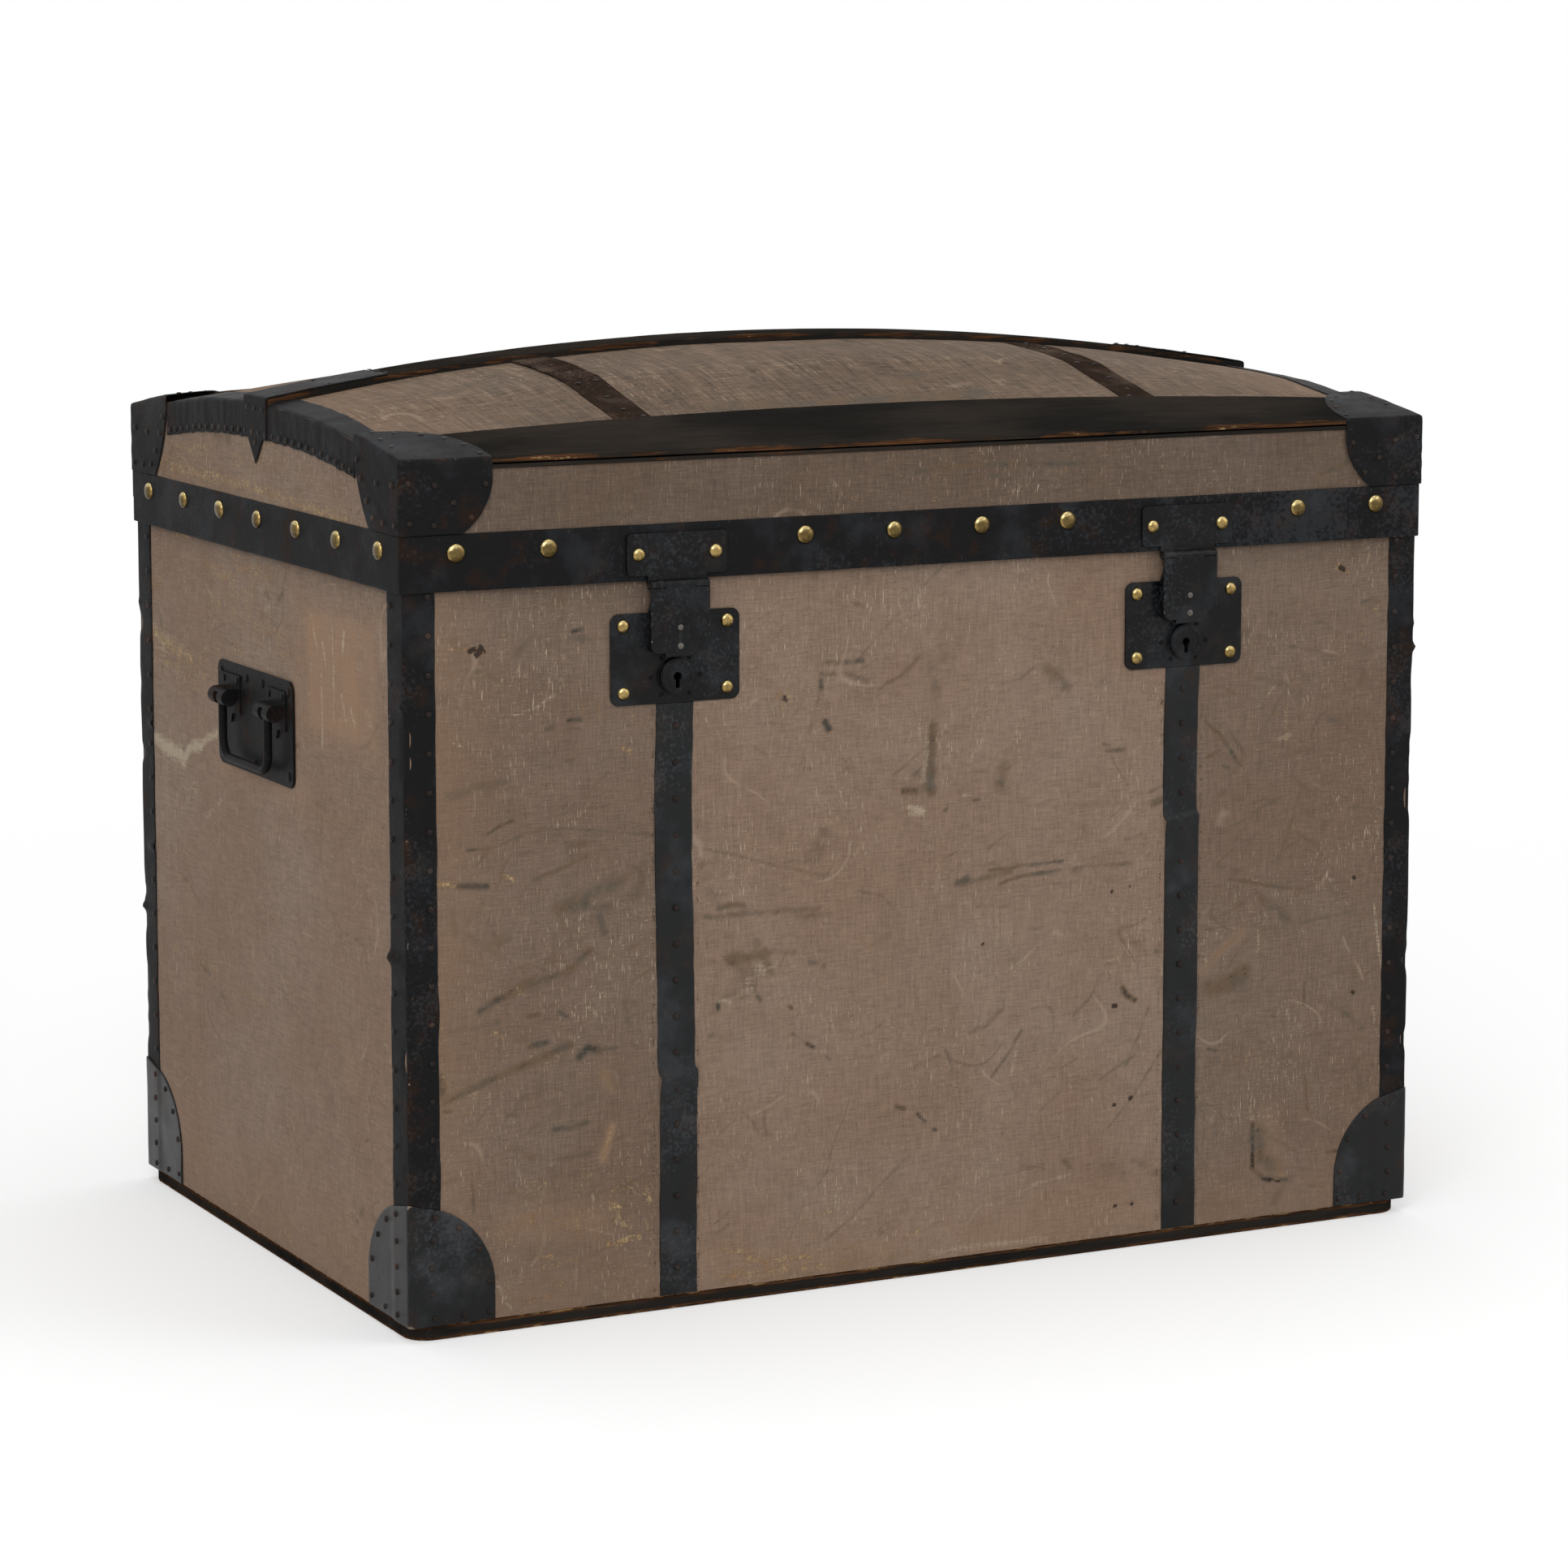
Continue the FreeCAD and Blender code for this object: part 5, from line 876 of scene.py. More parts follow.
FRONT_BARE = [
    (1, 3.6, -425, 355, -415, 352), (1, 3.2, -374, 356, -366, 354), (0.9, 2.8, -363, 268, -357, 262),
    (1, 3, -382, 237, -376, 232), (0.9, 3, -417, 533, -404, 533), (0.9, 5, -399, 531, -390, 529),
    (0.8, 2.4, -374, 542, -371, 541), (0.9, 3, -276, 448, -266, 446), (0.6, 3.6, -268, 442, -256, 430),
    (0.6, 5, -306, 480, -294, 479), (0.8, 2.4, -410, 176, -402, 175), (0.8, 2.4, -283, 154, -293, 126),
    (0.6, 8, -308, 122, -310, 112), (0.55, 6, -368, 112, -340, 112), (0.6, 7, -290, 105, -270, 102),
    (0.65, 9, -378, 80, -360, 82, -345, 92), (0.6, 8, -345, 79, -320, 80, -308, 76),
    (1.05, 4.4, -287, 92, -278, 87), (1.05, 5, -280, 78, -272, 73), (1.1, 4, -288, 59, -262, 62),
    (1, 4.6, -256, 96, -252, 90), (1, 3, -254, 72, -252, 66), (0.8, 3, -345, 56, -336, 55),
    (0.8, 2.4, -345, 46, -325, 50, -312, 50), (0.75, 5, -368, 21, -335, 24, -330, 32),
    (1, 3.6, -188, 42, -164, 39), (1, 4.4, -170, 33, -145, 28, -112, 29), (0.85, 7, -196, 20, -110, 20),
    (0.6, 6, -110, 18, -20, 20), (0.9, 2.6, -120, 60, -112, 59), (0.9, 2.6, -106, 61, -90, 63),
    (0.9, 2.8, -80, 31, -76, 31), (0.9, 2.8, -28, 33, -8, 39), (0.7, 4, -122, 48, -105, 47),
    (0.8, 4, -139, 482, -136, 472), (0.8, 4, -131, 483, -128, 474), (0.8, 2.4, -94, 449, -92, 447),
    (0.8, 2, -5, 478, -4, 470), (0.8, 2.4, 332, 461, 341, 461), (0.7, 2, 317, 437, 329, 436),
    (0.7, 2, 420, 522, 414, 516), (0.6, 3, 376, 524, 378, 512), (1, 4.6, 378, 554, 386, 552),
    (0.9, 3, 327, 43, 334, 44), (0.8, 2.4, 303, 60, 304, 56), (0.9, 2.4, 398, 497, 410, 498),
    (0.5, 6, 306, 252, 306, 238), (0.8, 2.4, -213, 30, -211, 20), (0.4, 30, -440, 320, -430, 180),
]
FRONT_TAN = [
    (0.3, 12, 318, 92, 326, 66, 330, 50), (0.35, 50, -440, 40, -440, 560), (0.3, 40, -430, 20, 430, 16),
    (0.5, 5, -291, 196, -284, 182), (0.7, 4, -284, 152, -292, 127), (0.4, 20, -370, 85, -300, 78),
    (0.5, 4, 252, 226, 268, 241, 290, 255),
]
# Dark holes in the canvas. The two large marks behind the keyholes are a painted shade, so that the keyholes
# look dark.
FRONT_HOLES_AND_SHADE = [
    (1, 2.8, -400, 531, -397, 532), (1, 3.2, -394, 528, -392, 530), (0.9, 2.2, -391, 534, -388, 530),
    (1, 2.6, 381, 554, 384, 552), (0.7, 4, -134, 478, -133, 477), (0.9, 2.2, 164, 300, 165, 300),
    (0.8, 1.8, 181, 303, 182, 303), (1, 2.4, 167, 205, 169, 205), (0.9, 2.2, 168, 122, 169, 122),
    (1, 2.4, 184, 126, 185, 127), (0.9, 2.2, 170, 37, 171, 37), (2, 9, LOCK_X, 506, LOCK_X, 494),
    (2, 9, -LOCK_X, 506, -LOCK_X, 494), (0.9, 2.2, 186, 37, 187, 37), (1, 1.4, 44, 267, 45, 267),
    (1, 2, 399, 293, 400, 292), (1, 2, 400, 195, 401, 194), (0.7, 3, 303, 66, 304, 56),
    (0.6, 2.6, 314, 44, 330, 40),
]
# Painted shade: dark lines beside the metal of the corners and straps, where the canvas meets their edges.
SHADE_BESIDE_METAL = [(0.42, 2.4, x, 16, x, 572)
                for x in (-430, LOCK_X - 19, LOCK_X + 19, -LOCK_X - 19, -LOCK_X + 19, 430)]
LEFT_RUBS = [
    (0.5, 9, 200, 83, 190, 75), (0.5, 4, -245, 82, -240, 70), (0.6, 4, -160, 215, -138, 208),
    (0.4, 2.4, -146, 178, -118, 174), (0.55, 1.7, 126, 380, 121, 350, 133, 315, 165, 298, 200, 297),
    (0.45, 1.7, 190, 386, 165, 367, 145, 346), (0.5, 1.7, 210, 412, 222, 397), (0.7, 2, 250, 393, 256, 393),
    (0.4, 16, -70, 90, -55, 62), (0.35, 16, 110, 180, 140, 150), (0.5, 2, -90, 500, -60, 495),
]
LEFT_CHALK = [
    (0.62, 14, -278, 490, -240, 480, -180, 474), (0.45, 12, -278, 462, -200, 458),
    (1.15, 7, -271, 393, -249, 393), (1.2, 9, -245, 389, -203, 388),
    (1.1, 7, -197, 382, -176, 397, -152, 401), (0.95, 6, -152, 401, -130, 411, -112, 417),
    (0.5, 16, -188, 352, -168, 362), (0.55, 5, -148, 340, -120, 353, -92, 370),
    (0.8, 1.7, 18, 548, 17, 522, 15, 500), (0.5, 1.8, 184, 402, 190, 372, 193, 352),
    (0.9, 2.6, 110, 540, 116, 525, 121, 517), (0.9, 3.2, 132, 522, 138, 506),
    (0.85, 2.2, 152, 541, 154, 515, 154, 480, 153, 464), (0.9, 2.4, 128, 496, 129, 470, 129, 438),
    (1, 3.4, 177, 534, 173, 519), (0.85, 2.4, 170, 485, 179, 462), (0.8, 3, 189, 476, 196, 464),
    (0.6, 8, 222, 478, 226, 470), (0.6, 3.6, 200, 512, 213, 510), (0.6, 2.6, 105, 503, 109, 494),
    (0.7, 2, 100, 478, 100, 470), (0.5, 3, 62, 88, 72, 90), (0.6, 2, 180, 420, 181, 414),
]
LEFT_BARE = [
    (1, 10, -275, 486, -225, 478, -170, 472), (0.75, 9, -278, 468, -200, 462),
    (0.75, 10, -270, 520, -240, 534), (0.75, 10, -150, 476, -100, 490), (0.8, 11, -130, 560, -60, 547),
    (0.8, 12, -60, 562, 20, 562), (0.7, 22, -60, 525, 60, 512), (0.9, 6, 38, 500, 62, 508),
    (0.85, 6, -72, 492, -52, 492), (0.65, 16, -200, 450, -110, 470), (0.7, 16, -110, 530, -20, 545),
    (1.1, 3.6, -200, 574, -184, 577, -170, 576), (1.1, 3, -63, 570, -50, 571),
    (0.85, 5, -220, 218, -170, 217, -120, 215), (0.75, 6, -97, 205, -60, 210, 0, 208),
    (0.8, 3, 128, 207, 170, 207), (0.5, 10, -92, 190, -75, 184), (0.55, 9, 110, 386, 250, 384),
    (0.85, 7, 28, 30, 45, 20), (1, 3.6, -232, 15, -215, 17), (0.7, 4, 110, 13, 200, 14),
    (0.7, 4, -95, 20, -60, 32), (0.9, 2.6, -67, 46, -60, 45), (0.5, 12, -276, 380, -272, 200),
    (0.5, 14, -275, 158, -262, 155), (0.9, 3.4, 246, 551, 256, 554), (0.5, 9, 255, 430, 262, 340),
    (0.8, 3, -25, 391, -18, 390), (0.9, 3, 164, 168, 166, 164),
]
LEFT_TAN = [
    (0.3, 60, -270, 40, 270, 30), (0.45, 16, -90, 396, 80, 396), (0.35, 14, 176, 196, 182, 186),
]
# The place where a label was: strength, softness, lower and higher corner of rectangles.
LEFT_LABEL = [
    (0.85, 12, 99, 450, 206, 546), (0.6, 14, 196, 452, 240, 546), (0.4, 22, 72, 444, 246, 550),
]
LID_FRONT_RUBS = [
    (0.8, 3.2, -19, 651, 32, 654, 136, 651), (0.6, 3, 25, 643, 77, 646), (0.8, 3.4, 357, 632, 384, 641),
    (0.55, 3, -203, 644, -175, 620),
]
LID_LEFT_BARE = [
    (0.92, 10, -233, 632, -60, 631, 60, 628, 190, 622), (1, 6, 80, 626, 215, 618),
    (1, 5, -120, 634, -60, 632, 40, 628), (0.75, 12, -200, 646, -120, 652), (0.75, 11, -60, 650, 60, 652),
    (0.8, 7, -30, 668, 40, 668), (0.55, 16, 60, 655, 180, 640),
]
# On the dome the places are along and across the trunk.
DOME_RUBS = [
    (0.7, 14, -150, -214, -30, -220, 90, -208), (0.6, 10, 250, -210, 330, -200),
    (0.6, 16, -60, -80, 40, -60), (0.5, 12, 120, -160, 200, -150), (0.6, 12, -330, -200, -280, -212),
    (0.5, 14, -380, -120, -300, -90),
]


def left_by_label(u, v, labels):
    """Rectangles with soft edges: the strength rises with the distance inside the nearest border."""
    result = np.zeros_like(u)
    for strength, soft, low_u, low_v, high_u, high_v in labels:
        inside = np.minimum(np.minimum(u - low_u, high_u - u), np.minimum(v - low_v, high_v - v))
        result = np.maximum(result, strength * np.clip(0.5 + inside / soft, 0, 1))
    return result


def gathered(u, v, marks):
    """The strongest of several marks at each point."""
    result = np.zeros_like(u)
    for strength, width, *path in marks:
        result = np.maximum(result, strength * stroke(u, v, list(zip(path[::2], path[1::2])), width))
    return result


def canvas_marks(spot, seed, rubs=(), chalk=(), bare=(), tan=(), holes_and_shade=(), labels=(), count=60, lean=0.3,
                 tone=0.0):
    """Marks of a canvas panel: those listed and others by chance."""
    u, v = spot
    window = ((u.min(), u.max()), (v.min(), v.max()))
    grime = scatter(u, v, seed, count, window, 42.0, 2.0, 0.45, lean) * 0.8
    grime = np.maximum(grime, scatter(u, v, seed + 1, count // 3, window, 26.0, 6.0, 0.7, lean) * 0.8)
    pale = scatter(u, v, seed + 2, count // 4, window, 34.0, 1.6, 0.9)
    # The canvas also grows darker towards a panel's lower border, laid on with the dark rubs.
    edge = np.exp(-(v - v.min()) / 26.0) * 0.35
    return {"grime": np.maximum(np.maximum(grime, edge), gathered(u, v, rubs)),
            "chalk": np.maximum(pale * 0.8, gathered(u, v, chalk)),
            "bare": np.maximum(gathered(u, v, bare),
                               scatter(u, v, seed + 3, 9, window, 40.0, 7.0, 1.2) * 0.6),
            "tan": np.maximum(gathered(u, v, tan), left_by_label(u, v, labels)),
            "hole_and_shade": gathered(u, v, holes_and_shade), "tone": np.broadcast_to(tone, u.shape)}


# ---------------------------------------------------------------- sheet metal along a path in plan

def rounded_path(corners, radius, step, edge=0.8):
    """Points, outward normals and lengths along a path in plan that turns round its inner corners on arcs.
    The path runs with the trunk on its left, so its normals point to the right of the way."""
    corners = np.array(corners, float)
    ways = np.diff(corners, axis=0)
    ways /= np.linalg.norm(ways, axis=1)[:, None]
    rights = ways[:, ::-1] * (1, -1)
    turn = np.linspace(0, 1, 7)[1:-1, None] * math.pi / 2
    places, normals, start = [], [], corners[0]
    for index, (way, right) in enumerate(zip(ways, rights)):
        last = index == len(ways) - 1
        stop = corners[index + 1] - way * (0 if last else radius)
        run = stations(0.0, np.linalg.norm(stop - start), step)
        places.append(start + run[:, None] * way)
        normals.append(np.repeat(right[None], len(run), 0))
        if not last:
            spoke = right * np.cos(turn) + rights[index + 1] * np.sin(turn)
            places.append(stop + (spoke - right) * radius)
            normals.append(spoke)
            start = corners[index + 1] + ways[index + 1] * radius
    places, normals = np.concatenate(places), np.concatenate(normals)
    ends = edge * np.array([[0.0], [0.12], [0.45], [1.0]])
    places = np.concatenate([places[0] + ends * ways[0], places[1:-1], (places[-1] - ends * ways[-1])[::-1]])
    normals = np.concatenate([np.repeat(normals[:1], 4, 0), normals[1:-1], np.repeat(normals[-1:], 4, 0)])
    length = np.concatenate([[0], np.cumsum(np.linalg.norm(np.diff(places, axis=0), axis=1))])
    return places, normals, length


def path_sheet(path, low, high, step, thick, out, round_off=0.8):
    """Sheet metal that follows a path and stands from low to high, which may change along it. out(s, z) lifts
    its back off the path. Gives the shape and the grids of length and height."""
    places, normals, length = path
    low, high = (np.broadcast_to(level, length.shape)[:, None] for level in (low, high))
    tallest = np.max(high - low)
    z = low + stations(0.0, 1.0, step / tallest, round_off / tallest) * (high - low)
    s = np.broadcast_to(length[:, None], z.shape)
    lift = out(s, z)
    full = thick * bullnose(np.minimum(off_ends(s), np.minimum(z - low, high - z)), round_off)
    grids = [np.concatenate([places[:, None] + normals[:, None] * amount[:, :, None], z[:, :, None]], 2)
             for amount in (lift + full, lift)]
    return shell(*grids), s, z


def strip_dents(s, z, corner, seed):
    """Knocks in a corner strip's nose: bells that push it in at chance heights, and gentle waves."""
    chance = np.random.default_rng(seed)
    push = np.zeros_like(s)
    for height in chance.uniform(130, 560, 9):
        push += chance.uniform(0.5, 2.4) * bell(s, z, (corner + chance.normal(0, 1.5), height),
                                                (5.5, chance.uniform(4, 14)))
    crease = sum(2.6 * bell(s, z, (corner * side, height), (12, 3)) for height, side in
                 zip((298.0, *chance.uniform(200, 520, 3)), (0.15, 0.0, 1.4, 1.0)))
    return np.maximum(crease - push + waves(s, z, seed + 1, 70.0, 0.3), -1.2)


def tacks(name, places, out, body, sizes, seed, flat=1.0, signs=(1, 1)):
    """A row of tacks as one piece, placed for the front left and mirrored by the signs. Driven well home,
    they stand up less."""
    flip = np.array([*signs, 1])
    radius, high = sizes.tack_radius * (0.7 + 0.3 * flat) / MM, sizes.tack_high * flat / MM
    shape, crown, _ = heads(np.array(places) * flip, np.array(out) * flip, radius, high, "tack", 10, seed)
    add_piece(name, shape, body, "black_tin:tack", marks={"worn": crown * 0.3}, crease=60)


def spaced(low, high, pitch):
    """Even places from low to high, about a pitch apart."""
    return np.linspace(low, high, max(2, int(round((high - low) / pitch)) + 1))


def two_faces(front, side):
    """Places on the front and on the left end together, and the way out of each."""
    return front + side, [ON_FRONT] * len(front) + [ON_LEFT] * len(side)


# ---------------------------------------------------------------- folded sheet over an edge of the lid

def fold(out_x, out_y, lift, planes, radius, thick):
    """A sheet run over edges, from places given as distances out on both axes and height above the dome.
    Each place is held back inside a box a radius smaller than the planes and moved out again by the radius,
    so flat faces stay and edges become arcs. Gives the outer and the inner grid for the front left."""
    grids = []
    away = np.stack(np.broadcast_arrays(out_x, out_y, lift), -1)
    held = np.minimum(away, np.stack(np.broadcast_arrays(*planes), -1) - radius)
    way = away - held
    way = way / np.maximum(np.linalg.norm(way, axis=-1, keepdims=True), 1e-9)
    for reach in (radius, radius - thick):
        place = held + way * reach
        x, y = -place[..., 0], -place[..., 1]
        grids.append(np.stack([x, y, dome(x, y) + place[..., 2]], -1))
    return grids


def border_distance(points):
    """Distance of every point of a grid from the nearest border, measured along its rows and columns."""
    near = []
    for grid in (points, points.swapaxes(0, 1)):
        steps = np.linalg.norm(np.diff(grid, axis=0), axis=-1)
        near.append(off_ends(np.concatenate([np.zeros_like(steps[:1]), np.cumsum(steps, 0)])))
    return np.minimum(near[0], near[1].T)


def folded_sheet(out_x, out_y, lift, planes, radius, thick):
    """A folded sheet with its border rounded off."""
    outer, back = fold(out_x, out_y, lift, planes, radius, thick)
    return shell(back + (outer - back) * bullnose(border_distance(outer), 0.8)[..., None], back)


def arc_through(along, start, end, radius, side):
    """Height at places along a circle's arc through two points: the circle's upper part for a side of one,
    its lower part for minus one."""
    (u0, v0), (u1, v1) = start, end
    half = math.hypot(u1 - u0, v1 - v0) / 2
    back = math.sqrt(radius ** 2 - half ** 2) / (2 * half)
    middle_u, middle_v = (u0 + u1) / 2 - (v1 - v0) * back, (v0 + v1) / 2 + (u1 - u0) * back
    along = np.clip(along, min(u0, u1), max(u0, u1))
    return middle_v + side * np.sqrt(np.maximum(radius ** 2 - (along - middle_u) ** 2, 0))


# ---------------------------------------------------------------- pieces

def canvas_body(sizes):
    """Sheets of painted canvas round the boards of the body. Those of the front meet under its straps."""
    step, swell = sizes.cloth_step / MM, sizes.swell / MM
    # The front's holes mark also carries painted shade: behind the keyholes and in lines beside the metal.
    front = dict(rubs=FRONT_RUBS, chalk=FRONT_CHALK, bare=FRONT_BARE, tan=FRONT_TAN,
                 holes_and_shade=FRONT_HOLES_AND_SHADE + SHADE_BESIDE_METAL)
    left = dict(rubs=LEFT_RUBS, chalk=LEFT_CHALK, bare=LEFT_BARE, tan=LEFT_TAN, labels=LEFT_LABEL, count=24)
    wide, deep = COVER_X - CORNER_TRIM, COVER_Y - CORNER_TRIM
    for name, ends, seed, marks, coarse, tone in (
            ("front_left", (-wide, LOCK_X), 3, front, 0.63, 1.25),
            ("front", (LOCK_X, -LOCK_X), 5, front, 0.8, 0.15),
            ("front_right", (-LOCK_X, wide), 7, front, 0.63, 1.25),
            ("left", (-deep, deep), 11, left, 0.86, 0.15),
            ("right", (-deep, deep), 19, {}, 1.5, 0.15), ("back", (-wide, wide), 27, {}, 1.8, 0.15)):
        side = name.split("_")[0]
        shape, spot = wall_panel(side, COVER_X if side in ENDS else COVER_Y, ends, FLOOR_Z,
                                 lambda u: np.full_like(u, SEAM_Z), step * coarse, seed, swell)
        # Painted shade under the band: the canvas darkens over about 9 mm below the band's lower edge.
        tone = tone + 1.3 * np.exp(-np.maximum(BAND_LOW[2] - spot[1], 0) / 9)
        add_piece(f"canvas_{name}", shape, "trunk", "painted_canvas", ("body_canvas",),
                  canvas_marks(spot, seed, tone=tone, **marks))


def canvas_lid(sizes):
    """The lid's canvas: four low walls and the dome."""
    step, swell = sizes.cloth_step / MM, sizes.swell / MM
    for side, seed, marks in (("front", 35, dict(rubs=LID_FRONT_RUBS)),
                              ("left", 43, dict(bare=LID_LEFT_BARE)), ("right", 51, {}), ("back", 59, {})):
        ended = side in ENDS
        reach, half_wide = (WALL_X, WALL_Y) if ended else (WALL_Y, WALL_X)
        top = (lambda u: dome(WALL_X, u, -0.1)) if ended else (lambda u: dome(u, WALL_Y, -0.1))
        shape, spot = wall_panel(side, reach, (-half_wide, half_wide), SEAM_Z, top, step, seed, swell * 0.5)
        add_piece(f"lid_canvas_{side}", shape, "lid", "painted_canvas", ("lid_canvas",),
                  canvas_marks(spot, seed, count=12, tone=0.3 if ended else 2.0, **marks))
    x, y = stations(-WALL_X, WALL_X, step * 1.6), stations(-WALL_Y, WALL_Y, step * 1.3)
    calm = np.clip(from_edge(x, y) / 30, 0, 1)
    x, y = np.meshgrid(x, y, indexing="ij")
    lift = np.clip(waves(x, y, 67, 120.0, swell) * calm, -0.55, 0.6)
    outer, inner = [np.stack([x, y, dome(x, y, lift - down)], -1) for down in (0.0, CLOTH)]
    shoulder = np.exp(-((np.abs(y) - KNEE + 8) / 26) ** 2) * 0.36
    marks = canvas_marks(np.stack([x, y]), 67, rubs=DOME_RUBS, count=110)
    marks["chalk"] = np.maximum(marks["chalk"], shoulder)
    marks["tan"] = np.maximum(marks["tan"], np.clip((np.abs(x) - 330) / 120, 0, 1) * 0.35)
    add_piece("dome_cloth", shell(outer, inner), "lid", "painted_canvas:dome", ("lid_canvas",),
              {name: twice(values) for name, values in marks.items()})


def corner_strips(sizes):
    """Angle strips up the four corners, knocked in along their noses, with a row of tacks in each leaf."""
    inner_x, inner_y = STRIP_LOW[:2] + STRIP_SHEET
    path = rounded_path([(inner_x, STRIP_HIGH[1]), (inner_x, inner_y), (STRIP_HIGH[0], inner_y)], 1.4, 2.6)
    nose = STRIP_HIGH[1] - inner_y
    for index, (corner, signs) in enumerate(CORNERS.items()):
        shape, s, z = path_sheet(path, STRIP_LOW[2], STRIP_HIGH[2], 2.4, STRIP_SHEET,
                                 lambda s, z: strip_dents(s, z, nose, 70 + index))
        ragged = waves(z, s * 0, 90 + index, 36.0, 0.5)
        shape[0][:, 0] += twice(ragged * np.clip((s - nose - 14) / 10, 0, 1))
        shape[0][:, 1] += twice(ragged * np.clip((nose - 14 - s) / 10, 0, 1))
        rubbed = np.clip(0.5 + 0.5 * waves(z, z * 0, 95 + index, 55.0, 1.0) + 0.2 * (z > 380), 0.2, 0.9)
        worn = twice(rubbed * np.exp(-((s - nose) / 1.8) ** 2) + 0.25 * np.exp(-off_ends(s) / 2.0))
        add_piece(f"strip_{corner}", mirrored(shape, *signs), "trunk", "black_tin",
                  (f"corner_strip_{corner}",), {"worn": worn})
    pitch = sizes.tack_pitch / MM
    front = [(STRIP_HIGH[0] - 6, STRIP_LOW[1] - 0.1, height) for height in spaced(128, 574, pitch)]
    side = [(STRIP_LOW[0] - 0.1, STRIP_HIGH[1] - 6, height) for height in spaced(120, 566, pitch)]
    places, out = two_faces(front, side)
    for corner, signs in CORNERS.items():
        tacks(f"strip_tacks_{corner}", places, out, "trunk", sizes, 5, signs=signs)


# Way that a strap faces, its middle and the height of its buckle, and its dents.
STRAPS = {"front_left": (-1, -229, 189, [(-226, 330)]), "front_right": (-1, 229, 357, [(231, 130)]),
          "back_left": (1, -229, 300, []), "back_right": (1, 229, 220, [])}


def buckled(across, z, level):
    """A buckle: steep above a slanted crease, dying out slowly below it."""
    below = z - level - 0.12 * across
    return np.where(below < 0, np.exp(np.minimum(below, 0) / 9), np.exp(-np.maximum(below, 0) / 1.5))


def straps(sizes):
    """Flat straps down the front and back, each bent a little sideways and dented."""
    spots, out = [], []
    for index, (name, (facing, centre, level, dents)) in enumerate(STRAPS.items()):
        top = STRAP_HIGH[2] if facing < 0 else BACK_STRAP_TOP
        ends = [(centre + across, facing * COVER_Y) for across in (-STRAP_HALF, STRAP_HALF)]

        def lift(s, z):
            across = s - s[-1, 0] / 2
            uneven = waves(s, z, 100 + index, 60.0, 0.45) + waves(s, z, 105 + index, 26.0, 0.3)
            knock = sum(1.2 * bell(centre + across, z, dent, (12, 9)) for dent in dents)
            return np.clip(uneven + 2.6 * buckled(across, z, level) - knock, -0.6, 3.6)

        path = rounded_path(ends[::-facing], 1.0, 3.0)
        shape, s, z = path_sheet(path, FLOOR_Z, top, 2.0, STRIP_SHEET, lift)
        across = s - s[-1, 0] / 2
        calm = np.clip((top - z) / 60, 0, 1)
        sway = (waves(z, z * 0, 110 + index, 260.0, 0.9) - 1.2 * np.tanh((z - level) / 5)) * calm
        sway = sway + buckled(across, z, level) * np.where(across < 0, 1.8, 0.8)
        ragged = waves(z, s * 0.05, 120 + index, 30.0, 0.3)
        shape[0][:, 0] += twice(sway + ragged * np.clip(1 - off_ends(s) / 6, 0, 1))
        stands_for = f"front_strap_{name[6:]}" if facing < 0 else "back_straps"
        add_piece(f"strap_{name}", shape, "trunk", "black_tin:strap", (stands_for,),
                  {"worn": twice(0.5 * np.exp(-off_ends(s) / 1.6))})
        heights = spaced(34, top - 18, sizes.tack_pitch / MM)
        spots += [(centre, facing * (COVER_Y + STRIP_SHEET + 0.2), height) for height in heights]
        out += [(0, facing, 0)] * len(heights)
    tacks("strap_tacks", spots, out, "trunk", sizes, 6)


# Distance of a guard's tacks from its nose, and their height.
GUARD_TACKS_FRONT = [(22, 97), (20, 79), (19, 58), (19, 37), (21, 18), (42, 87), (59, 69), (67, 42), (67, 18),
                     (46, 18)]
GUARD_TACKS_SIDE = [(26, 97), (25, 76), (25, 56), (25, 36), (25, 18), (48, 88), (66, 72), (78, 50), (80, 20),
                    (52, 18)]


def over_strip(reach):
    """Share of the strip's thickness by which a guard stands out at a distance from its nose."""
    return np.clip((40 - reach) / 9, 0, 1)


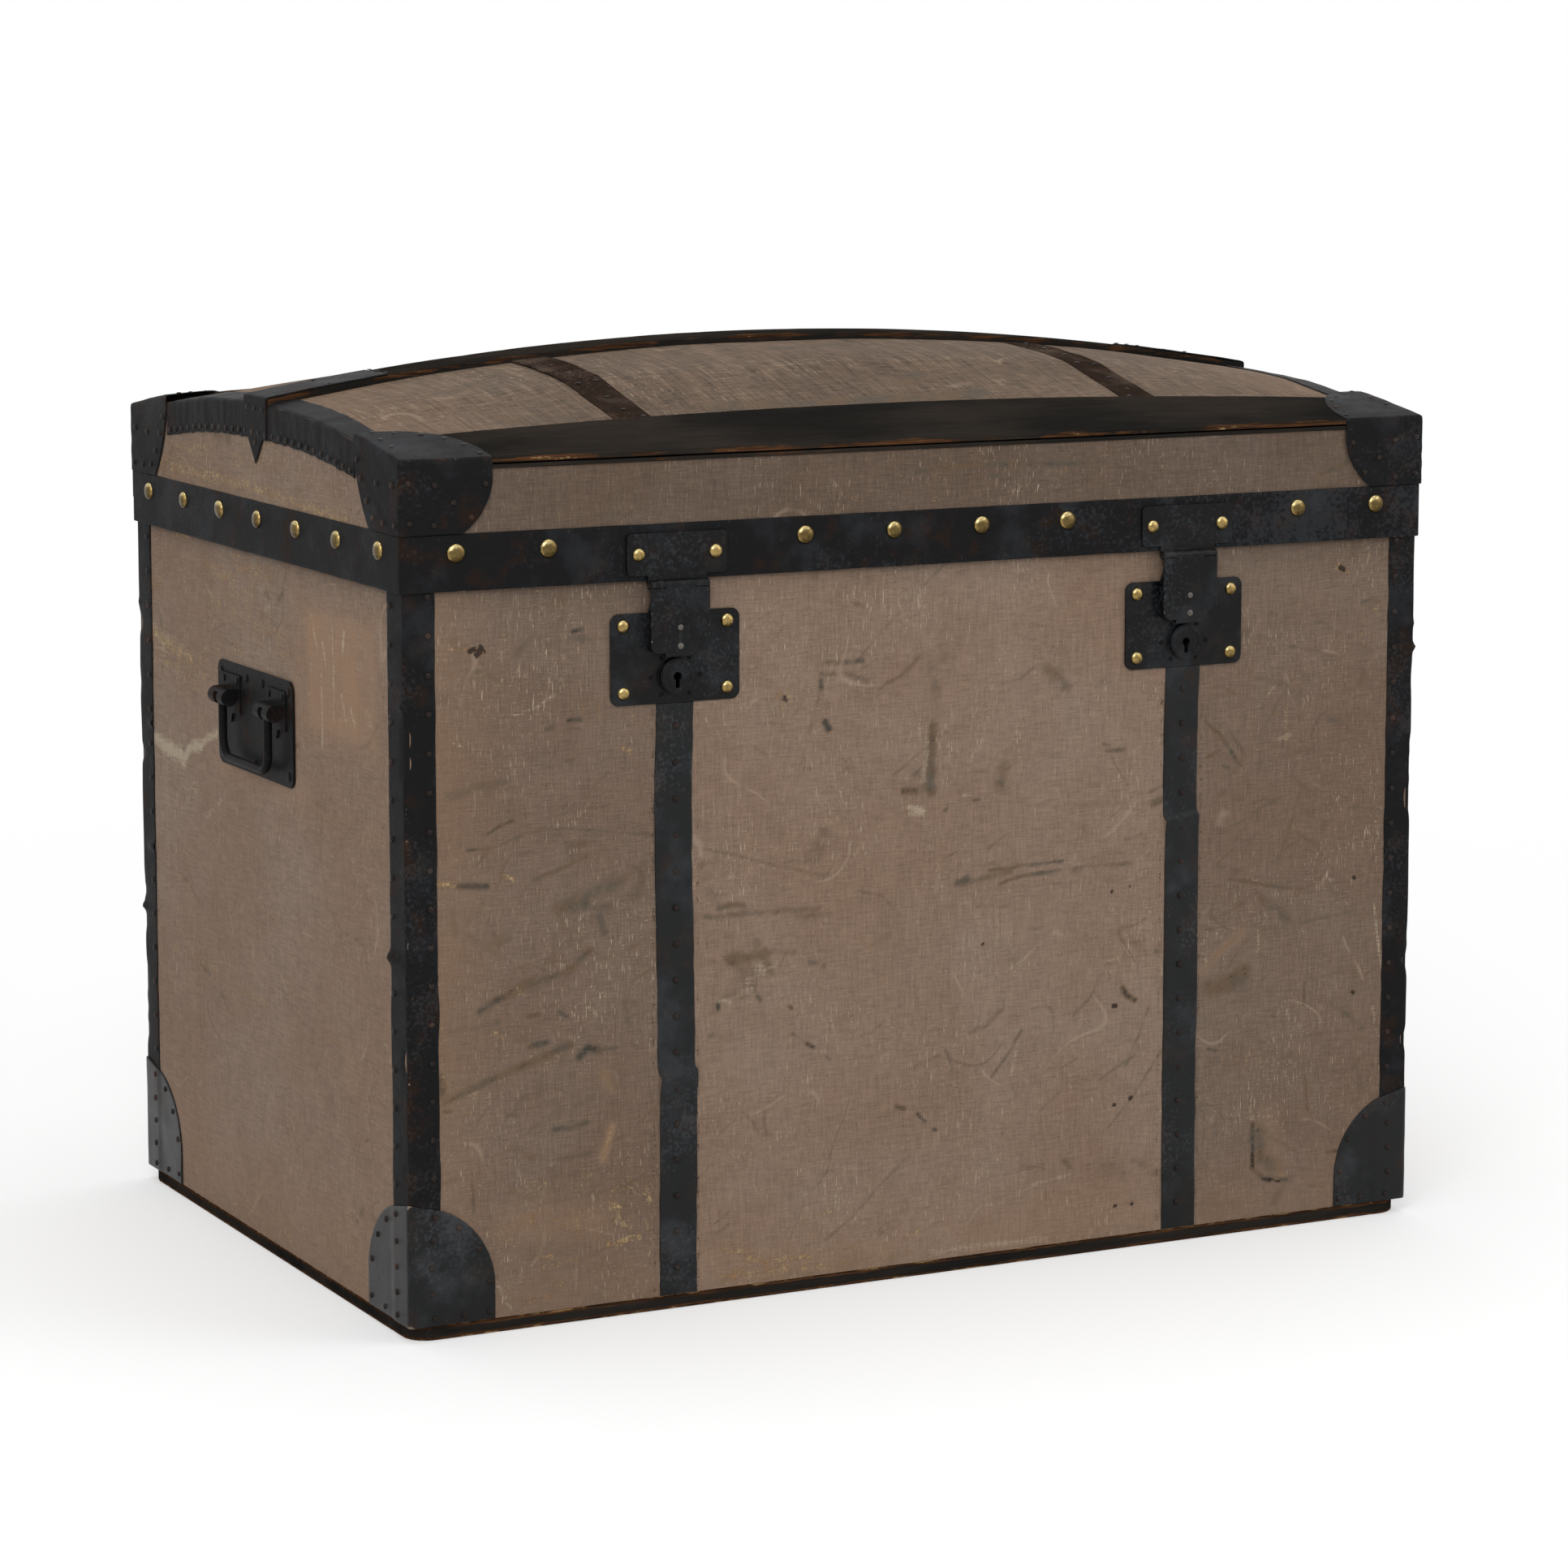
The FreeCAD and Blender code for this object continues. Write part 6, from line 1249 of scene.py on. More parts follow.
def corner_guards(sizes):
    """Bottom guards: one sheet bent round each corner over the strip, with a shouldered head."""
    inner_x, inner_y = GUARD_LOW[:2] + GUARD_SHEET + STRIP_SHEET
    head, foot, shoulder = GUARD_HIGH[2], GUARD_LOW[2], 7.0
    path = rounded_path([(inner_x, GUARD_HIGH[1]), (inner_x, inner_y), (GUARD_HIGH[0], inner_y)], 2.0, 2.0)
    reaches = (path[0] - GUARD_LOW[:2]).T
    tops = []
    for reach, leaf, inner in zip(reaches, GUARD_HIGH - GUARD_LOW, STRIP_HIGH - GUARD_LOW):
        arc = arc_through(reach, (leaf, foot + 28), (inner, head - shoulder), 68.0, 1)
        tops.append(np.where(reach < inner, head - shoulder * reach / inner, arc))
    top = np.where(reaches[0] > reaches[1], *tops)
    over = over_strip(reaches.max(0))[:, None] ** 1.5 * STRIP_SHEET
    nose = path[2][np.argmin(reaches.sum(0))]
    for index, (corner, signs) in enumerate(CORNERS.items()):
        shape, s, z = path_sheet(path, foot, top, 2.2, GUARD_SHEET,
                                 lambda s, z: over + waves(s, z, 130 + index, 40.0, 0.16))
        worn = twice(0.8 * np.exp(-((s - nose) / 2.5) ** 2) + 0.6 * np.exp(-(z - foot) / 2.0)
                     + 0.45 * np.exp(-(top[:, None] - z) / 1.5))
        add_piece(f"guard_{corner}", mirrored(shape, *signs), "trunk", "black_tin:strap",
                  (f"corner_guard_{corner}",), {"worn": worn})
    front = [(GUARD_LOW[0] + reach, -COVER_Y - GUARD_SHEET - STRIP_SHEET * over_strip(reach), height)
             for reach, height in GUARD_TACKS_FRONT]
    side = [(-COVER_X - GUARD_SHEET - STRIP_SHEET * over_strip(reach), GUARD_LOW[1] + reach, height)
            for reach, height in GUARD_TACKS_SIDE]
    places, out = two_faces(front, side)
    for corner, signs in CORNERS.items():
        tacks(f"guard_tacks_{corner}", places, out, "trunk", sizes, 7, signs=signs)


def lid_band():
    """The band: one strip round the front and both ends of the lid and another across the back."""
    high = BAND_HIGH[2]
    for index, (name, corners, foot, nodes) in enumerate((
            ("round", [(-WALL_X, WALL_Y), (-WALL_X, -WALL_Y), (WALL_X, -WALL_Y), (WALL_X, WALL_Y)],
             BAND_LOW[2], ("lid_band_front", "lid_band_ends")),
            ("back", [(BAND_HIGH[0], WALL_Y), (BAND_LOW[0], WALL_Y)], SEAM_Z, ("lid_band_back",)))):
        path = rounded_path(corners, 2.2, 4.0)
        ragged = waves(path[2], 0 * path[2], 140 + index, 55.0, 0.22)

        def lift(s, z):
            return np.clip(waves(s, z, 150 + index, 85.0, 0.2), -0.15, 0.3) * np.clip(off_ends(s) / 20, 0, 1)

        shape, s, z = path_sheet(path, foot + ragged, high + ragged * 0.6, 2.6, BAND_SHEET, lift)
        worn = twice(0.9 * np.exp(-(z - foot) / 2.6) + 0.35 * np.exp(-(high - z) / 1.4)
                     + 0.15 * (waves(s, z, 160, 40.0, 1.0) > 0.6))
        dust = twice(0.07 * np.clip((shape[0][:s.size, 0] - 120) / 160, 0, 1))
        add_piece(f"band_{name}", shape, "lid", "black_tin", nodes, {"worn": worn, "dust": dust})


def brass():
    """Brass studs along the band and the nails of the locks and hasps."""
    front = [(x, BAND_LOW[1] + 0.1, STUD_Z) for x in sorted(way * x for way in (-1, 1) for x in STUDS_FRONT)]
    ends = [(way * (BAND_HIGH[0] - 0.1), y, STUD_Z)
            for way in (-1, 1) for y in np.linspace(-STUD_END, STUD_END, 7)]
    out = [ON_FRONT] * len(front) + [ON_LEFT] * 7 + [(1, 0, 0)] * 7
    shape, crown, below = heads(front + ends, out, STUD_RADIUS, STUD_TALL, "stud", 20, 8)
    add_piece("band_studs", shape, "lid", "brass_head", ("brass_studs",),
              {"crown": crown, "below": below}, 60)
    for name, node, body, wall, level, beside, rises in (
            ("hasp_plate_nails", "hasp_nails", "lid", BAND_LOW[1] - HASP_PLATE, HASP_PLATE_Z, HASP_NAIL_X,
             (0,)),
            ("lock_plate_nails", "lock_nails", "trunk", LOCK_FACE, LOCK_MIDDLE_Z, LOCK_NAIL_X,
             (-LOCK_NAIL_RISE, LOCK_NAIL_RISE))):
        spots = [(lock + way * beside, wall + 0.1, level + rise)
                 for lock in (LOCK_X, -LOCK_X) for way in (-1, 1) for rise in rises]
        shape, crown, below = heads(spots, ON_FRONT, NAIL_RADIUS, NAIL_TALL, "stud", 18, 9)
        add_piece(name, shape, body, "brass_head", (node,), {"crown": crown * 0.1, "below": below}, 60)


def slat_bar(low_y, high_y, lip, seed, round_off, end_x):
    """A slat along the trunk: its section at every place follows the dome on top and below. The lip hangs in
    front of the dome's edge. Rounded edges are chipped by chance. Gives shape and wear."""
    x = stations(-end_x, end_x, 4.0)
    turn = np.linspace(0, 1, 5) * math.pi / 2
    nick = round_off * (1 + 0.5 * np.clip(waves(x, 0 * x, seed, 26.0, 1.6), 0, 1.6))
    along = np.clip(0.78 + 0.4 * waves(x, 0 * x, seed + 2, 48.0, 1.0), 0.35, 1.05)
    low_in, high_in, wide = low_y + round_off, high_y - round_off, high_y - low_y
    behind_lip = -WALL_Y + 0.05
    rows = []

    def top(y):
        return dome(x, y, SLAT_THICK) + 0.12 * waves(x, y + 0 * x, seed + 1, 80.0, 1.0)

    if lip:
        eave = top(low_in) - round_off
        rows += [(behind_lip, SLAT_LOW[2], 0.3), (low_y + 0.5, SLAT_LOW[2], 0.5),
                 (low_y, SLAT_LOW[2] + 0.6, 0.5), (low_y, SLAT_LOW[2] + 4.5, 0.3),
                 (low_y, eave - 3.8, 0.5), (low_y, eave - 2.2, along)]
    else:
        rows.append((low_y, dome(x, low_y, SEAT), 0.3))
    rows += [(low_y + nick * (1 - math.cos(angle)), top(low_in) - nick * (1 - math.sin(angle)),
              along * (1.0 - 0.5 * math.sin(angle))) for angle in turn]
    rows += [(y, top(y), 0.7 * math.exp(-share * 26) + 0.35 * math.exp(-(1 - share) * 30))
             for share in np.linspace(0.03, 0.97, 14) for y in [low_in + (wide - 2 * round_off) * share]]
    rows += [(high_y - nick * (1 - math.cos(angle)), top(high_in) - nick * (1 - math.sin(angle)), 0.5)
             for angle in turn[::-1]]
    rows += [(y, dome(x, y, SEAT), wear)
             for y, wear in ((high_y, 0.3), (low_y + wide * 0.66, 0.0), (low_y + wide * 0.33, 0.0))]
    if lip:
        rows.append((behind_lip, dome(x, -WALL_Y, SEAT), 0.0))
    rows = [np.broadcast_arrays(x, *row) for row in rows]
    worn = np.stack([row[3] for row in rows], 1).ravel()
    return bar(np.stack([np.stack(row[:3], -1) for row in rows], 1)), worn


def slats():
    """Three wooden slats along the lid."""
    for name, lip, way, low, high, seed in (("front", True, 1, SLAT_LOW[1], SLAT_HIGH[1], 170),
                                            ("back", True, -1, SLAT_LOW[1], SLAT_HIGH[1], 180),
                                            ("ridge", False, 1, -RIDGE_HALF, RIDGE_HALF, 190)):
        shape, worn = slat_bar(low, high, lip, seed, 1.6, WALL_X)
        add_piece(f"wood_{name}", mirrored(shape, way, way), "lid", "painted_slat", (f"slat_{name}",),
                  {"worn": worn}, 30)


# Places of a cap's tacks: along and up its front, back and up its end, and in plan on its top.
CAP_TACKS_FRONT = [(-450.6, 660), (-429.5, 658), (-388, 657.4), (-414, 644.4), (-399.7, 632.6),
                   (-449.7, 629.8), (-430.2, 627.7)]
CAP_TACKS_SIDE = [(-293, 628), (-270, 628), (-250, 630), (-238, 642), (-226, 658), (-219, 672), (-258, 657),
                  (-288, 658)]
CAP_TACKS_TOP = [(-388, -292), (-392, -270), (-400, -252), (-413, -238), (-430, -226), (-444, -216),
                 (-447, -240), (-447, -262)]


def cap_lift(out_y):
    """How far the top of a cap stands off the dome: on the slat in front and on the canvas behind it."""
    return CAP_SHEET + (ON_SLAT - CAP_SHEET) * np.clip((out_y + SLAT_BACK + 2.0) / 2.0, 0, 1)


def lid_caps(sizes):
    """Caps over the four corners of the lid: columns rise from the foot of the front or end face and run on
    over the top to an arc."""
    foot = BAND_HIGH[2]
    runs = np.concatenate([stations(0, CAP_FRONT, 1.8, 0.8)[:-4], [CAP_FRONT - 0.4, CAP_FRONT],
                           CAP_FRONT + stations(0, CAP_DEEP, 1.8, 0.8)[4:]])
    ahead, aside = np.clip(CAP_FRONT - runs, 0, None), np.clip(runs - CAP_FRONT, 0, None)
    front_arc = arc_through(ahead, (CAP_FOOT, foot), (CAP_FRONT, EDGE_Z - 13.0), 55.0, -1)
    side_arc = arc_through(aside, (CAP_HEEL, foot), (CAP_DEEP, EDGE_Z + 6.5), 110.0, -1)
    low = np.where(ahead > CAP_FOOT, front_arc, np.where(aside > CAP_HEEL, side_arc, foot))
    top_ahead, top_aside = rounded_outline(runs / runs[-1], CAP_FRONT, CAP_DEEP)
    corner_x, corner_y = -CAP_LOW[:2]
    eave_x, eave_y = (corner_x - ahead)[:, None], (corner_y - aside)[:, None]
    up, over = stations(0, 1, 0.05, 0.014), stations(0, 1, 0.026, 0.008)[1:]
    wall_lift = (low[:, None] - dome(eave_x, eave_y)) * (1 - up) + cap_lift(eave_y) * up
    top_x = eave_x + (corner_x - top_ahead[:, None] - eave_x) * over
    top_y = eave_y + (corner_y - top_aside[:, None] - eave_y) * over
    out_x = np.hstack([np.repeat(eave_x, len(up), 1), top_x])
    out_y = np.hstack([np.repeat(eave_y, len(up), 1), top_y])
    lift = np.hstack([wall_lift, cap_lift(top_y)])
    planes = (corner_x, corner_y, cap_lift(out_y))
    middle = np.array([-corner_x + 30, -corner_y + 30, EDGE_Z - 20])
    gaps = np.sort(np.stack([corner_x - out_x, corner_y - out_y, planes[2] - lift]), axis=0)
    worn = twice(0.85 * np.exp(-(gaps[1] / 2.6) ** 2))
    for index, (corner, signs) in enumerate(CORNERS.items()):
        push = np.clip(waves(out_x, out_y + lift * 2, 200 + index, 34.0, 0.3), -0.25, 0.35)
        shape = folded_sheet(out_x, out_y, lift, planes, 2.6, CAP_SHEET)
        away = shape[0] - middle
        shape[0][:] += away / np.linalg.norm(away, axis=1)[:, None] * twice(push)[:, None]
        add_piece(f"cap_{corner}", mirrored(shape, *signs), "lid", "black_tin",
                  (f"lid_caps_{corner.split('_')[0]}",), {"worn": worn}, 50)
    places, out = two_faces([(x, CAP_LOW[1] - 0.1, z) for x, z in CAP_TACKS_FRONT],
                            [(CAP_LOW[0] - 0.1, y, z) for y, z in CAP_TACKS_SIDE])
    on_top = [(x, y, float(dome(x, y, cap_lift(-y) + 0.1))) for x, y in CAP_TACKS_TOP]
    for corner, signs in CORNERS.items():
        tacks(f"cap_tacks_{corner}", places, out, "lid", sizes, 10, signs=signs)
        tacks(f"cap_top_tacks_{corner}", on_top, (0, -0.2, 1), "lid", sizes, 11, 0.4, signs)


def rounded_outline(share, wide, deep):
    """Upper outline of a cap: a circle's arc in plan from the front edge to the end edge, as distances in
    from the front corner along both."""
    radius = (wide + deep) / 2
    half = math.hypot(wide, deep) / 2
    back = math.sqrt(radius ** 2 - half ** 2) / (2 * half)
    middle_x, middle_y = wide / 2 - deep * back, deep / 2 - wide * back
    first, last = math.atan2(-middle_y, wide - middle_x), math.atan2(deep - middle_y, -middle_x)
    turn = first + (last - first) * share
    ahead, aside = middle_x + radius * np.cos(turn), middle_y + radius * np.sin(turn)
    return np.maximum(ahead, 3.0), np.maximum(aside, 3.0)


def end_rims(sizes):
    """Crimped rims over both ends of the dome, with a row of tacks."""
    half_run, wall = -(CAP_LOW[1] + CAP_DEEP), WALL_X + STRIP_SHEET
    down, back = stations(0, 1, 0.04, 0.03), stations(0, 1, 0.05, 0.03)[1:]
    lift = np.concatenate([-RIM_DROP + (RIM_DROP + STRIP_SHEET) * down, np.full(len(back), STRIP_SHEET)])
    y, lift = np.meshgrid(stations(-half_run, half_run, 1.5, 0.8), lift, indexing="ij")
    out_x = np.broadcast_to(np.concatenate([np.full(len(down), wall), wall - RIM_TOP * back]), y.shape)
    above_foot = lift + RIM_DROP
    places = [(-wall - 0.2, across, float(dome(WALL_X, across, -RIM_DROP + 4.5)))
              for across in spaced(-half_run + 8, half_run - 8, RIM_PITCH)]
    for index, (side, way) in enumerate(SIDES):
        shape = folded_sheet(out_x, -y, lift, (wall, FAR, STRIP_SHEET), 3.2, STRIP_SHEET)
        beat = 2 * math.pi * (y + 2.0 * waves(y, 0 * y, 220 + index, 80.0, 1.0)) / RIM_PITCH
        pleat = 0.4 * np.clip(np.cos(beat), -0.3, 1) * np.exp(-above_foot / 13)
        pleat = pleat + np.clip(0.5 * waves(y, lift * 0.4, 225 + index, 34.0, 1.0), -0.1, 0.5)
        flare = 0.35 * waves(y, lift, 230 + index, 22.0, 1.0) * np.exp(-above_foot / 6)
        shape[0][:, 0] -= twice(np.clip(pleat + flare, -0.1, 0.7) * (lift < 0.5))
        sag = 0.25 * waves(y, 0 * y, 235 + index, 40.0, 1.0) * (lift > -1)
        shape[0][:, 2] += twice(sag + 0.6 * waves(y, 0 * y, 240 + index, 18.0, 1.0) * np.exp(-above_foot / 3))
        worn = 0.6 * np.exp(-((lift - 1) / 1.6) ** 2) * (out_x > WALL_X - 3) + 0.5 * np.exp(-above_foot / 1.2)
        add_piece(f"rim_{side}", mirrored(shape, way), "lid", "black_tin", (f"end_rim_{side}",),
                  {"worn": twice(worn)}, 50)
        tacks(f"rim_tacks_{side}", places, ON_LEFT, "lid", sizes, 12, signs=(way, 1))


# Places of a clip's tacks: across and down its drop, and along and across its top.
CLIP_TACKS_DROP = [(-17, -10), (0, -10), (17, -10), (0, -38)]
CLIP_TACKS_TOP = [(-352, -17), (-352, 0), (-352, 17), (-400, -18), (-400, 18)]


def ridge_clips(sizes):
    """Clips over both ends of the ridge slat, with a pointed drop."""
    reach, tongue, point = -CLIP_X, 105.0, 20.0
    foot = EDGE_Z + RISE_END + CROWN_END - RIM_DROP
    shoulder = [STRAP_HALF - 0.2, STRAP_HALF + 0.2]
    outside = stations(shoulder[1], RIDGE_HALF, 1.6, 0.8)[3:]
    y = np.concatenate([-outside[::-1], [-shoulder[1], -shoulder[0]],
                        stations(-shoulder[0], shoulder[0], 1.6)[1:-1], shoulder, outside])
    aside = np.abs(y)
    low = np.where(aside < STRAP_HALF, foot - point + point * aside / STRAP_HALF, foot)
    up, over = stations(0, 1, 0.04, 0.02), stations(0, 1, 0.03, 0.008)[1:]
    lift = np.hstack([(low - dome(reach, aside))[:, None] * (1 - up) + ON_SLAT * up,
                      np.full((len(y), len(over)), ON_SLAT)])
    out_x = np.concatenate([np.full(len(up), reach), reach - tongue * over])
    out_x, out_y = np.broadcast_arrays(out_x[None, :], -y[:, None])
    worn = twice(0.8 * np.exp(-((out_x - reach) / 2.5) ** 2) * np.exp(-((lift - ON_SLAT) / 3) ** 2))
    drop = [(CLIP_X - 0.1, across, float(dome(reach, across, down + 7.0)))
            for across, down in CLIP_TACKS_DROP]
    on_top = [(along, across, float(dome(along, across, ON_SLAT + 0.1))) for along, across in CLIP_TACKS_TOP]
    for index, (side, way) in enumerate(SIDES):
        shape = folded_sheet(out_x, out_y, lift, (reach, FAR, ON_SLAT), 2.4, CAP_SHEET)
        shape[0][:, 2] += twice(0.2 * waves(out_x, out_y, 250 + index, 40.0, 1.0) * (out_x < reach - 4))
        add_piece(f"clip_{side}", mirrored(shape, way), "lid", "black_tin", ("ridge_clips",),
                  {"worn": worn}, 50)
        tacks(f"clip_tacks_{side}", drop, ON_LEFT, "lid", sizes, 13, 0.6, (way, 1))
        tacks(f"clip_top_tacks_{side}", on_top, (0, 0, 1), "lid", sizes, 16, 0.4, (way, 1))


# Places of a top strap's tacks: across it from its middle and along it.
TOP_STRAP_TACKS = [(-9, -228), (9, -224), (0, -206), (0, -176), (-8, -140), (8, -138), (0, -104), (0, -70),
                   (0, -38)]


def straps_over_top(sizes):
    """Straps over the dome from the slats to the ridge, each a bent flat strip; one is pieced with a lap."""
    u, y = stations(-STRAP_HALF, STRAP_HALF, 2.6, 0.8), stations(-SLAT_BACK, -RIDGE_HALF, 2.4, 0.8)
    u, y = np.meshgrid(u, y, indexing="ij")
    off_edge = STRAP_HALF - np.abs(u)
    full = STRIP_SHEET * bullnose(np.minimum(off_edge, np.minimum(y - y.min(), y.max() - y)), 0.8)
    places = [(LOCK_X + a, b, float(dome(LOCK_X + a, b, STRIP_SHEET + 0.3))) for a, b in TOP_STRAP_TACKS]
    for index, (corner, signs) in enumerate(CORNERS.items()):
        lapped = index == 0
        sway = waves(y, 0 * y, 260 + index, 160.0, 0.8)
        sway = sway + 0.35 * waves(y, u, 270 + index, 24.0, 1.0) * (off_edge < 2)
        lift = np.clip(waves(u, y, 280 + index, 46.0, 0.35), -0.1, 0.5)
        lift = lift + 0.9 * np.clip((y + 130) / 1.2, 0, 1) * lapped
        x = LOCK_X + u + sway
        outer, inner = [np.stack([x, y, dome(x, y, SEAT + lift + amount)], -1) for amount in (full, 0 * full)]
        worn = 0.6 * np.exp(-off_edge / 1.6) + 0.5 * bell(u, y, (0, -126), (20, 3)) * lapped
        add_piece(f"top_strap_{corner}", mirrored(shell(outer, inner), *signs), "lid", "brown_strap",
                  ("top_straps",), {"worn": twice(worn)})
        tacks(f"top_strap_tacks_{corner}", places, (0, -0.1, 1), "lid", sizes, 14, 0.5, signs)


def boxed_flap(y, z):
    """Depth of a hasp's point: below its bow the flap's face stands level with its knuckle, the tab a little
    lower, and what lies behind the face stays."""
    if z > BOW_Z or y > LOCK_FACE - 1.5:
        return y
    return FLAP_FACE if z > TAB_Z else y - TAB_OUT


def hems(side, x):
    """Rolled hems down both edges of a flap, painted bright as a highlight: a small circle carried up each
    edge, on a slow wave.
    """
    z = stations(TAB_Z + 6, BOW_Z, 2.0)[:, None]
    turn = np.linspace(0, 2 * math.pi, 8, endpoint=False)[None, :]
    wave = waves(z, 0 * z, 300, 30.0, 0.1)
    rods = [bar(np.stack(np.broadcast_arrays(x + edge * HEM_X + wave + HEM_RADIUS * np.cos(turn),
                                             FLAP_FACE + 0.2 + HEM_RADIUS * np.sin(turn), z), -1))
            for edge in (-1, 1)]
    shape = join(*rods)
    # A worn mark of 0.9 makes the lacquer paint the hems mostly bright: a painted highlight along the flap's
    # edges.
    add_piece(f"hasp_highlight_hems_{side}", shape, f"hasp_{side}", "lock_japan",
              marks={"worn": np.full(len(shape[0]), 0.9)}, crease=60)


def lock_rings():
    """A raised ring round each keyhole: a low arch across the ring's width, turned once round."""
    turn = np.linspace(0, 2 * math.pi, 48, endpoint=False)[:, None]
    across = np.linspace(-1, 1, 7)[None, :]
    reach = RING_RADIUS + across * RING_HALF
    rise = 0.7 * np.sqrt(np.maximum(1 - across ** 2, 0)) + 0 * turn
    face = box_mm("lock_plate_left")[0][1] + 0.2
    for side, x in LOCKS:
        outer, inner = [np.stack([x + reach * np.cos(turn), face - high, RING_Z + reach * np.sin(turn)], -1)
                        for high in (rise + 0.2, 0 * rise)]
        # A worn mark of 0.75 all round makes the lacquer paint sparse bright glints on the ring: a painted
        # highlight.
        add_piece(f"lock_ring_{side}", shell(outer, inner, True), "trunk", "lock_japan",
                  marks={"worn": np.full(2 * rise.size, 0.75)}, crease=60)


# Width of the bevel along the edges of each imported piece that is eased.
EASED = {"lock_plate_left": 0.6, "lock_plate_right": 0.6, "hasp_left": 0.8, "hasp_right": 0.8,
         "hasp_plates": 0.7, "handle_plates": 0.7, "handle_loops": 0.4, "hinge_lower_leaves": 0.5,
         "hinge_upper_leaves": 0.4, "base_batten_front": 2.0, "base_batten_back": 2.0,
         "base_battens_side": 2.0}
# Heights of a hasp's rivets; turns, half width, half height and level of the oval of a lock plate's; places
# of a handle plate's from its middle; and how far a bail's leg lies in from the end of the loops.
HASP_RIVETS = (540.5, 526.0)
OVAL_TURNS, OVAL_WIDE, OVAL_HIGH, OVAL_Z = (0, 55, 125, 180, 235, 305), 21.0, 17.0, 501.8
PLATE_RIVETS = [(-76, -34), (-76, 34), (76, -34), (76, 34), (-18, 34), (18, 34), (0, -34)]
LEG_IN = 20.5


def fittings():
    """Locks, hasps, handles, hinges and battens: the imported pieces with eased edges, with their rivets."""
    for node, width in EASED.items():
        softened(node, width, "painted_slat:base" if node.startswith("base") else None,
                 boxed_flap if node in ("hasp_left", "hasp_right") else None)
    lock_rings()
    for side, x in LOCKS:
        spots = [(x, FLAP_FACE, level) for level in HASP_RIVETS]
        rivets(f"hasp_rivets_{side}", spots, ON_FRONT, f"hasp_{side}", 2.4, 0.45, "lock_steel")
        hems(side, x)
        spots = [(x + OVAL_WIDE * math.cos(turn), LOCK_FACE, OVAL_Z + OVAL_HIGH * math.sin(turn))
                 for turn in np.radians(OVAL_TURNS)]
        rivets(f"lock_rivets_{side}", spots, ON_FRONT, "trunk", 1.9, 0.7)
    plate, loops = box_mm("handle_plates"), box_mm("handle_loops")
    _, middle_y, middle_z = (plate[0] + plate[1]) / 2
    legs = (loops[0][1] + LEG_IN, loops[1][1] - LEG_IN)
    for side, way in (("left", -1), ("right", 1)):
        face = way * (COVER_X + 2.0)
        spots = [(face, middle_y + across, middle_z + up) for across, up in PLATE_RIVETS]
        rivets(f"plate_rivets_{side}", spots, (way, 0, 0), "trunk", 3.8, 1.0)
        spots = [(face + way * 1.5, leg + across * 15, loops[1][2] - 5) for leg in legs for across in (-1, 1)]
        rivets(f"loop_rivets_{side}", spots, (way, 0, 0), "trunk", 3.2, 0.9)


def rivets(name, places, out, body, radius, high, finish_name="handle_iron"):
    """Domed rivets as one piece."""
    shape, crown, _ = heads(places, out, radius, high, "rivet", 14, 15)
    add_piece(name, shape, body, finish_name, marks={"worn": crown * 0.5}, crease=60)


def plain_nodes():
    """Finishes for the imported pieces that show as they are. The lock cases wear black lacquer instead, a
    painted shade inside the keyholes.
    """
    for part in frame["record"]["subparts"]:
        materials = frame["nodes"][part["node"]].data.materials
        materials.clear()
        # Painted shade: the lock cases are black so that the keyholes look dark.
        materials.append(finish("lock_japan" if part["node"] == "lock_cases" else part["material_slot"]))


# ---------------------------------------------------------------- stage

AMBIENT = 0.66


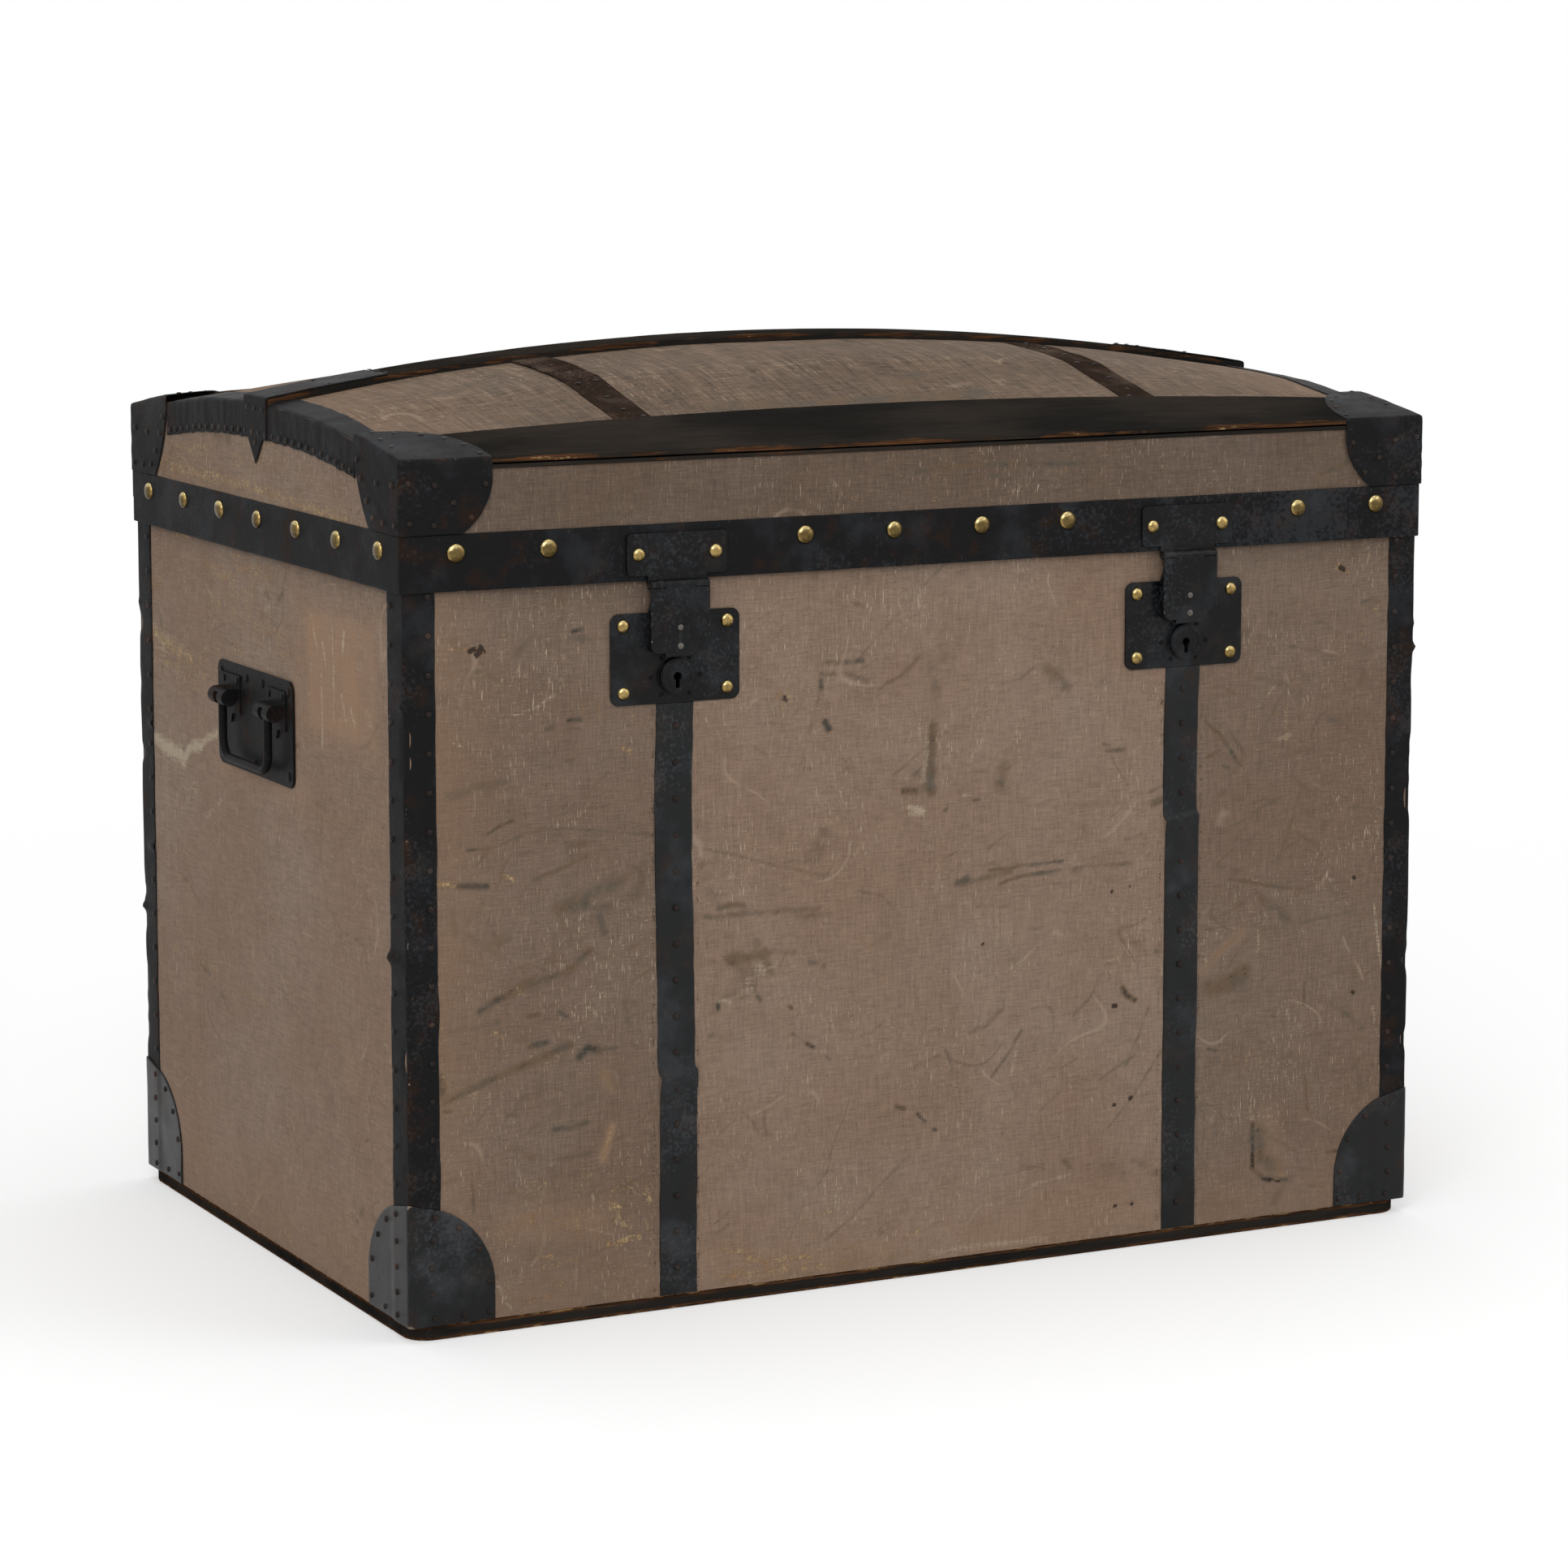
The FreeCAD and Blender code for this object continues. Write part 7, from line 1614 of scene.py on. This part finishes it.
def studio():
    """Pale floor, soft lights, white surroundings and the camera."""
    across, depth = np.meshgrid(np.linspace(-12, 12, 13), np.linspace(-9, 15, 13), indexing="ij")
    outer = np.stack([across, depth, 0 * depth], -1)
    points, faces, _ = shell(outer, outer - [0, 0, 0.02])
    mesh = bpy.data.meshes.new("studio_floor")
    mesh.from_pydata(points.tolist(), [], turned_out(points, faces, []))
    floor = put_in("studio_floor", mesh)
    paint = Paint("studio_paper")
    paint.colour = shade_of("f6f6f6")
    paint.finish(0.95, Specular_IOR_Level=0.1)
    rays = paint.add("ShaderNodeLightPath", {}, {}, "Is Camera Ray")
    glow = paint.add("ShaderNodeEmission", {}, {"Color": (1, 1, 1, 1), "Strength": 1.0})
    away = paint.add("ShaderNodeVectorMath", {"operation": "LENGTH"}, {0: paint.place}, "Value")
    away = away.ramp(0.75, 2.4)
    own = Wire(paint, paint.shader.outputs[0])
    mixed = paint.add("ShaderNodeMixShader", {}, {0: rays * (away * 0.65 + 0.35), 1: own, 2: glow})
    paint.tree.links.new(mixed.socket, paint.tree.nodes["Material Output"].inputs["Surface"])
    mesh.materials.append(paint.material)

    world = bpy.data.worlds.new("white_studio")
    world.use_nodes = True
    tree = world.node_tree
    sky, path = tree.nodes["Background"], tree.nodes.new("ShaderNodeLightPath")
    seen = None
    for ray in ("Is Camera Ray", "Is Glossy Ray", "Is Transmission Ray"):
        level = tree.nodes.new("ShaderNodeMath")
        level.operation = "MAXIMUM"
        tree.links.new(path.outputs[ray], level.inputs[0])
        level.inputs[1].default_value = AMBIENT
        if seen:
            tree.links.new(seen, level.inputs[1])
        seen = level.outputs[0]
    tree.links.new(seen, sky.inputs["Strength"])
    sky.inputs["Color"].default_value = (1, 1, 1, 1)
    bpy.context.scene.world = world

    for name, place, aim, size, power in (("key", (-2.6, -3.4, 3.6), (0, 0, 0.4), 2.6, 95.0),
                                          ("fill", (3.4, -3.0, 2.4), (0, 0, 0.4), 2.6, 42.0),
                                          ("above", (0.2, 0.4, 4.2), (0, 0, 0), 3.2, 60.0)):
        lamp = bpy.data.lights.new(name, "AREA")
        lamp.shape, lamp.size, lamp.energy = "SQUARE", size, power
        piece = put_in(name, lamp)
        piece.location = place
        way = Vector(aim) - Vector(place)
        piece.rotation_euler = way.to_track_quat("-Z", "Y").to_euler()

    lens = bpy.data.cameras.new("view")
    lens.lens, lens.sensor_width = 108.868, 36.0
    lens.shift_y = -100 / 1932
    camera = put_in("view", lens)
    camera.location = (-1.79056, -3.56269, 0.99924)
    camera.rotation_euler = (math.radians(90 - 8.157), 0.0, math.radians(-26.893))
    bpy.context.scene.camera = camera
    bpy.context.scene.view_settings.view_transform = "Standard"


# ---------------------------------------------------------------- add-on

LENGTH = {"subtype": "DISTANCE", "unit": "LENGTH"}


class TrunkSizes(bpy.types.PropertyGroup):
    cloth_step: FloatProperty(name="Cloth step", description="Grid of the canvas", default=0.0024, min=0.002,
                              max=0.02, **LENGTH)
    swell: FloatProperty(name="Swell", description="How far the canvas swells and sinks", default=0.0005,
                         min=0.0, max=0.002, **LENGTH)
    tack_radius: FloatProperty(name="Tack radius", description="Radius of a black tack's head",
                               default=0.0026, min=0.001, max=0.006, **LENGTH)
    tack_high: FloatProperty(name="Tack height", description="Height of a black tack's head", default=0.0015,
                             min=0.0005, max=0.004, **LENGTH)
    tack_pitch: FloatProperty(name="Tack pitch", description="Spacing of tacks along strips and straps",
                              default=0.029, min=0.01, max=0.08, **LENGTH)


class TrunkColours(bpy.types.PropertyGroup):
    canvas: FloatVectorProperty(name="Canvas", description="Painted canvas", size=3, subtype="COLOR",
                                default=shade_of("7c6a5c")[:3], min=0, max=1)
    tin: FloatVectorProperty(name="Tin", description="Black lacquer on the metal", size=3, subtype="COLOR",
                             default=shade_of("19191a")[:3], min=0, max=1)


class TRUNK_OT_canvas_body(bpy.types.Operator):
    """Cover the body with painted canvas"""
    bl_idname = "trunk.canvas_body"
    bl_label = "Body canvas"

    def execute(self, context):
        canvas_body(context.scene.trunk_sizes)
        return {"FINISHED"}


class TRUNK_OT_canvas_lid(bpy.types.Operator):
    """Cover the lid's walls and its dome with painted canvas"""
    bl_idname = "trunk.canvas_lid"
    bl_label = "Lid canvas"

    def execute(self, context):
        canvas_lid(context.scene.trunk_sizes)
        return {"FINISHED"}


class TRUNK_OT_corner_strips(bpy.types.Operator):
    """Bend the angle strips round the four corners and tack them"""
    bl_idname = "trunk.corner_strips"
    bl_label = "Corner strips"

    def execute(self, context):
        corner_strips(context.scene.trunk_sizes)
        return {"FINISHED"}


class TRUNK_OT_straps(bpy.types.Operator):
    """Lay the flat straps down the front and the back"""
    bl_idname = "trunk.straps"
    bl_label = "Straps"

    def execute(self, context):
        straps(context.scene.trunk_sizes)
        return {"FINISHED"}


class TRUNK_OT_corner_guards(bpy.types.Operator):
    """Bend the bottom guards round the four corners"""
    bl_idname = "trunk.corner_guards"
    bl_label = "Corner guards"

    def execute(self, context):
        corner_guards(context.scene.trunk_sizes)
        return {"FINISHED"}


class TRUNK_OT_lid_band(bpy.types.Operator):
    """Run the band round the lid"""
    bl_idname = "trunk.lid_band"
    bl_label = "Lid band"

    def execute(self, context):
        lid_band()
        return {"FINISHED"}


class TRUNK_OT_slats(bpy.types.Operator):
    """Lay the three wooden slats along the lid"""
    bl_idname = "trunk.slats"
    bl_label = "Slats"

    def execute(self, context):
        slats()
        return {"FINISHED"}


class TRUNK_OT_lid_caps(bpy.types.Operator):
    """Fold the caps over the four corners of the lid"""
    bl_idname = "trunk.lid_caps"
    bl_label = "Lid caps"

    def execute(self, context):
        lid_caps(context.scene.trunk_sizes)
        return {"FINISHED"}


class TRUNK_OT_end_rims(bpy.types.Operator):
    """Crimp the rims over both ends of the dome"""
    bl_idname = "trunk.end_rims"
    bl_label = "End rims"

    def execute(self, context):
        end_rims(context.scene.trunk_sizes)
        return {"FINISHED"}


class TRUNK_OT_ridge_clips(bpy.types.Operator):
    """Fold the clips over both ends of the ridge slat"""
    bl_idname = "trunk.ridge_clips"
    bl_label = "Ridge clips"

    def execute(self, context):
        ridge_clips(context.scene.trunk_sizes)
        return {"FINISHED"}


class TRUNK_OT_straps_over_top(bpy.types.Operator):
    """Bend the straps over the dome"""
    bl_idname = "trunk.straps_over_top"
    bl_label = "Top straps"

    def execute(self, context):
        straps_over_top(context.scene.trunk_sizes)
        return {"FINISHED"}


class TRUNK_OT_brass(bpy.types.Operator):
    """Set the brass studs and nails"""
    bl_idname = "trunk.brass"
    bl_label = "Brass heads"

    def execute(self, context):
        brass()
        return {"FINISHED"}


class TRUNK_OT_fittings(bpy.types.Operator):
    """Ease the edges of the locks, hasps, handles, hinges and battens and rivet them"""
    bl_idname = "trunk.fittings"
    bl_label = "Fittings"

    def execute(self, context):
        fittings()
        return {"FINISHED"}


class TRUNK_OT_plain_nodes(bpy.types.Operator):
    """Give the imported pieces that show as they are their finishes"""
    bl_idname = "trunk.plain_nodes"
    bl_label = "Boards, linings and pins"

    def execute(self, context):
        plain_nodes()
        return {"FINISHED"}


class TRUNK_OT_studio(bpy.types.Operator):
    """Set up the floor, the lights, the surroundings and the camera"""
    bl_idname = "trunk.studio"
    bl_label = "Studio"

    def execute(self, context):
        studio()
        return {"FINISHED"}


STEPS = (TRUNK_OT_canvas_body, TRUNK_OT_canvas_lid, TRUNK_OT_corner_strips, TRUNK_OT_straps,
         TRUNK_OT_corner_guards, TRUNK_OT_lid_band, TRUNK_OT_slats, TRUNK_OT_lid_caps, TRUNK_OT_end_rims,
         TRUNK_OT_ridge_clips, TRUNK_OT_straps_over_top, TRUNK_OT_brass, TRUNK_OT_fittings,
         TRUNK_OT_plain_nodes, TRUNK_OT_studio)


class TRUNK_PT_steps(bpy.types.Panel):
    """Steps that build the trunk's looks"""
    bl_label = "Trunk"
    bl_idname = "TRUNK_PT_steps"
    bl_space_type = "VIEW_3D"
    bl_region_type = "UI"
    bl_category = "Trunk"

    def draw(self, context):
        for group in (context.scene.trunk_sizes, context.scene.trunk_colours):
            for name in group.__annotations__:
                self.layout.prop(group, name)
        for step in STEPS:
            self.layout.operator(step.bl_idname)


def register():
    for kind in (TrunkSizes, TrunkColours, *STEPS, TRUNK_PT_steps):
        bpy.utils.register_class(kind)
    bpy.types.Scene.trunk_sizes = PointerProperty(type=TrunkSizes)
    bpy.types.Scene.trunk_colours = PointerProperty(type=TrunkColours)


def unregister():
    del bpy.types.Scene.trunk_colours
    del bpy.types.Scene.trunk_sizes
    for kind in (TRUNK_PT_steps, *reversed(STEPS), TrunkColours, TrunkSizes):
        bpy.utils.unregister_class(kind)


def main():
    register()
    for step in STEPS:
        area, name = step.bl_idname.split(".")
        if getattr(getattr(bpy.ops, area), name)() != {"FINISHED"}:
            raise RuntimeError(f"{step.bl_label} did not finish")


if __name__ == "__main__":
    main()
